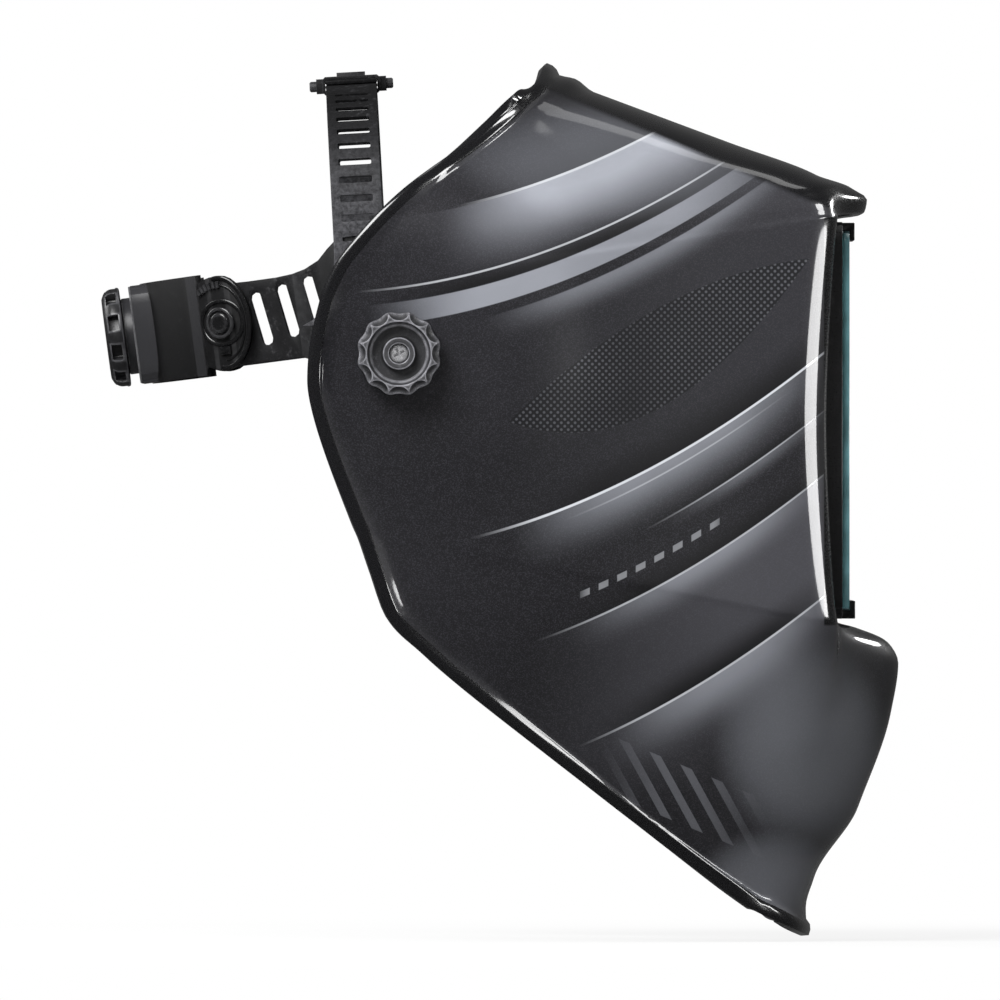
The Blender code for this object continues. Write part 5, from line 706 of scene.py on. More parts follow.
def discard(piece: bpy.types.Object) -> None:
    """Remove a helper and its mesh."""
    mesh = piece.data
    bpy.data.objects.remove(piece)
    bpy.data.meshes.remove(mesh)


def keep(piece: bpy.types.Object) -> None:
    """Make what the modifiers show the piece's own mesh."""
    bpy.context.view_layer.update()
    graph = bpy.context.evaluated_depsgraph_get()
    old = piece.data
    mesh = bpy.data.meshes.new_from_object(piece.evaluated_get(graph))
    piece.modifiers.clear()
    piece.data = mesh
    bpy.data.meshes.remove(old)


def dress(mesh: bpy.types.Mesh, finishes: Sequence[Finish], sharp: float) -> None:
    """Give a mesh its finishes and smooth shading, crisp where it turns by more than sharp degrees."""
    for finish in finishes:
        mesh.materials.append(finish.material)
    mesh.shade_smooth()
    mesh.set_sharp_from_angle(angle=math.radians(sharp))


def copied(piece: bpy.types.Object, weld: float = 0.0) -> bmesh.types.BMesh:
    """A piece's shape as a bmesh, with points nearer than weld joined."""
    shape = bmesh.new()
    shape.from_mesh(piece.data)
    if weld:
        bmesh.ops.remove_doubles(shape, verts=shape.verts, dist=weld)
    return shape


def piece_from(name: str, shape: bmesh.types.BMesh, finishes: Sequence[Finish],
               sharp: float = 34.0) -> bpy.types.Object:
    """Turn a bmesh into a smooth-shaded piece with a mark on its outer edges.

    Args:
        name: Name of the piece.
        shape: The mesh, which is freed.
        finishes: Finish of each material index.
        sharp: Edges that turn by more degrees stay crisp.

    Returns:
        The piece, linked to the scene.
    """
    bmesh.ops.recalc_face_normals(shape, faces=shape.faces)
    mesh = bpy.data.meshes.new(name)
    shape.to_mesh(mesh)
    mark_edges(shape, mesh)
    shape.free()
    dress(mesh, finishes, sharp)
    return linked(name, mesh)


def mark_edges(shape: bmesh.types.BMesh, mesh: bpy.types.Mesh) -> None:
    """Store on each face how tightly it bends out (edge) or in (hollow), for lighter edges (wear and painted
    highlight) and painted shade in hollows.
    """
    shape.faces.index_update()
    share = {name: np.zeros(len(shape.faces), np.float32) for name in MARKS}
    pairs = []
    for edge in shape.edges:
        if len(edge.link_faces) != 2:
            continue
        first, second = edge.link_faces
        apart = (first.calc_center_median() - second.calc_center_median()).length
        bend = (edge.calc_face_angle(0.0) / max(apart, 1e-6) - LEAST_BEND) / BEND_RANGE
        found = share["edge" if edge.is_convex else "hollow"]
        for face in (first, second):
            found[face.index] = max(found[face.index], min(max(bend, 0.0), 1.0))
        if apart < MARK_SPREAD:
            kept = 1.0 - apart / MARK_SPREAD
            pairs += [(first.index, second.index, kept), (second.index, first.index, kept)]
    for _ in range(2):
        old = {name: values.copy() for name, values in share.items()}
        for here, there, kept in pairs:
            for name, values in share.items():
                values[here] = max(values[here], kept * old[name][there])
    for name, values in share.items():
        store = mesh.attributes.new(name, "FLOAT", "FACE")
        store.data.foreach_set("value", values)


def settle(piece: bpy.types.Object, body: str, nodes: Sequence[str] = ()) -> None:
    """Let a piece ride on a body and stand for its nodes, which are hidden."""
    if nodes:
        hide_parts(*nodes)
    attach(piece, body)
    LOG.info("%s rides on %s, %d faces", piece.name, body, len(piece.data.polygons))


def cut(body: bpy.types.Object, tools: Sequence[bmesh.types.BMesh], operation: str = "DIFFERENCE") -> None:
    """Cut or join plain bodies into a piece and keep the result as its mesh."""
    helpers = []
    for number, shape in enumerate(tools):
        bmesh.ops.recalc_face_normals(shape, faces=shape.faces)
        mesh = bpy.data.meshes.new(f"{body.name}_tool_{number}")
        shape.to_mesh(mesh)
        shape.free()
        tool = linked(mesh.name, mesh)
        helpers.append(tool)
        step = body.modifiers.new(tool.name, "BOOLEAN")
        step.operation = operation
        step.solver = "EXACT"
        step.object = tool
    keep(body)
    for tool in helpers:
        discard(tool)


def eased(body: bpy.types.Object, width: float, finishes: Sequence[Finish], angle: float = 28.0,
          sharp: float = 34.0) -> bpy.types.Object:
    """Round the crisp edges of a piece and mark them.

    Args:
        body: The piece, whose mesh is replaced.
        width: Width of the rounding.
        finishes: Finish of each material index.
        angle: Edges that turn by more degrees are rounded.
        sharp: Edges that turn by more degrees stay crisp in the shading.

    Returns:
        The same piece.
    """
    step = body.modifiers.new("eased", "BEVEL")
    step.width = width
    step.segments = 2
    step.limit_method = "ANGLE"
    step.angle_limit = math.radians(angle)
    keep(body)
    mesh = body.data
    shape = copied(body)
    for name in [a.name for a in mesh.attributes if a.name in MARKS]:
        mesh.attributes.remove(mesh.attributes[name])
    mark_edges(shape, mesh)
    shape.free()
    mesh.materials.clear()
    dress(mesh, finishes, sharp)
    return body


def rounded(points: Outline, radius: float, count: int) -> Outline:
    """Round the corners of a closed line.

    Args:
        points: Corners of the line.
        radius: Most that a rounding takes of each side.
        count: Points of each rounding.

    Returns:
        The new line.
    """
    made: Outline = []
    for i, point in enumerate(points):
        here = Vector(point)
        before = Vector(points[i - 1]) - here
        after = Vector(points[(i + 1) % len(points)]) - here
        reach = min(radius, 0.45 * before.length, 0.45 * after.length)
        start = here + before.normalized() * reach
        end = here + after.normalized() * reach
        for k in range(count):
            t = k / (count - 1)
            spot = start * (1 - t) ** 2 + here * 2 * t * (1 - t) + end * t * t
            made.append((spot.x, spot.y))
    return made


def lathe(profile: Outline, steps: int,
          wave: Callable[[float, float, float], float] | None = None) -> bmesh.types.BMesh:
    """Turn a profile about +Z.

    Args:
        profile: (radius, height) points; one that starts and ends on the axis is closed by poles.
        steps: Facets round the axis.
        wave: Radius at an angle, from the angle, the plain radius and the height.

    Returns:
        A closed body.
    """
    shape = bmesh.new()
    rings = []
    for radius, height in profile:
        if radius < 1e-9:
            rings.append([shape.verts.new((0.0, 0.0, height))])
            continue
        ring = []
        for i in range(steps):
            turn = 2 * math.pi * i / steps
            r = radius if wave is None else wave(turn, radius, height)
            ring.append(shape.verts.new((r * math.cos(turn), r * math.sin(turn), height)))
        rings.append(ring)
    pairs = list(zip(rings[:-1], rings[1:]))
    if len(rings[0]) > 1:
        pairs.append((rings[-1], rings[0]))
    for low, high in pairs:
        for i in range(steps):
            j = (i + 1) % steps
            corners = [low[i % len(low)], low[j % len(low)], high[j % len(high)], high[i % len(high)]]
            unique = list(dict.fromkeys(corners))
            if len(unique) > 2:
                shape.faces.new(unique)
    return shape


def prism(outline: Outline, start: float, end: float, axis: str) -> bmesh.types.BMesh:
    """A straight body over an outline along X or Z."""
    shape = bmesh.new()
    low, high = ([shape.verts.new((h, a, b) if axis == "X" else (a, b, h)) for a, b in outline]
                 for h in (start, end))
    shape.faces.new(low)
    shape.faces.new(high[::-1])
    for i in range(len(outline)):
        j = (i + 1) % len(outline)
        shape.faces.new((low[i], high[i], high[j], low[j]))
    return shape


def loft(shape: bmesh.types.BMesh, loops: list, closed: bool = False) -> None:
    """Join sections into a body, as a ring or with two ends."""
    count = len(loops[0])
    pairs = list(zip(loops[:-1], loops[1:]))
    if closed:
        pairs.append((loops[-1], loops[0]))
    for first, second in pairs:
        for i in range(count):
            j = (i + 1) % count
            shape.faces.new((first[i], first[j], second[j], second[i]))
    if not closed:
        shape.faces.new(loops[0])
        shape.faces.new(loops[-1][::-1])


def offset(across: float, up: float, *points: tuple[float, float]) -> Outline:
    """Points given in millimetres from a place."""
    return [(across + a * MM, up + b * MM) for a, b in points]


def arc(centre: tuple[float, float], radius: float, start: float, end: float, count: int) -> Outline:
    """Points along a circular arc given in degrees, ends included."""
    turns = [math.radians(start + (end - start) * i / (count - 1)) for i in range(count)]
    return [(centre[0] + radius * math.cos(t), centre[1] + radius * math.sin(t)) for t in turns]


def rounded_rectangle(half_width: float, bottom: float, top: float, radius: float) -> Outline:
    """An outline about a = 0 with round corners."""
    outline: Outline = []
    corners = ((1, top, 0.0), (-1, top, 90.0), (-1, bottom, 180.0), (1, bottom, 270.0))
    for sign, level, turn in corners:
        inward = -1 if level == top else 1
        centre = (sign * (half_width - radius), level + inward * radius)
        outline += arc(centre, radius, turn, turn + 90.0, 9)
    return outline


def moved(shape: bmesh.types.BMesh, matrix: Matrix) -> bmesh.types.BMesh:
    """Apply a placement to a bmesh."""
    bmesh.ops.transform(shape, matrix=matrix, verts=shape.verts)
    return shape


def outward(side: Side, distance: float) -> Matrix:
    """Placement on the tilt axis with +Z facing out on one side."""
    turn = Matrix.Rotation(-side.value * math.pi / 2, 4, "X")
    return Matrix.Translation((0.0, side.value * distance, 0.0)) @ turn


def backward(x: float, z: float) -> Matrix:
    """Placement in the middle plane with +Z facing the back."""
    return Matrix.Translation((x, 0.0, z)) @ Matrix.Rotation(-math.pi / 2, 4, "Y")


@dataclass(frozen=True)
class Station:
    """One cross-section of the mask, in millimetres, from the middle of its front round to the side rim.

    front and rim are (x, z) places, corner the half width where front and side would meet, reach the run
    of the rounded corner, crown the fall of the front towards it. feature is an (x, z) push of the middle
    that fades out between the half widths full and fade.
    """

    front: tuple[float, float]
    rim: tuple[float, float]
    corner: float
    reach: float
    crown: float
    half_width: float
    feature: tuple[float, float]
    full: float
    fade: float

    def row(self) -> tuple[float, ...]:
        """All values in one row."""
        return (*self.front, *self.rim, self.corner, self.reach, self.crown, self.half_width,
                *self.feature, self.full, self.fade)


@dataclass
class MaskShell:
    """The lofted mask with its black rim bead, window and pivot holes."""

    wall: float = 2.4 * MM
    pivot_y: float = 112.0 * MM
    flat_radius: float = 38.0 * MM
    blend_radius: float = 76.0 * MM
    bulge: float = 0.03
    bead_width: float = 6.0 * MM
    bead_height: float = 1.3 * MM
    window_half: float = 70.3 * MM
    window_low: float = -100.3 * MM
    window_high: float = 50.3 * MM
    window_corner: float = 8.3 * MM
    hole_radius: float = 6.4 * MM
    row_step: float = 2.2 * MM
    front_columns: int = 14
    corner_columns: int = 12
    side_columns: int = 32
    bead_columns: int = 8
    chin_rows: int = 24
    chin_passes: int = 8
    end_rows: int = 5
    sharp: float = 50.0
    window_depth: tuple[float, float] = (152.0 * MM, 170.0 * MM)
    pin_reach: float = 150.0 * MM

    def stations(self) -> list[Station]:
        """All cross-sections from the crown to the chin."""
        return [
            Station((55.6, 106.621), (45.0, 96.6), 60, 22, 4, 79, (0, 3.879), 38, 66),
            Station((60.6, 104.753), (40.6, 92.8), 60, 22, 4.5, 82, (0, 1.552), 38, 66),
            Station((66.6, 102.512), (35.0, 87.9), 61, 22, 5, 86, (0, 2.405), 38, 66),
            Station((73.6, 99.898), (28.4, 82.4), 63, 23, 5, 90, (0, 0), 38, 66),
            Station((125.0, 80.7), (-2.2, 58.8), 70, 24, 5, 106, (0, 0), 38, 66),
            Station((158.0, 68.375), (-18.0, 42.0), 76, 20, 4, 111, (0, 0), 38, 66),
            Station((166.0, 63.0), (-24.0, 34.0), 79, 18, 3, 112, (5.9, 0), 42, 74),
            Station((166.0, 58.8), (-26.8, 28.5), 81, 13, 1.5, 112, (11.328, 0), 42, 74),
            Station((165.7, 53.9), (-28.4, 25.0), 82, 11, 0.5, 112, (10.384, 0), 42, 74),
            Station((165.5, 51.5), (-29.6, 21.5), 83, 11, 0, 112.5, (0, 0), 42, 74),
            Station((161.3, -24.75), (-34.6, -10.0), 84, 12, 0, 113.5, (0, 0), 42, 74),
            Station((165.5, -101.0), (-17.4, -64.5), 82, 10, 0, 113, (0, 0), 24, 62),
            Station((166.1, -103.6), (-15.4, -69.0), 81, 12, 0.5, 112.8, (7.194, 0), 20, 60),
            Station((167.0, -109.2), (-10.6, -83.0), 79, 16, 1.5, 112, (18.312, 0), 20, 60),
            Station((167.5, -117.0), (-4.8, -99.0), 76, 20, 3, 110, (21.8, 0), 20, 60),
            Station((167.5, -136.0), (10.0, -114.1), 69, 24, 5, 105.5, (18.966, 0), 20, 60),
            Station((166.3, -171.5), (59.2, -154.0), 55, 24, 6, 88, (7.848, 0), 20, 52),
            Station((157.2, -199.0), (105.0, -189.6), 42, 20, 6, 64, (0, 0), 20, 44),
            Station((154.2, -210.0), (120.2, -201.0), 38, 18, 6, 55, (0, 0), 20, 42),
            Station((154.8, -220.5), (132.6, -209.8), 36, 16, 6, 48, (0, 0), 20, 40),
        ]

    def slopes(self, knots: np.ndarray, values: np.ndarray) -> np.ndarray:
        """Slopes of a smooth curve that never overshoots its values.

        Args:
            knots: Place of each station along the middle line.
            values: One row for each station.

        Returns:
            One row of slopes for each station.
        """
        steps = np.diff(knots)
        rise = np.diff(values, axis=0) / steps[:, None]
        made = np.zeros_like(values)
        made[0], made[-1] = rise[0], rise[-1]
        for i in range(1, len(values) - 1):
            before, after = rise[i - 1], rise[i]
            same = before * after > 0
            first = 2 * steps[i] + steps[i - 1]
            second = steps[i] + 2 * steps[i - 1]
            under = first / np.where(same, before, 1.0) + second / np.where(same, after, 1.0)
            made[i] = np.where(same, (first + second) / under, 0.0)
        return made

    def rows(self) -> np.ndarray:
        """Station values at close steps along the middle line."""
        values = np.array([s.row() for s in self.stations()]) * MM
        middle = values[:, 0:2] + values[:, 8:10]
        knots = np.concatenate(([0.0], np.cumsum(np.linalg.norm(np.diff(middle, axis=0), axis=1))))
        slopes = self.slopes(knots, values)
        rows = []
        for i in range(len(values) - 1):
            span = knots[i + 1] - knots[i]
            count = max(3, round(span / self.row_step))
            for k in range(count):
                t = k / count
                rows.append((2 * t**3 - 3 * t**2 + 1) * values[i] + (t**3 - 2 * t**2 + t) * span * slopes[i]
                            + (3 * t**2 - 2 * t**3) * values[i + 1] + (t**3 - t**2) * span * slopes[i + 1])
        return np.array([*rows, values[-1]])

    def half_outline(self, row: np.ndarray) -> list[Vector]:
        """Half a section as (half width, depth) points."""
        depth = float(np.hypot(row[2] - row[0], row[3] - row[1]))
        corner, reach, crown, half_width = (float(v) for v in row[4:8])
        knee = Vector((corner, crown * (1 - (reach / corner) ** 2)))
        edge = Vector((half_width, depth))
        along = (edge - knee).normalized()
        out = Vector((along.y, -along.x))
        start = corner - reach
        begin = Vector((start, crown * (start / corner) ** 2))
        finish = knee + along * min(reach, 0.4 * (edge - knee).length)
        points = []
        for i in range(self.front_columns):
            wide = start * i / self.front_columns
            points.append(Vector((wide, crown * (wide / corner) ** 2)))
        for i in range(self.corner_columns):
            t = i / (self.corner_columns - 1)
            points.append(begin * (1 - t) ** 2 + knee * 2 * t * (1 - t) + finish * t**2)
        side = (edge - finish).length
        bead = min(self.bead_width, 0.4 * side)
        stops = [(side - bead) * i / self.side_columns for i in range(1, self.side_columns + 1)]
        stops += [side - bead + bead * i / self.bead_columns for i in range(1, self.bead_columns + 1)]
        for stop in stops:
            swell = self.bulge * side * math.sin(math.pi * stop / side) ** 2
            points.append(finish + along * stop + out * swell)
        return points

    def placed(self, row: np.ndarray) -> np.ndarray:
        """Half a section in space, from the middle plane to the rim on the left."""
        front, rim = Vector(row[0:2]), Vector(row[2:4])
        into = (rim - front).normalized()
        made = []
        for point in self.half_outline(row):
            share = smooth((row[11] - point.x) / (row[11] - row[10]))
            x = front.x + into.x * point.y + float(row[8]) * share
            z = front.y + into.y * point.y + float(row[9]) * share
            y = point.x
            if y > self.pivot_y / 2:
                near = (self.blend_radius - math.hypot(x, z)) / (self.blend_radius - self.flat_radius)
                y += (self.pivot_y - y) * smooth(near)
            made.append((x, y, z))
        return np.array(made)

    def rim_distance(self, grid: np.ndarray) -> np.ndarray:
        """How far each point of the grid is from the rim."""
        line = np.concatenate((grid[:, 0], grid[-1, 1:], grid[-2::-1, -1], grid[0, -2::-1]))
        steps = np.linspace(0.0, 1.0, 8, endpoint=False)[None, :, None]
        dense = (line[:-1, None] * (1 - steps) + line[1:, None] * steps).reshape(-1, 3)
        tree = KDTree(len(dense))
        for number, spot in enumerate(dense):
            tree.insert(spot, number)
        tree.balance()
        return np.array([[tree.find(spot)[2] for spot in row] for row in grid])

    def skin(self) -> tuple[np.ndarray, np.ndarray, np.ndarray]:
        """The outer surface as a grid of points, with normals and distance from the rim."""
        halves = [self.placed(row) for row in self.rows()]
        flip = np.array((1.0, -1.0, 1.0))
        grid = np.array([np.concatenate((half[:0:-1] * flip, half)) for half in halves])
        count = len(grid)
        after = np.minimum(np.arange(count) + 2, count - 1)
        before = np.maximum(np.arange(count) - 2, 0)
        down = grid[after] - grid[before]
        across = np.gradient(grid, axis=1)
        normals = np.cross(down, across)
        normals /= np.linalg.norm(normals, axis=2, keepdims=True)
        ends = self.side_columns + self.bead_columns
        for late in range(1, self.end_rows):
            for part in (slice(None, ends), slice(-ends, None)):
                normals[-late, part] = normals[-self.end_rows, part]
        chin = self.chin_rows
        for _ in range(self.chin_passes):
            normals[-chin:-1] = normals[-chin - 1:-2] + normals[-chin:-1] + normals[1 - chin:]
            normals /= np.linalg.norm(normals, axis=2, keepdims=True)
        return grid, normals, self.rim_distance(grid)

    def surface(self) -> bmesh.types.BMesh:
        """Outer and inner skin joined along the rim, with rim and lining as materials 1 and 2."""
        grid, normals, distance = self.skin()
        near = np.clip(1.0 - distance / self.bead_width, 0.0, 1.0)
        fall = np.maximum((near - 0.70) / 0.30, 0.0)
        bead = self.bead_height * (smooth(near / 0.25) - 0.6 * fall * fall)
        outer = grid + normals * bead[:, :, None]
        inner = grid - normals * self.wall
        shape = bmesh.new()
        mark = shape.verts.layers.float.new("rim")
        skins = [[[shape.verts.new(p) for p in line] for line in skin] for skin in (outer, inner)]
        rows, columns = grid.shape[:2]
        for i in range(rows):
            for j in range(columns):
                skins[0][i][j][mark] = skins[1][i][j][mark] = distance[i, j] / MM
        for number, skin in enumerate(skins):
            for i in range(rows - 1):
                for j in range(columns - 1):
                    face = shape.faces.new((skin[i][j], skin[i + 1][j], skin[i + 1][j + 1], skin[i][j + 1]))
                    face.material_index = 2 if number else 0
        out, into = skins
        rims = [((i, j), (i + 1, j)) for i in range(rows - 1) for j in (0, columns - 1)]
        rims += [((i, j), (i, j + 1)) for j in range(columns - 1) for i in (0, rows - 1)]
        for (i, j), (k, m) in rims:
            shape.faces.new((out[i][j], out[k][m], into[k][m], into[i][j])).material_index = 1
        return shape

    def build(self) -> None:
        """Loft the mask, cut its window and pivot holes and dress it."""
        finishes = (Finish.SHELL, Finish.RIM, Finish.LINING)
        shell = piece_from("mask_shell", self.surface(), finishes, self.sharp)
        outline = rounded_rectangle(self.window_half, self.window_low, self.window_high, self.window_corner)
        window = prism(outline, *self.window_depth, "X")
        reach = self.pin_reach
        pin = lathe([(0.0, -reach), (self.hole_radius, -reach), (self.hole_radius, reach), (0.0, reach)], 48)
        cut(shell, (window, moved(pin, Matrix.Rotation(math.pi / 2, 4, "X"))))
        shell.data.set_sharp_from_angle(angle=math.radians(self.sharp))
        settle(shell, "mask", ("shell",))


@dataclass
class NodeCopies:
    """Finer copies of solids whose shape is already right, with eased edges."""

    nodes: dict[str, bpy.types.Object]

    def copy(self, node: str, finish: Finish, ease: float = 0.25 * MM) -> bpy.types.Object:
        """Copy a node, join its facets and round its edges.

        Args:
            node: Name of the node.
            finish: Its finish.
            ease: Width of the rounding.

        Returns:
            The new piece, which doesn't ride on anything yet.
        """
        shape = copied(self.nodes[node], WELD)
        bmesh.ops.dissolve_limit(shape, angle_limit=math.radians(0.6), verts=shape.verts, edges=shape.edges)
        made = piece_from(f"{node}_dressed", shape, (finish,))
        return eased(made, ease, (finish,))


@dataclass(frozen=True)
class HeadOval:
    """The oval of the headband, tipped up at the brow; travel runs back from the tilt discs."""

    centre_x: float = 8.5 * MM
    half_length: float = 97.5 * MM
    half_width: float = 80.0 * MM
    brow_fullness: float = 2.4
    nape_fullness: float = 3.0
    level: float = 20.5 * MM
    tilt: float = math.radians(7.5)
    disc_angle: float = math.radians(128.0)

    @property
    def frame(self) -> Matrix:
        """Placement of the headband."""
        return Matrix.Rotation(-self.tilt, 4, "Y")

    def spot(self, angle: float, offset: float) -> tuple[float, float]:
        """A point of the oval pushed out by offset; angle 0 is the brow, 90 degrees the left."""
        cos, sin = math.cos(angle), math.sin(angle)
        power = self.brow_fullness if cos >= 0 else self.nape_fullness
        u = math.copysign(abs(cos) ** (2 / power), cos)
        v = math.copysign(abs(sin) ** (2 / power), sin)
        nx = math.copysign(abs(u) ** (power - 1), u) / self.half_length
        ny = math.copysign(abs(v) ** (power - 1), v) / self.half_width
        scale = offset / math.hypot(nx, ny)
        return self.centre_x + self.half_length * u + nx * scale, self.half_width * v + ny * scale

    def wrapped(self, shape: bmesh.types.BMesh, side: Side) -> bmesh.types.BMesh:
        """Lay a flat shape on the band: its x is travel, y height on the band and z the offset."""
        turns = np.radians(np.linspace(60.0, 180.0, 1200))
        spots = np.array([self.spot(float(t), 0.0) for t in turns])
        way = np.concatenate(([0.0], np.cumsum(np.linalg.norm(np.diff(spots, axis=0), axis=1))))
        way -= np.interp(self.disc_angle, turns, way)
        for vert in shape.verts:
            angle = float(np.interp(vert.co.x, way, turns))
            x, y = self.spot(angle, vert.co.z)
            vert.co = self.frame @ Vector((x, side.value * y, self.level + vert.co.y))
        return shape

    def rivet(self, side: Side) -> Matrix:
        """Placement of a tilt rivet, with +Z out of the band."""
        x, y = self.spot(self.disc_angle, 0.0)
        far_x, far_y = self.spot(self.disc_angle, 1 * MM)
        out = Vector((far_x - x, side.value * (far_y - y), 0.0))
        turn = out.to_track_quat("Z", "Y").to_matrix().to_4x4()
        return self.frame @ Matrix.Translation((x, side.value * y, self.level)) @ turn


class NodeTool:
    """A geometry node tree with named inputs, applied to a piece and then taken off again."""

    name = "node_tool"
    inputs: dict[str, str] = {}

    def __init__(self) -> None:
        """Build the tree once."""
        self.tree = bpy.data.node_groups.new(self.name, "GeometryNodeTree")
        face = self.tree.interface
        face.new_socket("Geometry", in_out="INPUT", socket_type="NodeSocketGeometry")
        self.keys = {}
        for label, kind in {**self.inputs, "Material": "NodeSocketMaterial"}.items():
            self.keys[label] = face.new_socket(label, in_out="INPUT", socket_type=kind).identifier
        face.new_socket("Geometry", in_out="OUTPUT", socket_type="NodeSocketGeometry")
        self.given = self.tree.nodes.new("NodeGroupInput")
        out = self.tree.nodes.new("NodeGroupOutput")
        real = self.node("RealizeInstances", {"Geometry": self.wire()})
        dressed = self.node("SetMaterial", {"Geometry": real.outputs[0],
                                            "Material": self.given.outputs["Material"]})
        self.tree.links.new(dressed.outputs[0], out.inputs[0])

    def node(self, kind: str, values: dict | None = None, **settings: object) -> bpy.types.Node:
        """Add a node, its settings first and then its numbers or links."""
        made = self.tree.nodes.new(kind if kind.startswith("Shader") else f"GeometryNode{kind}")
        for label, value in settings.items():
            setattr(made, label, value)
        for label, value in (values or {}).items():
            if isinstance(value, bpy.types.NodeSocket):
                self.tree.links.new(value, made.inputs[label])
            else:
                made.inputs[label].default_value = value
        return made

    def wire(self) -> bpy.types.NodeSocket:
        """Make the tree's own nodes and return its geometry."""
        return self.given.outputs["Geometry"]

    def apply(self, piece: bpy.types.Object, finish: Finish, **values: float) -> None:
        """Run the tree on a piece and keep the mesh that it makes.

        Args:
            piece: Piece whose mesh goes in and is replaced.
            finish: Finish of the result.
            values: The named inputs, with underscores for spaces.
        """
        step = piece.modifiers.new(self.name, "NODES")
        step.node_group = self.tree
        step[self.keys["Material"]] = finish.material
        for label, value in values.items():
            step[self.keys[label.replace("_", " ").capitalize()]] = value
        keep(piece)


class RadialRepeat(NodeTool):
    """Copies of a shape at even steps round Z."""

    name = "radial_repeat"
    inputs = {"Count": "NodeSocketInt", "First angle": "NodeSocketFloat", "Step": "NodeSocketFloat"}

    def wire(self) -> bpy.types.NodeSocket:
        """Points on the axis, each turned a step further."""
        line = self.node("MeshLine", {"Count": self.given.outputs["Count"], "Offset": (0.0, 0.0, 0.0)})
        number = self.node("InputIndex")
        way = self.node("ShaderNodeMath", {0: number.outputs[0], 1: self.given.outputs["Step"],
                                           2: self.given.outputs["First angle"]}, operation="MULTIPLY_ADD")
        turn = self.node("ShaderNodeCombineXYZ", {"Z": way.outputs[0]})
        ring = self.node("InstanceOnPoints", {"Points": line.outputs[0], "Rotation": turn.outputs[0],
                                              "Instance": self.given.outputs["Geometry"]})
        return ring.outputs[0]


class StitchRow(NodeTool):
    """Short rounded stitches along a line of edges."""

    name = "stitch_row"
    inputs = {"Pitch": "NodeSocketFloat", "Thread": "NodeSocketFloat"}

    def wire(self) -> bpy.types.NodeSocket:
        """One stretched bead at each step of the line."""
        line = self.node("MeshToCurve", {"Mesh": self.given.outputs["Geometry"]})
        marks = self.node("CurveToPoints", {"Curve": line.outputs[0], "Length": self.given.outputs["Pitch"]},
                          mode="LENGTH")
        bead = self.node("MeshUVSphere", {"Segments": 8, "Rings": 6, "Radius": 1.0})
        long = self.node("ShaderNodeMath", {0: self.given.outputs["Pitch"], 1: 0.40}, operation="MULTIPLY")
        size = self.node("ShaderNodeCombineXYZ", {"X": self.given.outputs["Thread"],
                                                  "Y": self.given.outputs["Thread"], "Z": long.outputs[0]})
        stitch = self.node("InstanceOnPoints", {
            "Points": marks.outputs["Points"], "Instance": bead.outputs["Mesh"],
            "Rotation": marks.outputs["Rotation"], "Scale": size.outputs[0]})
        return stitch.outputs[0]


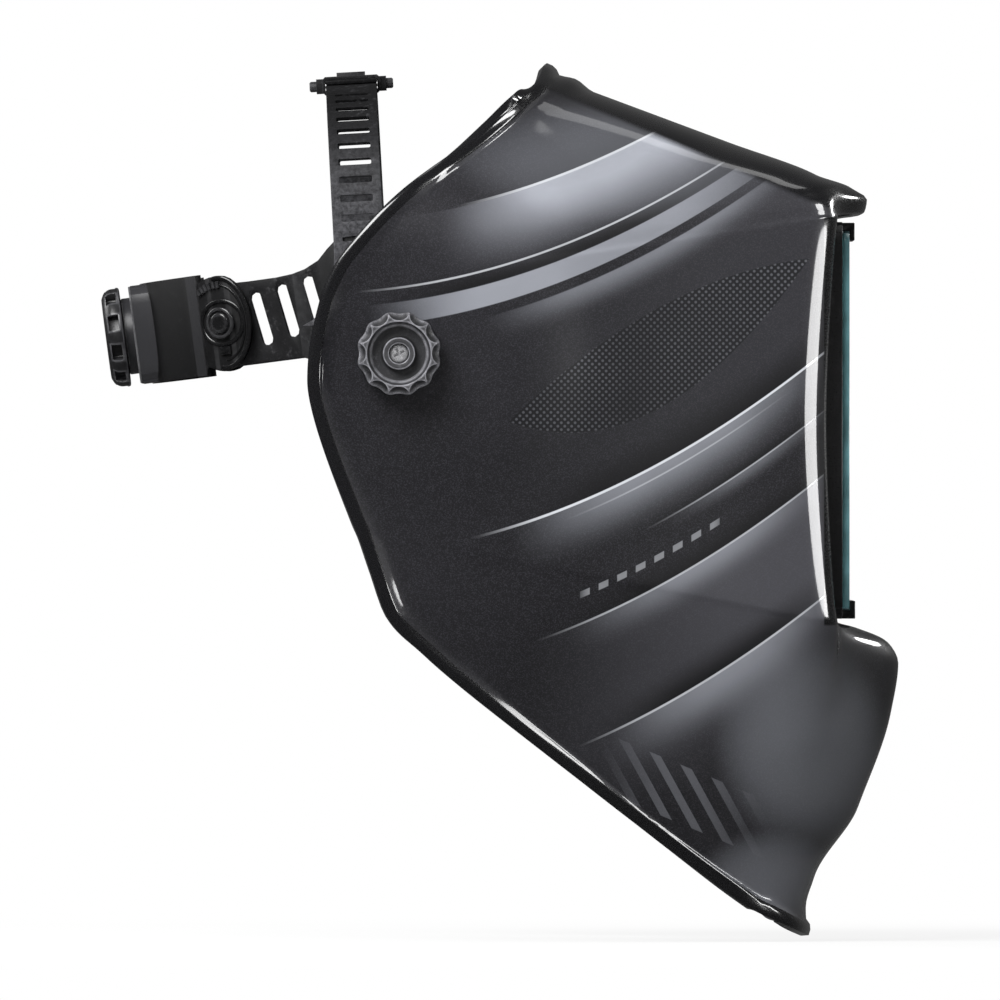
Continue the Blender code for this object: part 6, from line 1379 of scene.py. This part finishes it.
@dataclass
class TiltPivot:
    """The outer pivot hardware of one side: a scooped tension knob and its cross-head screw."""

    side: Side
    radius: float = 16.0 * MM
    height: float = 12.5 * MM
    flutes: int = 12
    ball: float = 4.4 * MM
    ball_reach: float = 16.9 * MM
    ball_height: float = 10.2 * MM
    wave: float = 0.85 * MM
    ledge: float = 2.6 * MM
    bowl: float = 11.9 * MM
    floor: float = 7.5 * MM
    hub: float = 6.1 * MM
    hub_top: float = 10.9 * MM
    pocket: float = 3.75 * MM
    seat: float = 7.6 * MM
    screw_radius: float = 3.6 * MM
    screw_height: float = 1.6 * MM
    cross_arm: float = 0.60
    cross_half: float = 0.48 * MM
    cross_turn: float = math.radians(28.0)

    def scooped(self, turn: float, radius: float, height: float) -> float:
        """Radius of the knob: a wavy outline, and finger scoops that a ball bites out of the upper edge."""
        if radius < self.bowl + 0.2 * MM:
            return radius
        share = (radius - self.bowl) / (self.radius - self.bowl)
        radius -= self.wave * share * (0.5 + 0.5 * math.cos(self.flutes * turn))
        if height < self.ledge:
            return radius
        step = 2 * math.pi / self.flutes
        off = (turn + step / 2) % step - step / 2
        inside = self.ball**2 - (height - self.ball_height) ** 2 - (self.ball_reach * math.sin(off)) ** 2
        if inside <= 0:
            return radius
        bite = self.ball_reach * math.cos(off) - math.sqrt(inside)
        if bite >= self.radius:
            return radius
        return self.bowl + (radius - self.bowl) * (bite - self.bowl) / (self.radius - self.bowl)

    def profile(self) -> Outline:
        """The knob's section from the foot over the bowl to the screw pocket."""
        r, h, bowl, hub = self.radius, self.height, self.bowl, self.hub
        line = offset(0.0, 0.0, (4.3, 0.0))
        line += offset(r, 0.0, (-0.7, 0.0), (-0.1, 0.5), (0.0, 1.2), (0.0, 2.2))
        line += [(r - 0.2 * MM, self.ledge + i * 0.35 * MM) for i in range(22)]
        line += offset(r, h, (-0.5, -1.5), (-1.0, -0.6), (-1.7, -0.12), (-2.4, 0.0))
        line += offset(bowl, h, (0.7, 0.0), (0.25, -0.12), (0.0, -0.5))
        line += offset(bowl, self.floor, (-0.45, 1.5), (-0.75, 0.75), (-1.0, 0.55), (-1.35, 0.5), (-1.5, 0.1),
                       (-1.8, 0.0))
        line += offset(hub, self.floor, (1.0, -0.1), (0.35, 0.1), (0.1, 0.5))
        line += offset(hub, self.hub_top, (0.0, -0.5), (-0.15, -0.12), (-0.5, 0.0))
        line += offset(self.pocket, self.hub_top, (0.4, -0.1), (0.1, -0.25), (0.0, -0.6))
        line += [(self.pocket, self.seat - 0.3 * MM)] + offset(0.0, self.seat, (2.2, -0.3))
        return line + offset(0.0, 0.0, (2.2, 5.3), (4.3, 5.3))

    def foot(self, node: str) -> float:
        """How far from the middle a node starts."""
        low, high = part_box(f"{node}_{self.side.label}")
        return min(abs(low.y), abs(high.y))

    def build(self) -> None:
        """Make the knob and its screw."""
        label = self.side.label
        start = self.foot("tension_knob")
        shape = moved(lathe(self.profile(), 24 * self.flutes, self.scooped), outward(self.side, start))
        knob = piece_from(f"knob_{label}", shape, (Finish.KNOB,), 46.0)
        settle(knob, f"friction_{label}", (f"tension_knob_{label}",))
        r, h, low = self.screw_radius, self.screw_height, self.seat
        line = offset(0.0, low, (0.0, -6.0), (1.7, -6.0), (1.9, -5.7), (1.9, 0.0))
        line += offset(r, low, (-0.1, 0.0), (0.0, 0.15))
        line += [(r, low + 0.45 * h), (r - 0.25 * MM, low + 0.68 * h), (0.80 * r, low + 0.84 * h),
                 (0.6 * r, low + 0.93 * h), (0.3 * r, low + 0.99 * h), (0.0, low + h)]
        screw = piece_from(f"screw_{label}", lathe(line, 64), (Finish.STEEL,), 40.0)
        arm, half = self.cross_arm * r, self.cross_half
        cross = [(half, arm), (-half, arm), (-half, half), (-arm, half), (-arm, -half), (-half, -half),
                 (-half, -arm), (half, -arm), (half, -half), (arm, -half), (arm, half), (half, half)]
        spin = Matrix.Rotation(self.cross_turn, 4, "Z")
        cut(screw, (moved(prism(cross, low + 0.3 * h, low + 2 * h, "Z"), spin),))
        eased(screw, 0.12 * MM, (Finish.STEEL,))
        screw.data.transform(outward(self.side, start))
        settle(screw, f"friction_{label}", (f"knob_screw_{label}",))


@dataclass
class LensSet:
    """The two clear plates, whose sawn edges glow teal."""

    copies: NodeCopies

    def build(self) -> None:
        """Make both plates with their edge faces marked."""
        for node in ("cover_lens", "inner_lens"):
            plate = self.copies.copy(node, Finish.LENS, 0.2 * MM)
            share = [1.0 if abs(face.normal.x) < 0.8 else 0.0 for face in plate.data.polygons]
            store = plate.data.attributes.new("rim", "FLOAT", "FACE")
            store.data.foreach_set("value", share)
            settle(plate, "mask", (node,))


@dataclass
class RatchetCradle:
    """The rear cradle: two-tone box and wings, tilt discs with teeth, rivets and the lugged knob."""

    copies: NodeCopies
    oval: HeadOval
    repeat: RadialRepeat
    outer: float = 5.6 * MM
    disc_radius: float = 17.8 * MM
    disc_reach: float = 11.0 * MM
    knob_x: float = -102.5 * MM
    knob_radius: float = 18.9 * MM
    knob_depth: float = 7.3 * MM
    neck_radius: float = 14.5 * MM
    neck_depth: float = 0.2 * MM
    lugs: int = 10
    box_end: float = -98.0 * MM
    box_half: float = 38.6 * MM
    box_rise: float = 18.4 * MM
    back_depth: float = 0.8 * MM
    back_corner: float = 7.0 * MM
    cut_half: float = 60.0 * MM
    cut_rise: float = 30.0 * MM
    cut_corner: float = 5.0 * MM
    cut_depth: float = 12.0 * MM
    teeth: int = 6
    first_tooth: float = math.radians(58.0)
    tooth_step: float = math.radians(6.8)
    lips: Table = ((0.955, 0.85 * MM, 0.75 * MM, 100.0), (0.80, 0.40 * MM, 0.45 * MM, 88.0))
    rivet_ring: tuple[float, float, float] = (8.2 * MM, 0.75 * MM, 0.7 * MM)
    pegs: tuple[Table, ...] = (((-2.6, -12.1, 5.2), (1.6, -9.0, 6.9)), ((-1.6, -11.4, 5.2), (0.6, -9.7, 7.3)))
    lip_line: Table = ((-1.0, -0.4), (-1.0, 0.55), (-0.72, 0.9), (-0.3, 1.0), (0.3, 1.0), (0.72, 0.9),
                       (1.0, 0.55), (1.0, -0.4))

    def build(self) -> None:
        """Make every visible piece of the cradle."""
        box = self.copies.copy("ratchet_housing", Finish.CRADLE, 0.4 * MM)
        level, rise = self.oval.level, self.cut_rise
        slab = rounded_rectangle(self.cut_half, level - rise, level + rise, self.cut_corner)
        cut(box, (moved(prism(slab, self.box_end - self.cut_depth, self.box_end, "X"), self.oval.frame),))
        settle(box, "cradle", ("ratchet_housing",))
        self.back_plate()
        for side in Side:
            self.disc_trim(side)
            self.rivet(side)
        self.knob()

    def back_plate(self) -> None:
        """The box's back, with the round neck that the knob turns on."""
        level, rise = self.oval.level, self.box_rise
        outline = rounded_rectangle(self.box_half, level - rise, level + rise, self.back_corner)
        plate = piece_from("ratchet_back", prism(outline, self.box_end - self.back_depth, self.box_end, "X"),
                           (Finish.CRADLE,))
        high = self.box_end - self.knob_x - 0.4 * MM
        line = [(0.0, 0.0), (self.neck_radius - 0.3 * MM, 0.0), (self.neck_radius, 0.3 * MM),
                (self.neck_radius, high - 0.4 * MM), (self.neck_radius + 0.8 * MM, high), (0.0, high)]
        neck = moved(lathe(line, 96), Matrix.Translation((self.knob_x, 0.0, self.oval.level))
                     @ Matrix.Rotation(math.pi / 2, 4, "Y"))
        cut(plate, (neck,), "UNION")
        eased(plate, 0.3 * MM, (Finish.CRADLE,), 40.0)
        plate.data.transform(self.oval.frame)
        settle(plate, "cradle")

    def disc_rim(self) -> bmesh.types.BMesh:
        """A raised lip along the front of a disc, a ring round the rivet and a peg, laid flat."""
        shape = bmesh.new()
        for lip in self.lips:
            self.bow(shape, *lip)
        self.ring(shape, *self.rivet_ring)
        for low, high in self.pegs:
            self.block(shape, low, high)
        return shape

    def block(self, shape: bmesh.types.BMesh, low: Sequence[float], high: Sequence[float]) -> None:
        """Add a block between two corners in millimetres, its top drawn in a little."""
        flat = ((low[0], low[1], 0), (high[0], low[1], 0), (high[0], high[1], 0), (low[0], high[1], 0))
        corners = [Vector(c) * MM for c in flat]
        middle = sum(corners, Vector()) / len(corners)
        tops = [c + (middle - c) * 0.14 for c in corners]
        lines = ((corners, low[2]), (corners, high[2] - 0.2), (tops, high[2]))
        loft(shape, [[shape.verts.new((c.x, c.y, height * MM)) for c in line] for line, height in lines])

    def bow(self, shape: bmesh.types.BMesh, scale: float, half: float, rise: float, spread: float) -> None:
        """Add a raised lip that follows the disc's front edge.

        Args:
            shape: Flat mesh to add to.
            scale: Size against the disc's outline.
            half: Half width of the lip.
            rise: Its height.
            spread: Degrees that it runs to either side of the front.
        """
        loops = []
        count = 60
        for i in range(count + 1):
            turn = math.radians(-spread + 2 * spread * i / count)
            cos, sin = math.cos(turn), math.sin(turn)
            out = Vector((-cos / self.disc_reach, sin / self.disc_radius, 0.0)).normalized()
            spot = Vector((-self.disc_reach * scale * cos, self.disc_radius * scale * sin, 0.0))
            loops.append(self.lip(shape, spot, out, half, rise))
        loft(shape, loops)

    def ring(self, shape: bmesh.types.BMesh, radius: float, half: float, rise: float) -> None:
        """Add a raised ring round the rivet."""
        loops = []
        for i in range(72):
            turn = 2 * math.pi * i / 72
            out = Vector((math.cos(turn), math.sin(turn), 0.0))
            loops.append(self.lip(shape, out * radius, out, half, rise))
        loft(shape, loops, True)

    def lip(self, shape: bmesh.types.BMesh, spot: Vector, out: Vector, half: float, rise: float) -> list:
        """One rounded section of a lip, sunk a little into the disc."""
        made = []
        for a, b in self.lip_line:
            place = spot + out * (half * a)
            made.append(shape.verts.new((place.x, place.y, self.outer + rise * b)))
        return made

    def disc_trim(self, side: Side) -> None:
        """Lay the lips, peg and click teeth on one tilt disc."""
        tooth = bmesh.new()
        face = self.outer / MM
        self.block(tooth, (13.2, -0.55, face - 0.4), (15.9, 0.55, face + 1.1))
        teeth = piece_from(f"disc_teeth_{side.label}", tooth, (Finish.DISC,))
        self.repeat.apply(teeth, Finish.DISC, count=self.teeth, first_angle=self.first_tooth,
                          step=self.tooth_step)
        shape = self.disc_rim()
        shape.from_mesh(teeth.data)
        discard(teeth)
        made = piece_from(f"disc_trim_{side.label}", self.oval.wrapped(shape, side), (Finish.DISC,), 40.0)
        settle(made, "cradle")

    def rivet(self, side: Side) -> None:
        """A two-headed rivet with a ring groove in its outer head."""
        low, high = -1.6 * MM, self.outer + 0.8 * MM
        line = offset(0.0, low, (0.0, -1.8), (5.2, -1.8), (5.9, -1.1), (6.0, 0.0), (3.0, 0.0))
        line += offset(0.0, high, (3.0, 0.0), (5.7, 0.0), (6.0, 0.3), (6.0, 0.9), (5.7, 1.25), (5.2, 1.35),
                       (4.8, 1.25), (4.55, 0.6), (4.2, 0.5), (3.95, 0.7), (3.85, 1.4), (3.55, 1.75),
                       (2.6, 1.85), (1.2, 1.7), (0.0, 1.65))
        shape = moved(lathe(line, 64), self.oval.rivet(side))
        made = piece_from(f"rivet_{side.label}", shape, (Finish.DISC,), 50.0)
        settle(made, "headgear", (f"cradle_rivet_{side.label}",))

    def knob(self) -> None:
        """The rounded knob with a pocket between each pair of lugs."""
        r, n, top = self.knob_radius, self.neck_depth, self.knob_depth
        line = offset(0.0, 0.0, (0.0, 4.6), (4.3, 4.6), (4.3, 0.0))
        line += [(self.neck_radius - 0.3 * MM, 0.0), (self.neck_radius, n)]
        line += offset(r, n, (-0.9, 0.0), (-0.3, 0.15), (0.0, 0.6), (0.0, 3.0), (-0.1, 3.8), (-0.4, 4.6),
                       (-0.9, 5.3), (-1.7, 6.05), (-2.7, 6.6))
        line += offset(r, top, (-3.8, 0.0), (-5.4, 0.0), (-6.0, -0.25), (-6.4, -0.7), (-7.2, -0.9))
        line += offset(0.0, top, (5.0, -1.1), (4.6, -0.9), (3.6, -0.8), (0.0, -0.75))
        made = piece_from("ratchet_grip", lathe(line, 120), (Finish.GRIP,), 46.0)
        corners = offset(0.0, 0.0, (15.3, -2.8), (22.0, -3.4), (22.0, 3.4), (15.3, 2.8))
        outline = rounded(corners, 0.9 * MM, 4)
        pocket = piece_from("pocket_cutter", prism(outline, n + 1.4 * MM, n + 5.4 * MM, "Z"), (Finish.GRIP,))
        self.repeat.apply(pocket, Finish.GRIP, count=self.lugs, first_angle=0.0,
                          step=2 * math.pi / self.lugs)
        cut(made, (copied(pocket),))
        discard(pocket)
        eased(made, 0.28 * MM, (Finish.GRIP,), 40.0, 46.0)
        made.data.transform(self.oval.frame @ backward(self.knob_x, self.oval.level))
        settle(made, "ratchet_drive", ("ratchet_knob",))


@dataclass
class CrownStraps:
    """The two straps over the head, with oblong slots that line up from the side."""

    oval: HeadOval
    root_x: float = -11.9 * MM
    root_z: float = 13.5 * MM
    lean: float = math.radians(4.4)
    width: float = 19.2 * MM
    thickness: float = 1.3 * MM
    foot: float = 82.0 * MM
    rise: float = 26.5 * MM
    arch: float = 64.0 * MM
    fullness: float = 2.5
    layer: float = 1.7 * MM
    tail: float = 13.0 * MM
    flare: float = 15.0 * MM
    flare_rise: float = 28.5 * MM
    slot_length: float = 12.4 * MM
    slot_width: float = 2.7 * MM
    slot_pitch: float = 7.4 * MM
    first_slot: float = 32.3 * MM
    slots: int = 11
    blind: int = 4
    sight: float = 0.0095
    snug: float = 0.26 * MM
    snug_reach: float = 6.0 * MM
    edge: float = 0.3 * MM
    sections: int = 91

    @property
    def frame(self) -> Matrix:
        """Placement of the straps on the headband."""
        root = Matrix.Translation((self.root_x, 0.0, self.root_z))
        return self.oval.frame @ root @ Matrix.Rotation(self.lean, 4, "Y")

    def path(self, side: Side) -> tuple[np.ndarray, np.ndarray, np.ndarray]:
        """Middle line of a strap: (y, z) points, outward normals and travel."""
        arch = self.arch if side is Side.RIGHT else self.arch + self.layer
        power = 2 / self.fullness
        turns = np.linspace(0.0, 1.3 * math.pi / 2, 900)
        across = np.sign(np.cos(turns)) * np.abs(np.cos(turns)) ** power * self.foot
        up = self.rise + arch * np.abs(np.sin(turns)) ** power
        dense = np.vstack(([[self.foot, 0.0]], np.column_stack((across, up))))
        dense = dense[dense[:, 0] > -self.tail]
        reach = np.concatenate(([0.0], np.cumsum(np.linalg.norm(np.diff(dense, axis=0), axis=1))))
        travel = np.linspace(0.0, reach[-1], self.sections)
        points = np.column_stack([np.interp(travel, reach, dense[:, i]) for i in (0, 1)])
        ahead = np.gradient(points, axis=0)
        normals = np.column_stack((ahead[:, 1], -ahead[:, 0]))
        return points, normals / np.linalg.norm(normals, axis=1, keepdims=True), travel

    def edges(self, travel: float) -> tuple[float, float]:
        """Rear and front edge; the root flares into the arm."""
        half = self.width / 2
        if travel >= self.flare_rise:
            return -half, half
        drop = min(1 - travel / self.flare_rise, 0.995)
        flare = self.flare * (1 - math.sqrt(1 - drop * drop))
        return -half - flare, half + 0.5 * flare

    def marks(self, side: Side) -> list[float]:
        """Travel of each slot; the left strap's stand where the right one's show them to the lens."""
        marks = [self.first_slot + k * self.slot_pitch for k in range(self.slots)]
        if side is Side.RIGHT:
            return marks
        right, _, way = self.path(Side.RIGHT)
        left, _, travel = self.path(side)
        rising = left[:, 0] > 0
        levels = np.interp(marks, way, right[:, 1] + 2 * right[:, 0] * self.sight)
        found = np.interp(levels, left[rising, 1], travel[rising])
        last = self.blind + 3
        shift = [found[min(k, last)] - marks[min(k, last)] for k in range(self.slots)]
        return [m + d for m, d in zip(marks, shift)][self.blind:]

    def cutters(self, side: Side) -> list[bmesh.types.BMesh]:
        """One block for each slot."""
        points, normals, travel = self.path(side)
        a, b = self.slot_length / 2, self.slot_width / 2
        outline = rounded([(-a, -b), (a, -b), (a, b), (-a, b)], 0.7 * MM, 4)
        made = []
        for mark in self.marks(side):
            y, z = (float(np.interp(mark, travel, points[:, i])) for i in (0, 1))
            ny, nz = (float(np.interp(mark, travel, normals[:, i])) for i in (0, 1))
            rows = ((1.0, 0.0, 0.0), (0.0, -side.value * nz, ny), (0.0, side.value * ny, nz))
            place = Matrix.Translation((0.0, side.value * y, z)) @ Matrix(rows).transposed().to_4x4()
            made.append(moved(prism(outline, -3 * MM, 3 * MM, "Z"), self.frame @ place))
        return made

    def build(self) -> None:
        """Make both straps."""
        for side in Side:
            points, normals, travel = self.path(side)
            shape = bmesh.new()
            loops = []
            half, ease = self.thickness / 2, self.edge
            for point, normal, way in zip(points, normals, travel):
                rear, front = self.edges(float(way))
                snug = self.snug if abs(point[0]) < self.snug_reach else 0.0
                rear, front = rear - snug, front + snug
                top = half + (snug if side is Side.LEFT else 0.0)
                low = ease - half
                corners = ((rear, low), (rear, top - ease), (rear + ease, top), (front - ease, top),
                           (front, top - ease), (front, low), (front - ease, -half), (rear + ease, -half))
                loop = []
                for x, out in corners:
                    spot = point + normal * out
                    loop.append(shape.verts.new((x, side.value * spot[0], spot[1])))
                loops.append(loop)
            loft(shape, loops)
            name = f"strap_{side.label}"
            made = piece_from(name, moved(shape, self.frame), (Finish.STRAP,))
            cut(made, self.cutters(side))
            eased(made, 0.12 * MM, (Finish.STRAP,), 50.0)
            for mark in MARKS:
                made.data.attributes.remove(made.data.attributes[mark])
            settle(made, "headgear", (f"crown_strap_{side.label}",))


@dataclass
class SoftPad:
    """A towelling cushion, blown up a little, with a sewn line inside its edge."""

    copies: NodeCopies
    oval: HeadOval
    stitch: StitchRow
    node: str
    body: str
    span: float
    middle: float
    half_height: float
    fill: float
    cap: float = 1.6 * MM
    grid: float = 2.6 * MM
    pressure: float = 4.0
    mass: float = 0.15
    stretch: float = 12.0
    bending: float = 1.5
    steps: int = 20
    dent_reach: float = 6.0 * MM
    dent_depth: float = 0.9 * MM
    dent_width: float = 2.4 * MM
    seat_facing: float = 0.35
    seam: tuple[float, float] = (0.93, 0.80)
    seam_corner: float = 0.12
    seam_step: float = 0.02
    seam_offset: float = -14.0 * MM
    pitch: float = 3.4 * MM
    thread: float = 0.32 * MM
    sunk: float = 0.5 * MM

    def build(self) -> None:
        """Make the cushion, its sewn dent and the stitches."""
        shape = copied(self.copies.nodes[self.node], WELD)
        pad = piece_from(f"{self.node}_cushion", shape, (Finish.CLOTH,))
        self.inflate(pad)
        line = self.sewn_line(pad)
        self.dent(pad, line)
        pad.data.shade_smooth()
        settle(pad, self.body, (self.node,))
        self.sew(line)

    def inflate(self, pad: bpy.types.Object) -> None:
        """Blow the cushion up in a short cloth run, keeping it near the solid's shape."""
        remesh = pad.modifiers.new("skin", "REMESH")
        remesh.mode = "VOXEL"
        remesh.voxel_size = self.grid
        keep(pad)
        back = self.back_points(pad)
        group = pad.vertex_groups.new(name="seat")
        group.add(back, 1.0, "REPLACE")
        start = np.array([v.co for v in pad.data.vertices])
        cloth = pad.modifiers.new("foam", "CLOTH")
        cloth.settings.use_pressure = True
        cloth.settings.uniform_pressure_force = self.pressure
        cloth.settings.effector_weights.gravity = 0.0
        cloth.settings.vertex_group_mass = "seat"
        cloth.settings.mass = self.mass
        cloth.settings.tension_stiffness = self.stretch
        cloth.settings.compression_stiffness = self.stretch
        cloth.settings.bending_stiffness = self.bending
        cloth.point_cache.frame_start = 1
        cloth.point_cache.frame_end = self.steps
        for frame in range(1, self.steps + 1):
            bpy.context.scene.frame_set(frame)
        keep(pad)
        bpy.context.scene.frame_set(1)
        moved_by = np.array([v.co for v in pad.data.vertices]) - start
        length = np.linalg.norm(moved_by, axis=1, keepdims=True)
        held = start + moved_by * np.minimum(1.0, self.cap / np.maximum(length, 1e-9))
        pad.data.vertices.foreach_set("co", held.ravel())
        fine = pad.modifiers.new("fine", "SUBSURF")
        fine.levels = 1
        fine.render_levels = 1
        keep(pad)
        pad.data.materials.clear()
        pad.data.materials.append(Finish.CLOTH.material)

    def back_points(self, pad: bpy.types.Object) -> list[int]:
        """Points that face away from the head and stay on the band."""
        return [v.index for v in pad.data.vertices if v.normal.dot(self.away(v.co)) > self.seat_facing]

    def away(self, spot: Vector) -> Vector:
        """The level direction from the middle of the head to a place."""
        out = spot - self.oval.frame @ Vector((self.oval.centre_x, 0.0, self.oval.level))
        out.z = 0.0
        return out.normalized()

    def sewn_line(self, pad: bpy.types.Object) -> list[Vector]:
        """A closed line inside the cushion's edge, laid on its face."""
        shape = copied(pad)
        tree = BVHTree.FromBMesh(shape)
        a, b = self.seam
        flat = rounded([(-a, -b), (a, -b), (a, b), (-a, b)], self.seam_corner, 5)
        line = []
        for i in range(len(flat)):
            here, there = Vector(flat[i]), Vector(flat[(i + 1) % len(flat)])
            count = max(1, round((there - here).length / self.seam_step))
            line += [here.lerp(there, k / count) for k in range(count)]
        spots = []
        for share in line:
            x, y = self.oval.spot(self.middle + share.x * self.span, self.seam_offset)
            guess = self.oval.frame @ Vector((x, y, self.oval.level + share.y * self.half_height))
            near = tree.find_nearest(guess)
            spots.append(near[0] if near[0] is not None else guess)
        shape.free()
        return spots

    def dent(self, pad: bpy.types.Object, line: Sequence[Vector]) -> None:
        """Draw the cloth in along the sewn line."""
        marks = np.array(line)
        for vert in pad.data.vertices:
            near = float(np.min(np.linalg.norm(marks - np.array(vert.co), axis=1)))
            if near < self.dent_reach:
                depth = self.dent_depth * math.exp(-((near / self.dent_width) ** 2))
                vert.co += self.away(vert.co) * depth

    def sew(self, line: Sequence[Vector]) -> None:
        """Lay a row of stitches along the sewn line."""
        mesh = bpy.data.meshes.new(f"{self.node}_thread")
        sunk = [spot + self.away(spot) * self.sunk for spot in line]
        mesh.from_pydata(sunk, [(i, (i + 1) % len(sunk)) for i in range(len(sunk))], [])
        row = linked(mesh.name, mesh)
        self.stitch.apply(row, Finish.THREAD, pitch=self.pitch, thread=self.thread)
        row.data.shade_smooth()
        settle(row, self.body)


@dataclass
class Studio:
    """Camera, floor, backdrop light and lamps of the side view."""

    aim: tuple[float, float, float] = (0.038, 0.0, -0.0551)
    distance: float = 12.0
    frame_width: float = 0.38
    floor_z: float = -0.2225
    floor_half: float = 3.0
    floor_tone: float = 0.86
    floor_white: float = 0.86
    lamp_aim: tuple[float, float, float] = (0.06, 0.0, -0.03)
    mirrored: float = 0.08
    ambient: float = 0.12

    def build(self) -> None:
        """Set up everything round the helmet."""
        scene = bpy.context.scene
        scene.view_settings.view_transform = "Standard"
        self.camera(scene)
        self.floor()
        self.sky(scene)
        self.lamp("key", (-1.0, -1.6, 1.7), (1.4, 1.4), 94.0)
        self.lamp("top", (0.20, 0.30, 1.6), (1.1, 0.45), 3.2)
        self.lamp("shoulder", (0.98, 0.53, 0.44), (0.5, 0.2), 4.5, lights=False)
        self.lamp("high_front", (1.0, -0.6, 0.75), (0.5, 0.35), 8.0, lights=False)
        self.lamp("front_strip", (1.13, -0.60, -0.036), (0.94, 0.17), 7.0, lights=False)
        self.lamp("fill", (0.35, -2.3, 0.25), (2.0, 1.8), 4.0, shine=False)
        self.lamp("rear", (-1.3, 0.5, 0.7), (0.7, 0.7), 9.0)

    def camera(self, scene: bpy.types.Scene) -> None:
        """A long lens from the wearer's right."""
        data = bpy.data.cameras.new("side_camera")
        data.sensor_width = 36.0
        data.lens = 36.0 * self.distance / self.frame_width
        data.clip_end = 100.0
        made = bpy.data.objects.new("side_camera", data)
        made.location = (self.aim[0], -self.distance, self.aim[2])
        made.rotation_euler = (math.pi / 2, 0.0, 0.0)
        scene.collection.objects.link(made)
        scene.camera = made

    def floor(self) -> None:
        """A pale floor that shows white to the lens and keeps the shadow."""
        r = Recipe("studio_floor")
        path = r.node("LightPath")
        seen = r.sock(path, "Is Camera Ray").most(r.sock(path, "Is Transmission Ray"))
        matt = r.node("BsdfDiffuse", values={"Color": (*[self.floor_tone] * 3, 1.0)})
        white = r.node("Emission", values={"Color": (1.0, 1.0, 1.0, 1.0), "Strength": 1.0})
        x, y, _ = r.axes()
        away = (x * x + y * y).root().ease(180.0, 700.0)
        both = r.blend(seen * (away * (1.0 - self.floor_white) + self.floor_white), matt, white)
        dim = r.node("Emission", values={"Color": (1.0, 1.0, 1.0, 1.0), "Strength": self.mirrored})
        last = r.blend(r.sock(path, "Is Glossy Ray"), both, dim)
        shape = bmesh.new()
        half = self.floor_half
        corners = ((-half, -half), (half, -half), (half, half), (-half, half))
        shape.faces.new([shape.verts.new((*corner, self.floor_z)) for corner in corners])
        mesh = bpy.data.meshes.new("floor")
        shape.to_mesh(mesh)
        shape.free()
        mesh.materials.append(r.done(last))
        made = linked("floor", mesh)

    def sky(self, scene: bpy.types.Scene) -> None:
        """White to the lens, dimmer in reflections, and a faint even fill."""
        world = bpy.data.worlds.new("studio")
        world.use_nodes = True
        scene.world = world
        tree = world.node_tree
        tree.nodes.clear()
        out = tree.nodes.new("ShaderNodeOutputWorld")
        back = tree.nodes.new("ShaderNodeBackground")
        path = tree.nodes.new("ShaderNodeLightPath")
        rays = (path.outputs[f"Is {kind} Ray"] for kind in ("Camera", "Transmission", "Glossy"))
        seen, through, glossy = (Sock(tree, ray) for ray in rays)
        level = seen.most(through).most(glossy * self.mirrored).most((1.0 - glossy) * self.ambient)
        feed(tree, back.inputs["Strength"], level)
        back.inputs["Color"].default_value = (1.0, 1.0, 1.0, 1.0)
        tree.links.new(back.outputs[0], out.inputs["Surface"])

    def lamp(self, name: str, place: tuple[float, float, float], size: tuple[float, float],
             power: float, shine: bool = True, lights: bool = True) -> None:
        """A soft box that looks at the middle of the helmet and isn't seen itself.

        Args:
            name: Name of the lamp.
            place: Where it hangs.
            size: Its width and height.
            power: Its power in watts.
            shine: Whether it shows in reflections.
            lights: Whether it lights surfaces, besides showing in them.
        """
        data = bpy.data.lights.new(name, "AREA")
        data.shape = "RECTANGLE" if lights else "ELLIPSE"
        data.size, data.size_y = size
        data.energy = power
        made = bpy.data.objects.new(name, data)
        made.location = place
        aim = Vector(self.lamp_aim) - Vector(place)
        made.rotation_euler = aim.to_track_quat("-Z", "Y").to_euler()
        made.visible_camera = False
        made.visible_glossy = shine
        made.visible_diffuse = lights
        bpy.context.scene.collection.objects.link(made)


def plain_finishes() -> dict[str, Finish]:
    """The finish of each material slot, for nodes that keep their solid's shape."""
    return {"black_moulding": Finish.FRAME, "dark_filter": Finish.PANE, "solar_film": Finish.SOLAR,
            "knob_plastic": Finish.KNOB, "headgear_plastic": Finish.HEADGEAR, "bright_steel": Finish.STEEL,
            "fibre_washer": Finish.FIBRE}


def dress_rest(frame: dict, copies: NodeCopies) -> None:
    """Give every node that still shows a finer copy in its finish."""
    slots = {part["node"]: part["material_slot"] for part in frame["record"]["subparts"]}
    bodies = {node: body for body, nodes in frame["record"]["behaviour"]["bodies"].items() for node in nodes}
    finishes = plain_finishes()
    for node, held in frame["nodes"].items():
        if held.hide_render:
            continue
        piece = copies.copy(node, finishes[slots[node]])
        settle(piece, bodies[node], (node,))


def main() -> None:
    """Build the helmet's sub-assemblies in order."""
    logging.basicConfig(level=logging.INFO, format="%(name)s: %(message)s")
    for old in list(bpy.data.objects):
        bpy.data.objects.remove(old, do_unlink=True)
    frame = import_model()
    Studio().build()
    MaskShell().build()
    copies = NodeCopies(frame["nodes"])
    oval = HeadOval()
    LensSet(copies).build()
    for side in Side:
        TiltPivot(side).build()
    RatchetCradle(copies, oval, RadialRepeat()).build()
    CrownStraps(oval).build()
    stitch = StitchRow()
    SoftPad(copies, oval, stitch, "sweatband", "headgear", math.radians(64.0), 0.0, 19.0 * MM, 0.7).build()
    SoftPad(copies, oval, stitch, "nape_pad", "cradle", math.radians(34.0), math.pi, 17.5 * MM, 0.7).build()
    dress_rest(frame, copies)


if __name__ == "__main__":
    main()
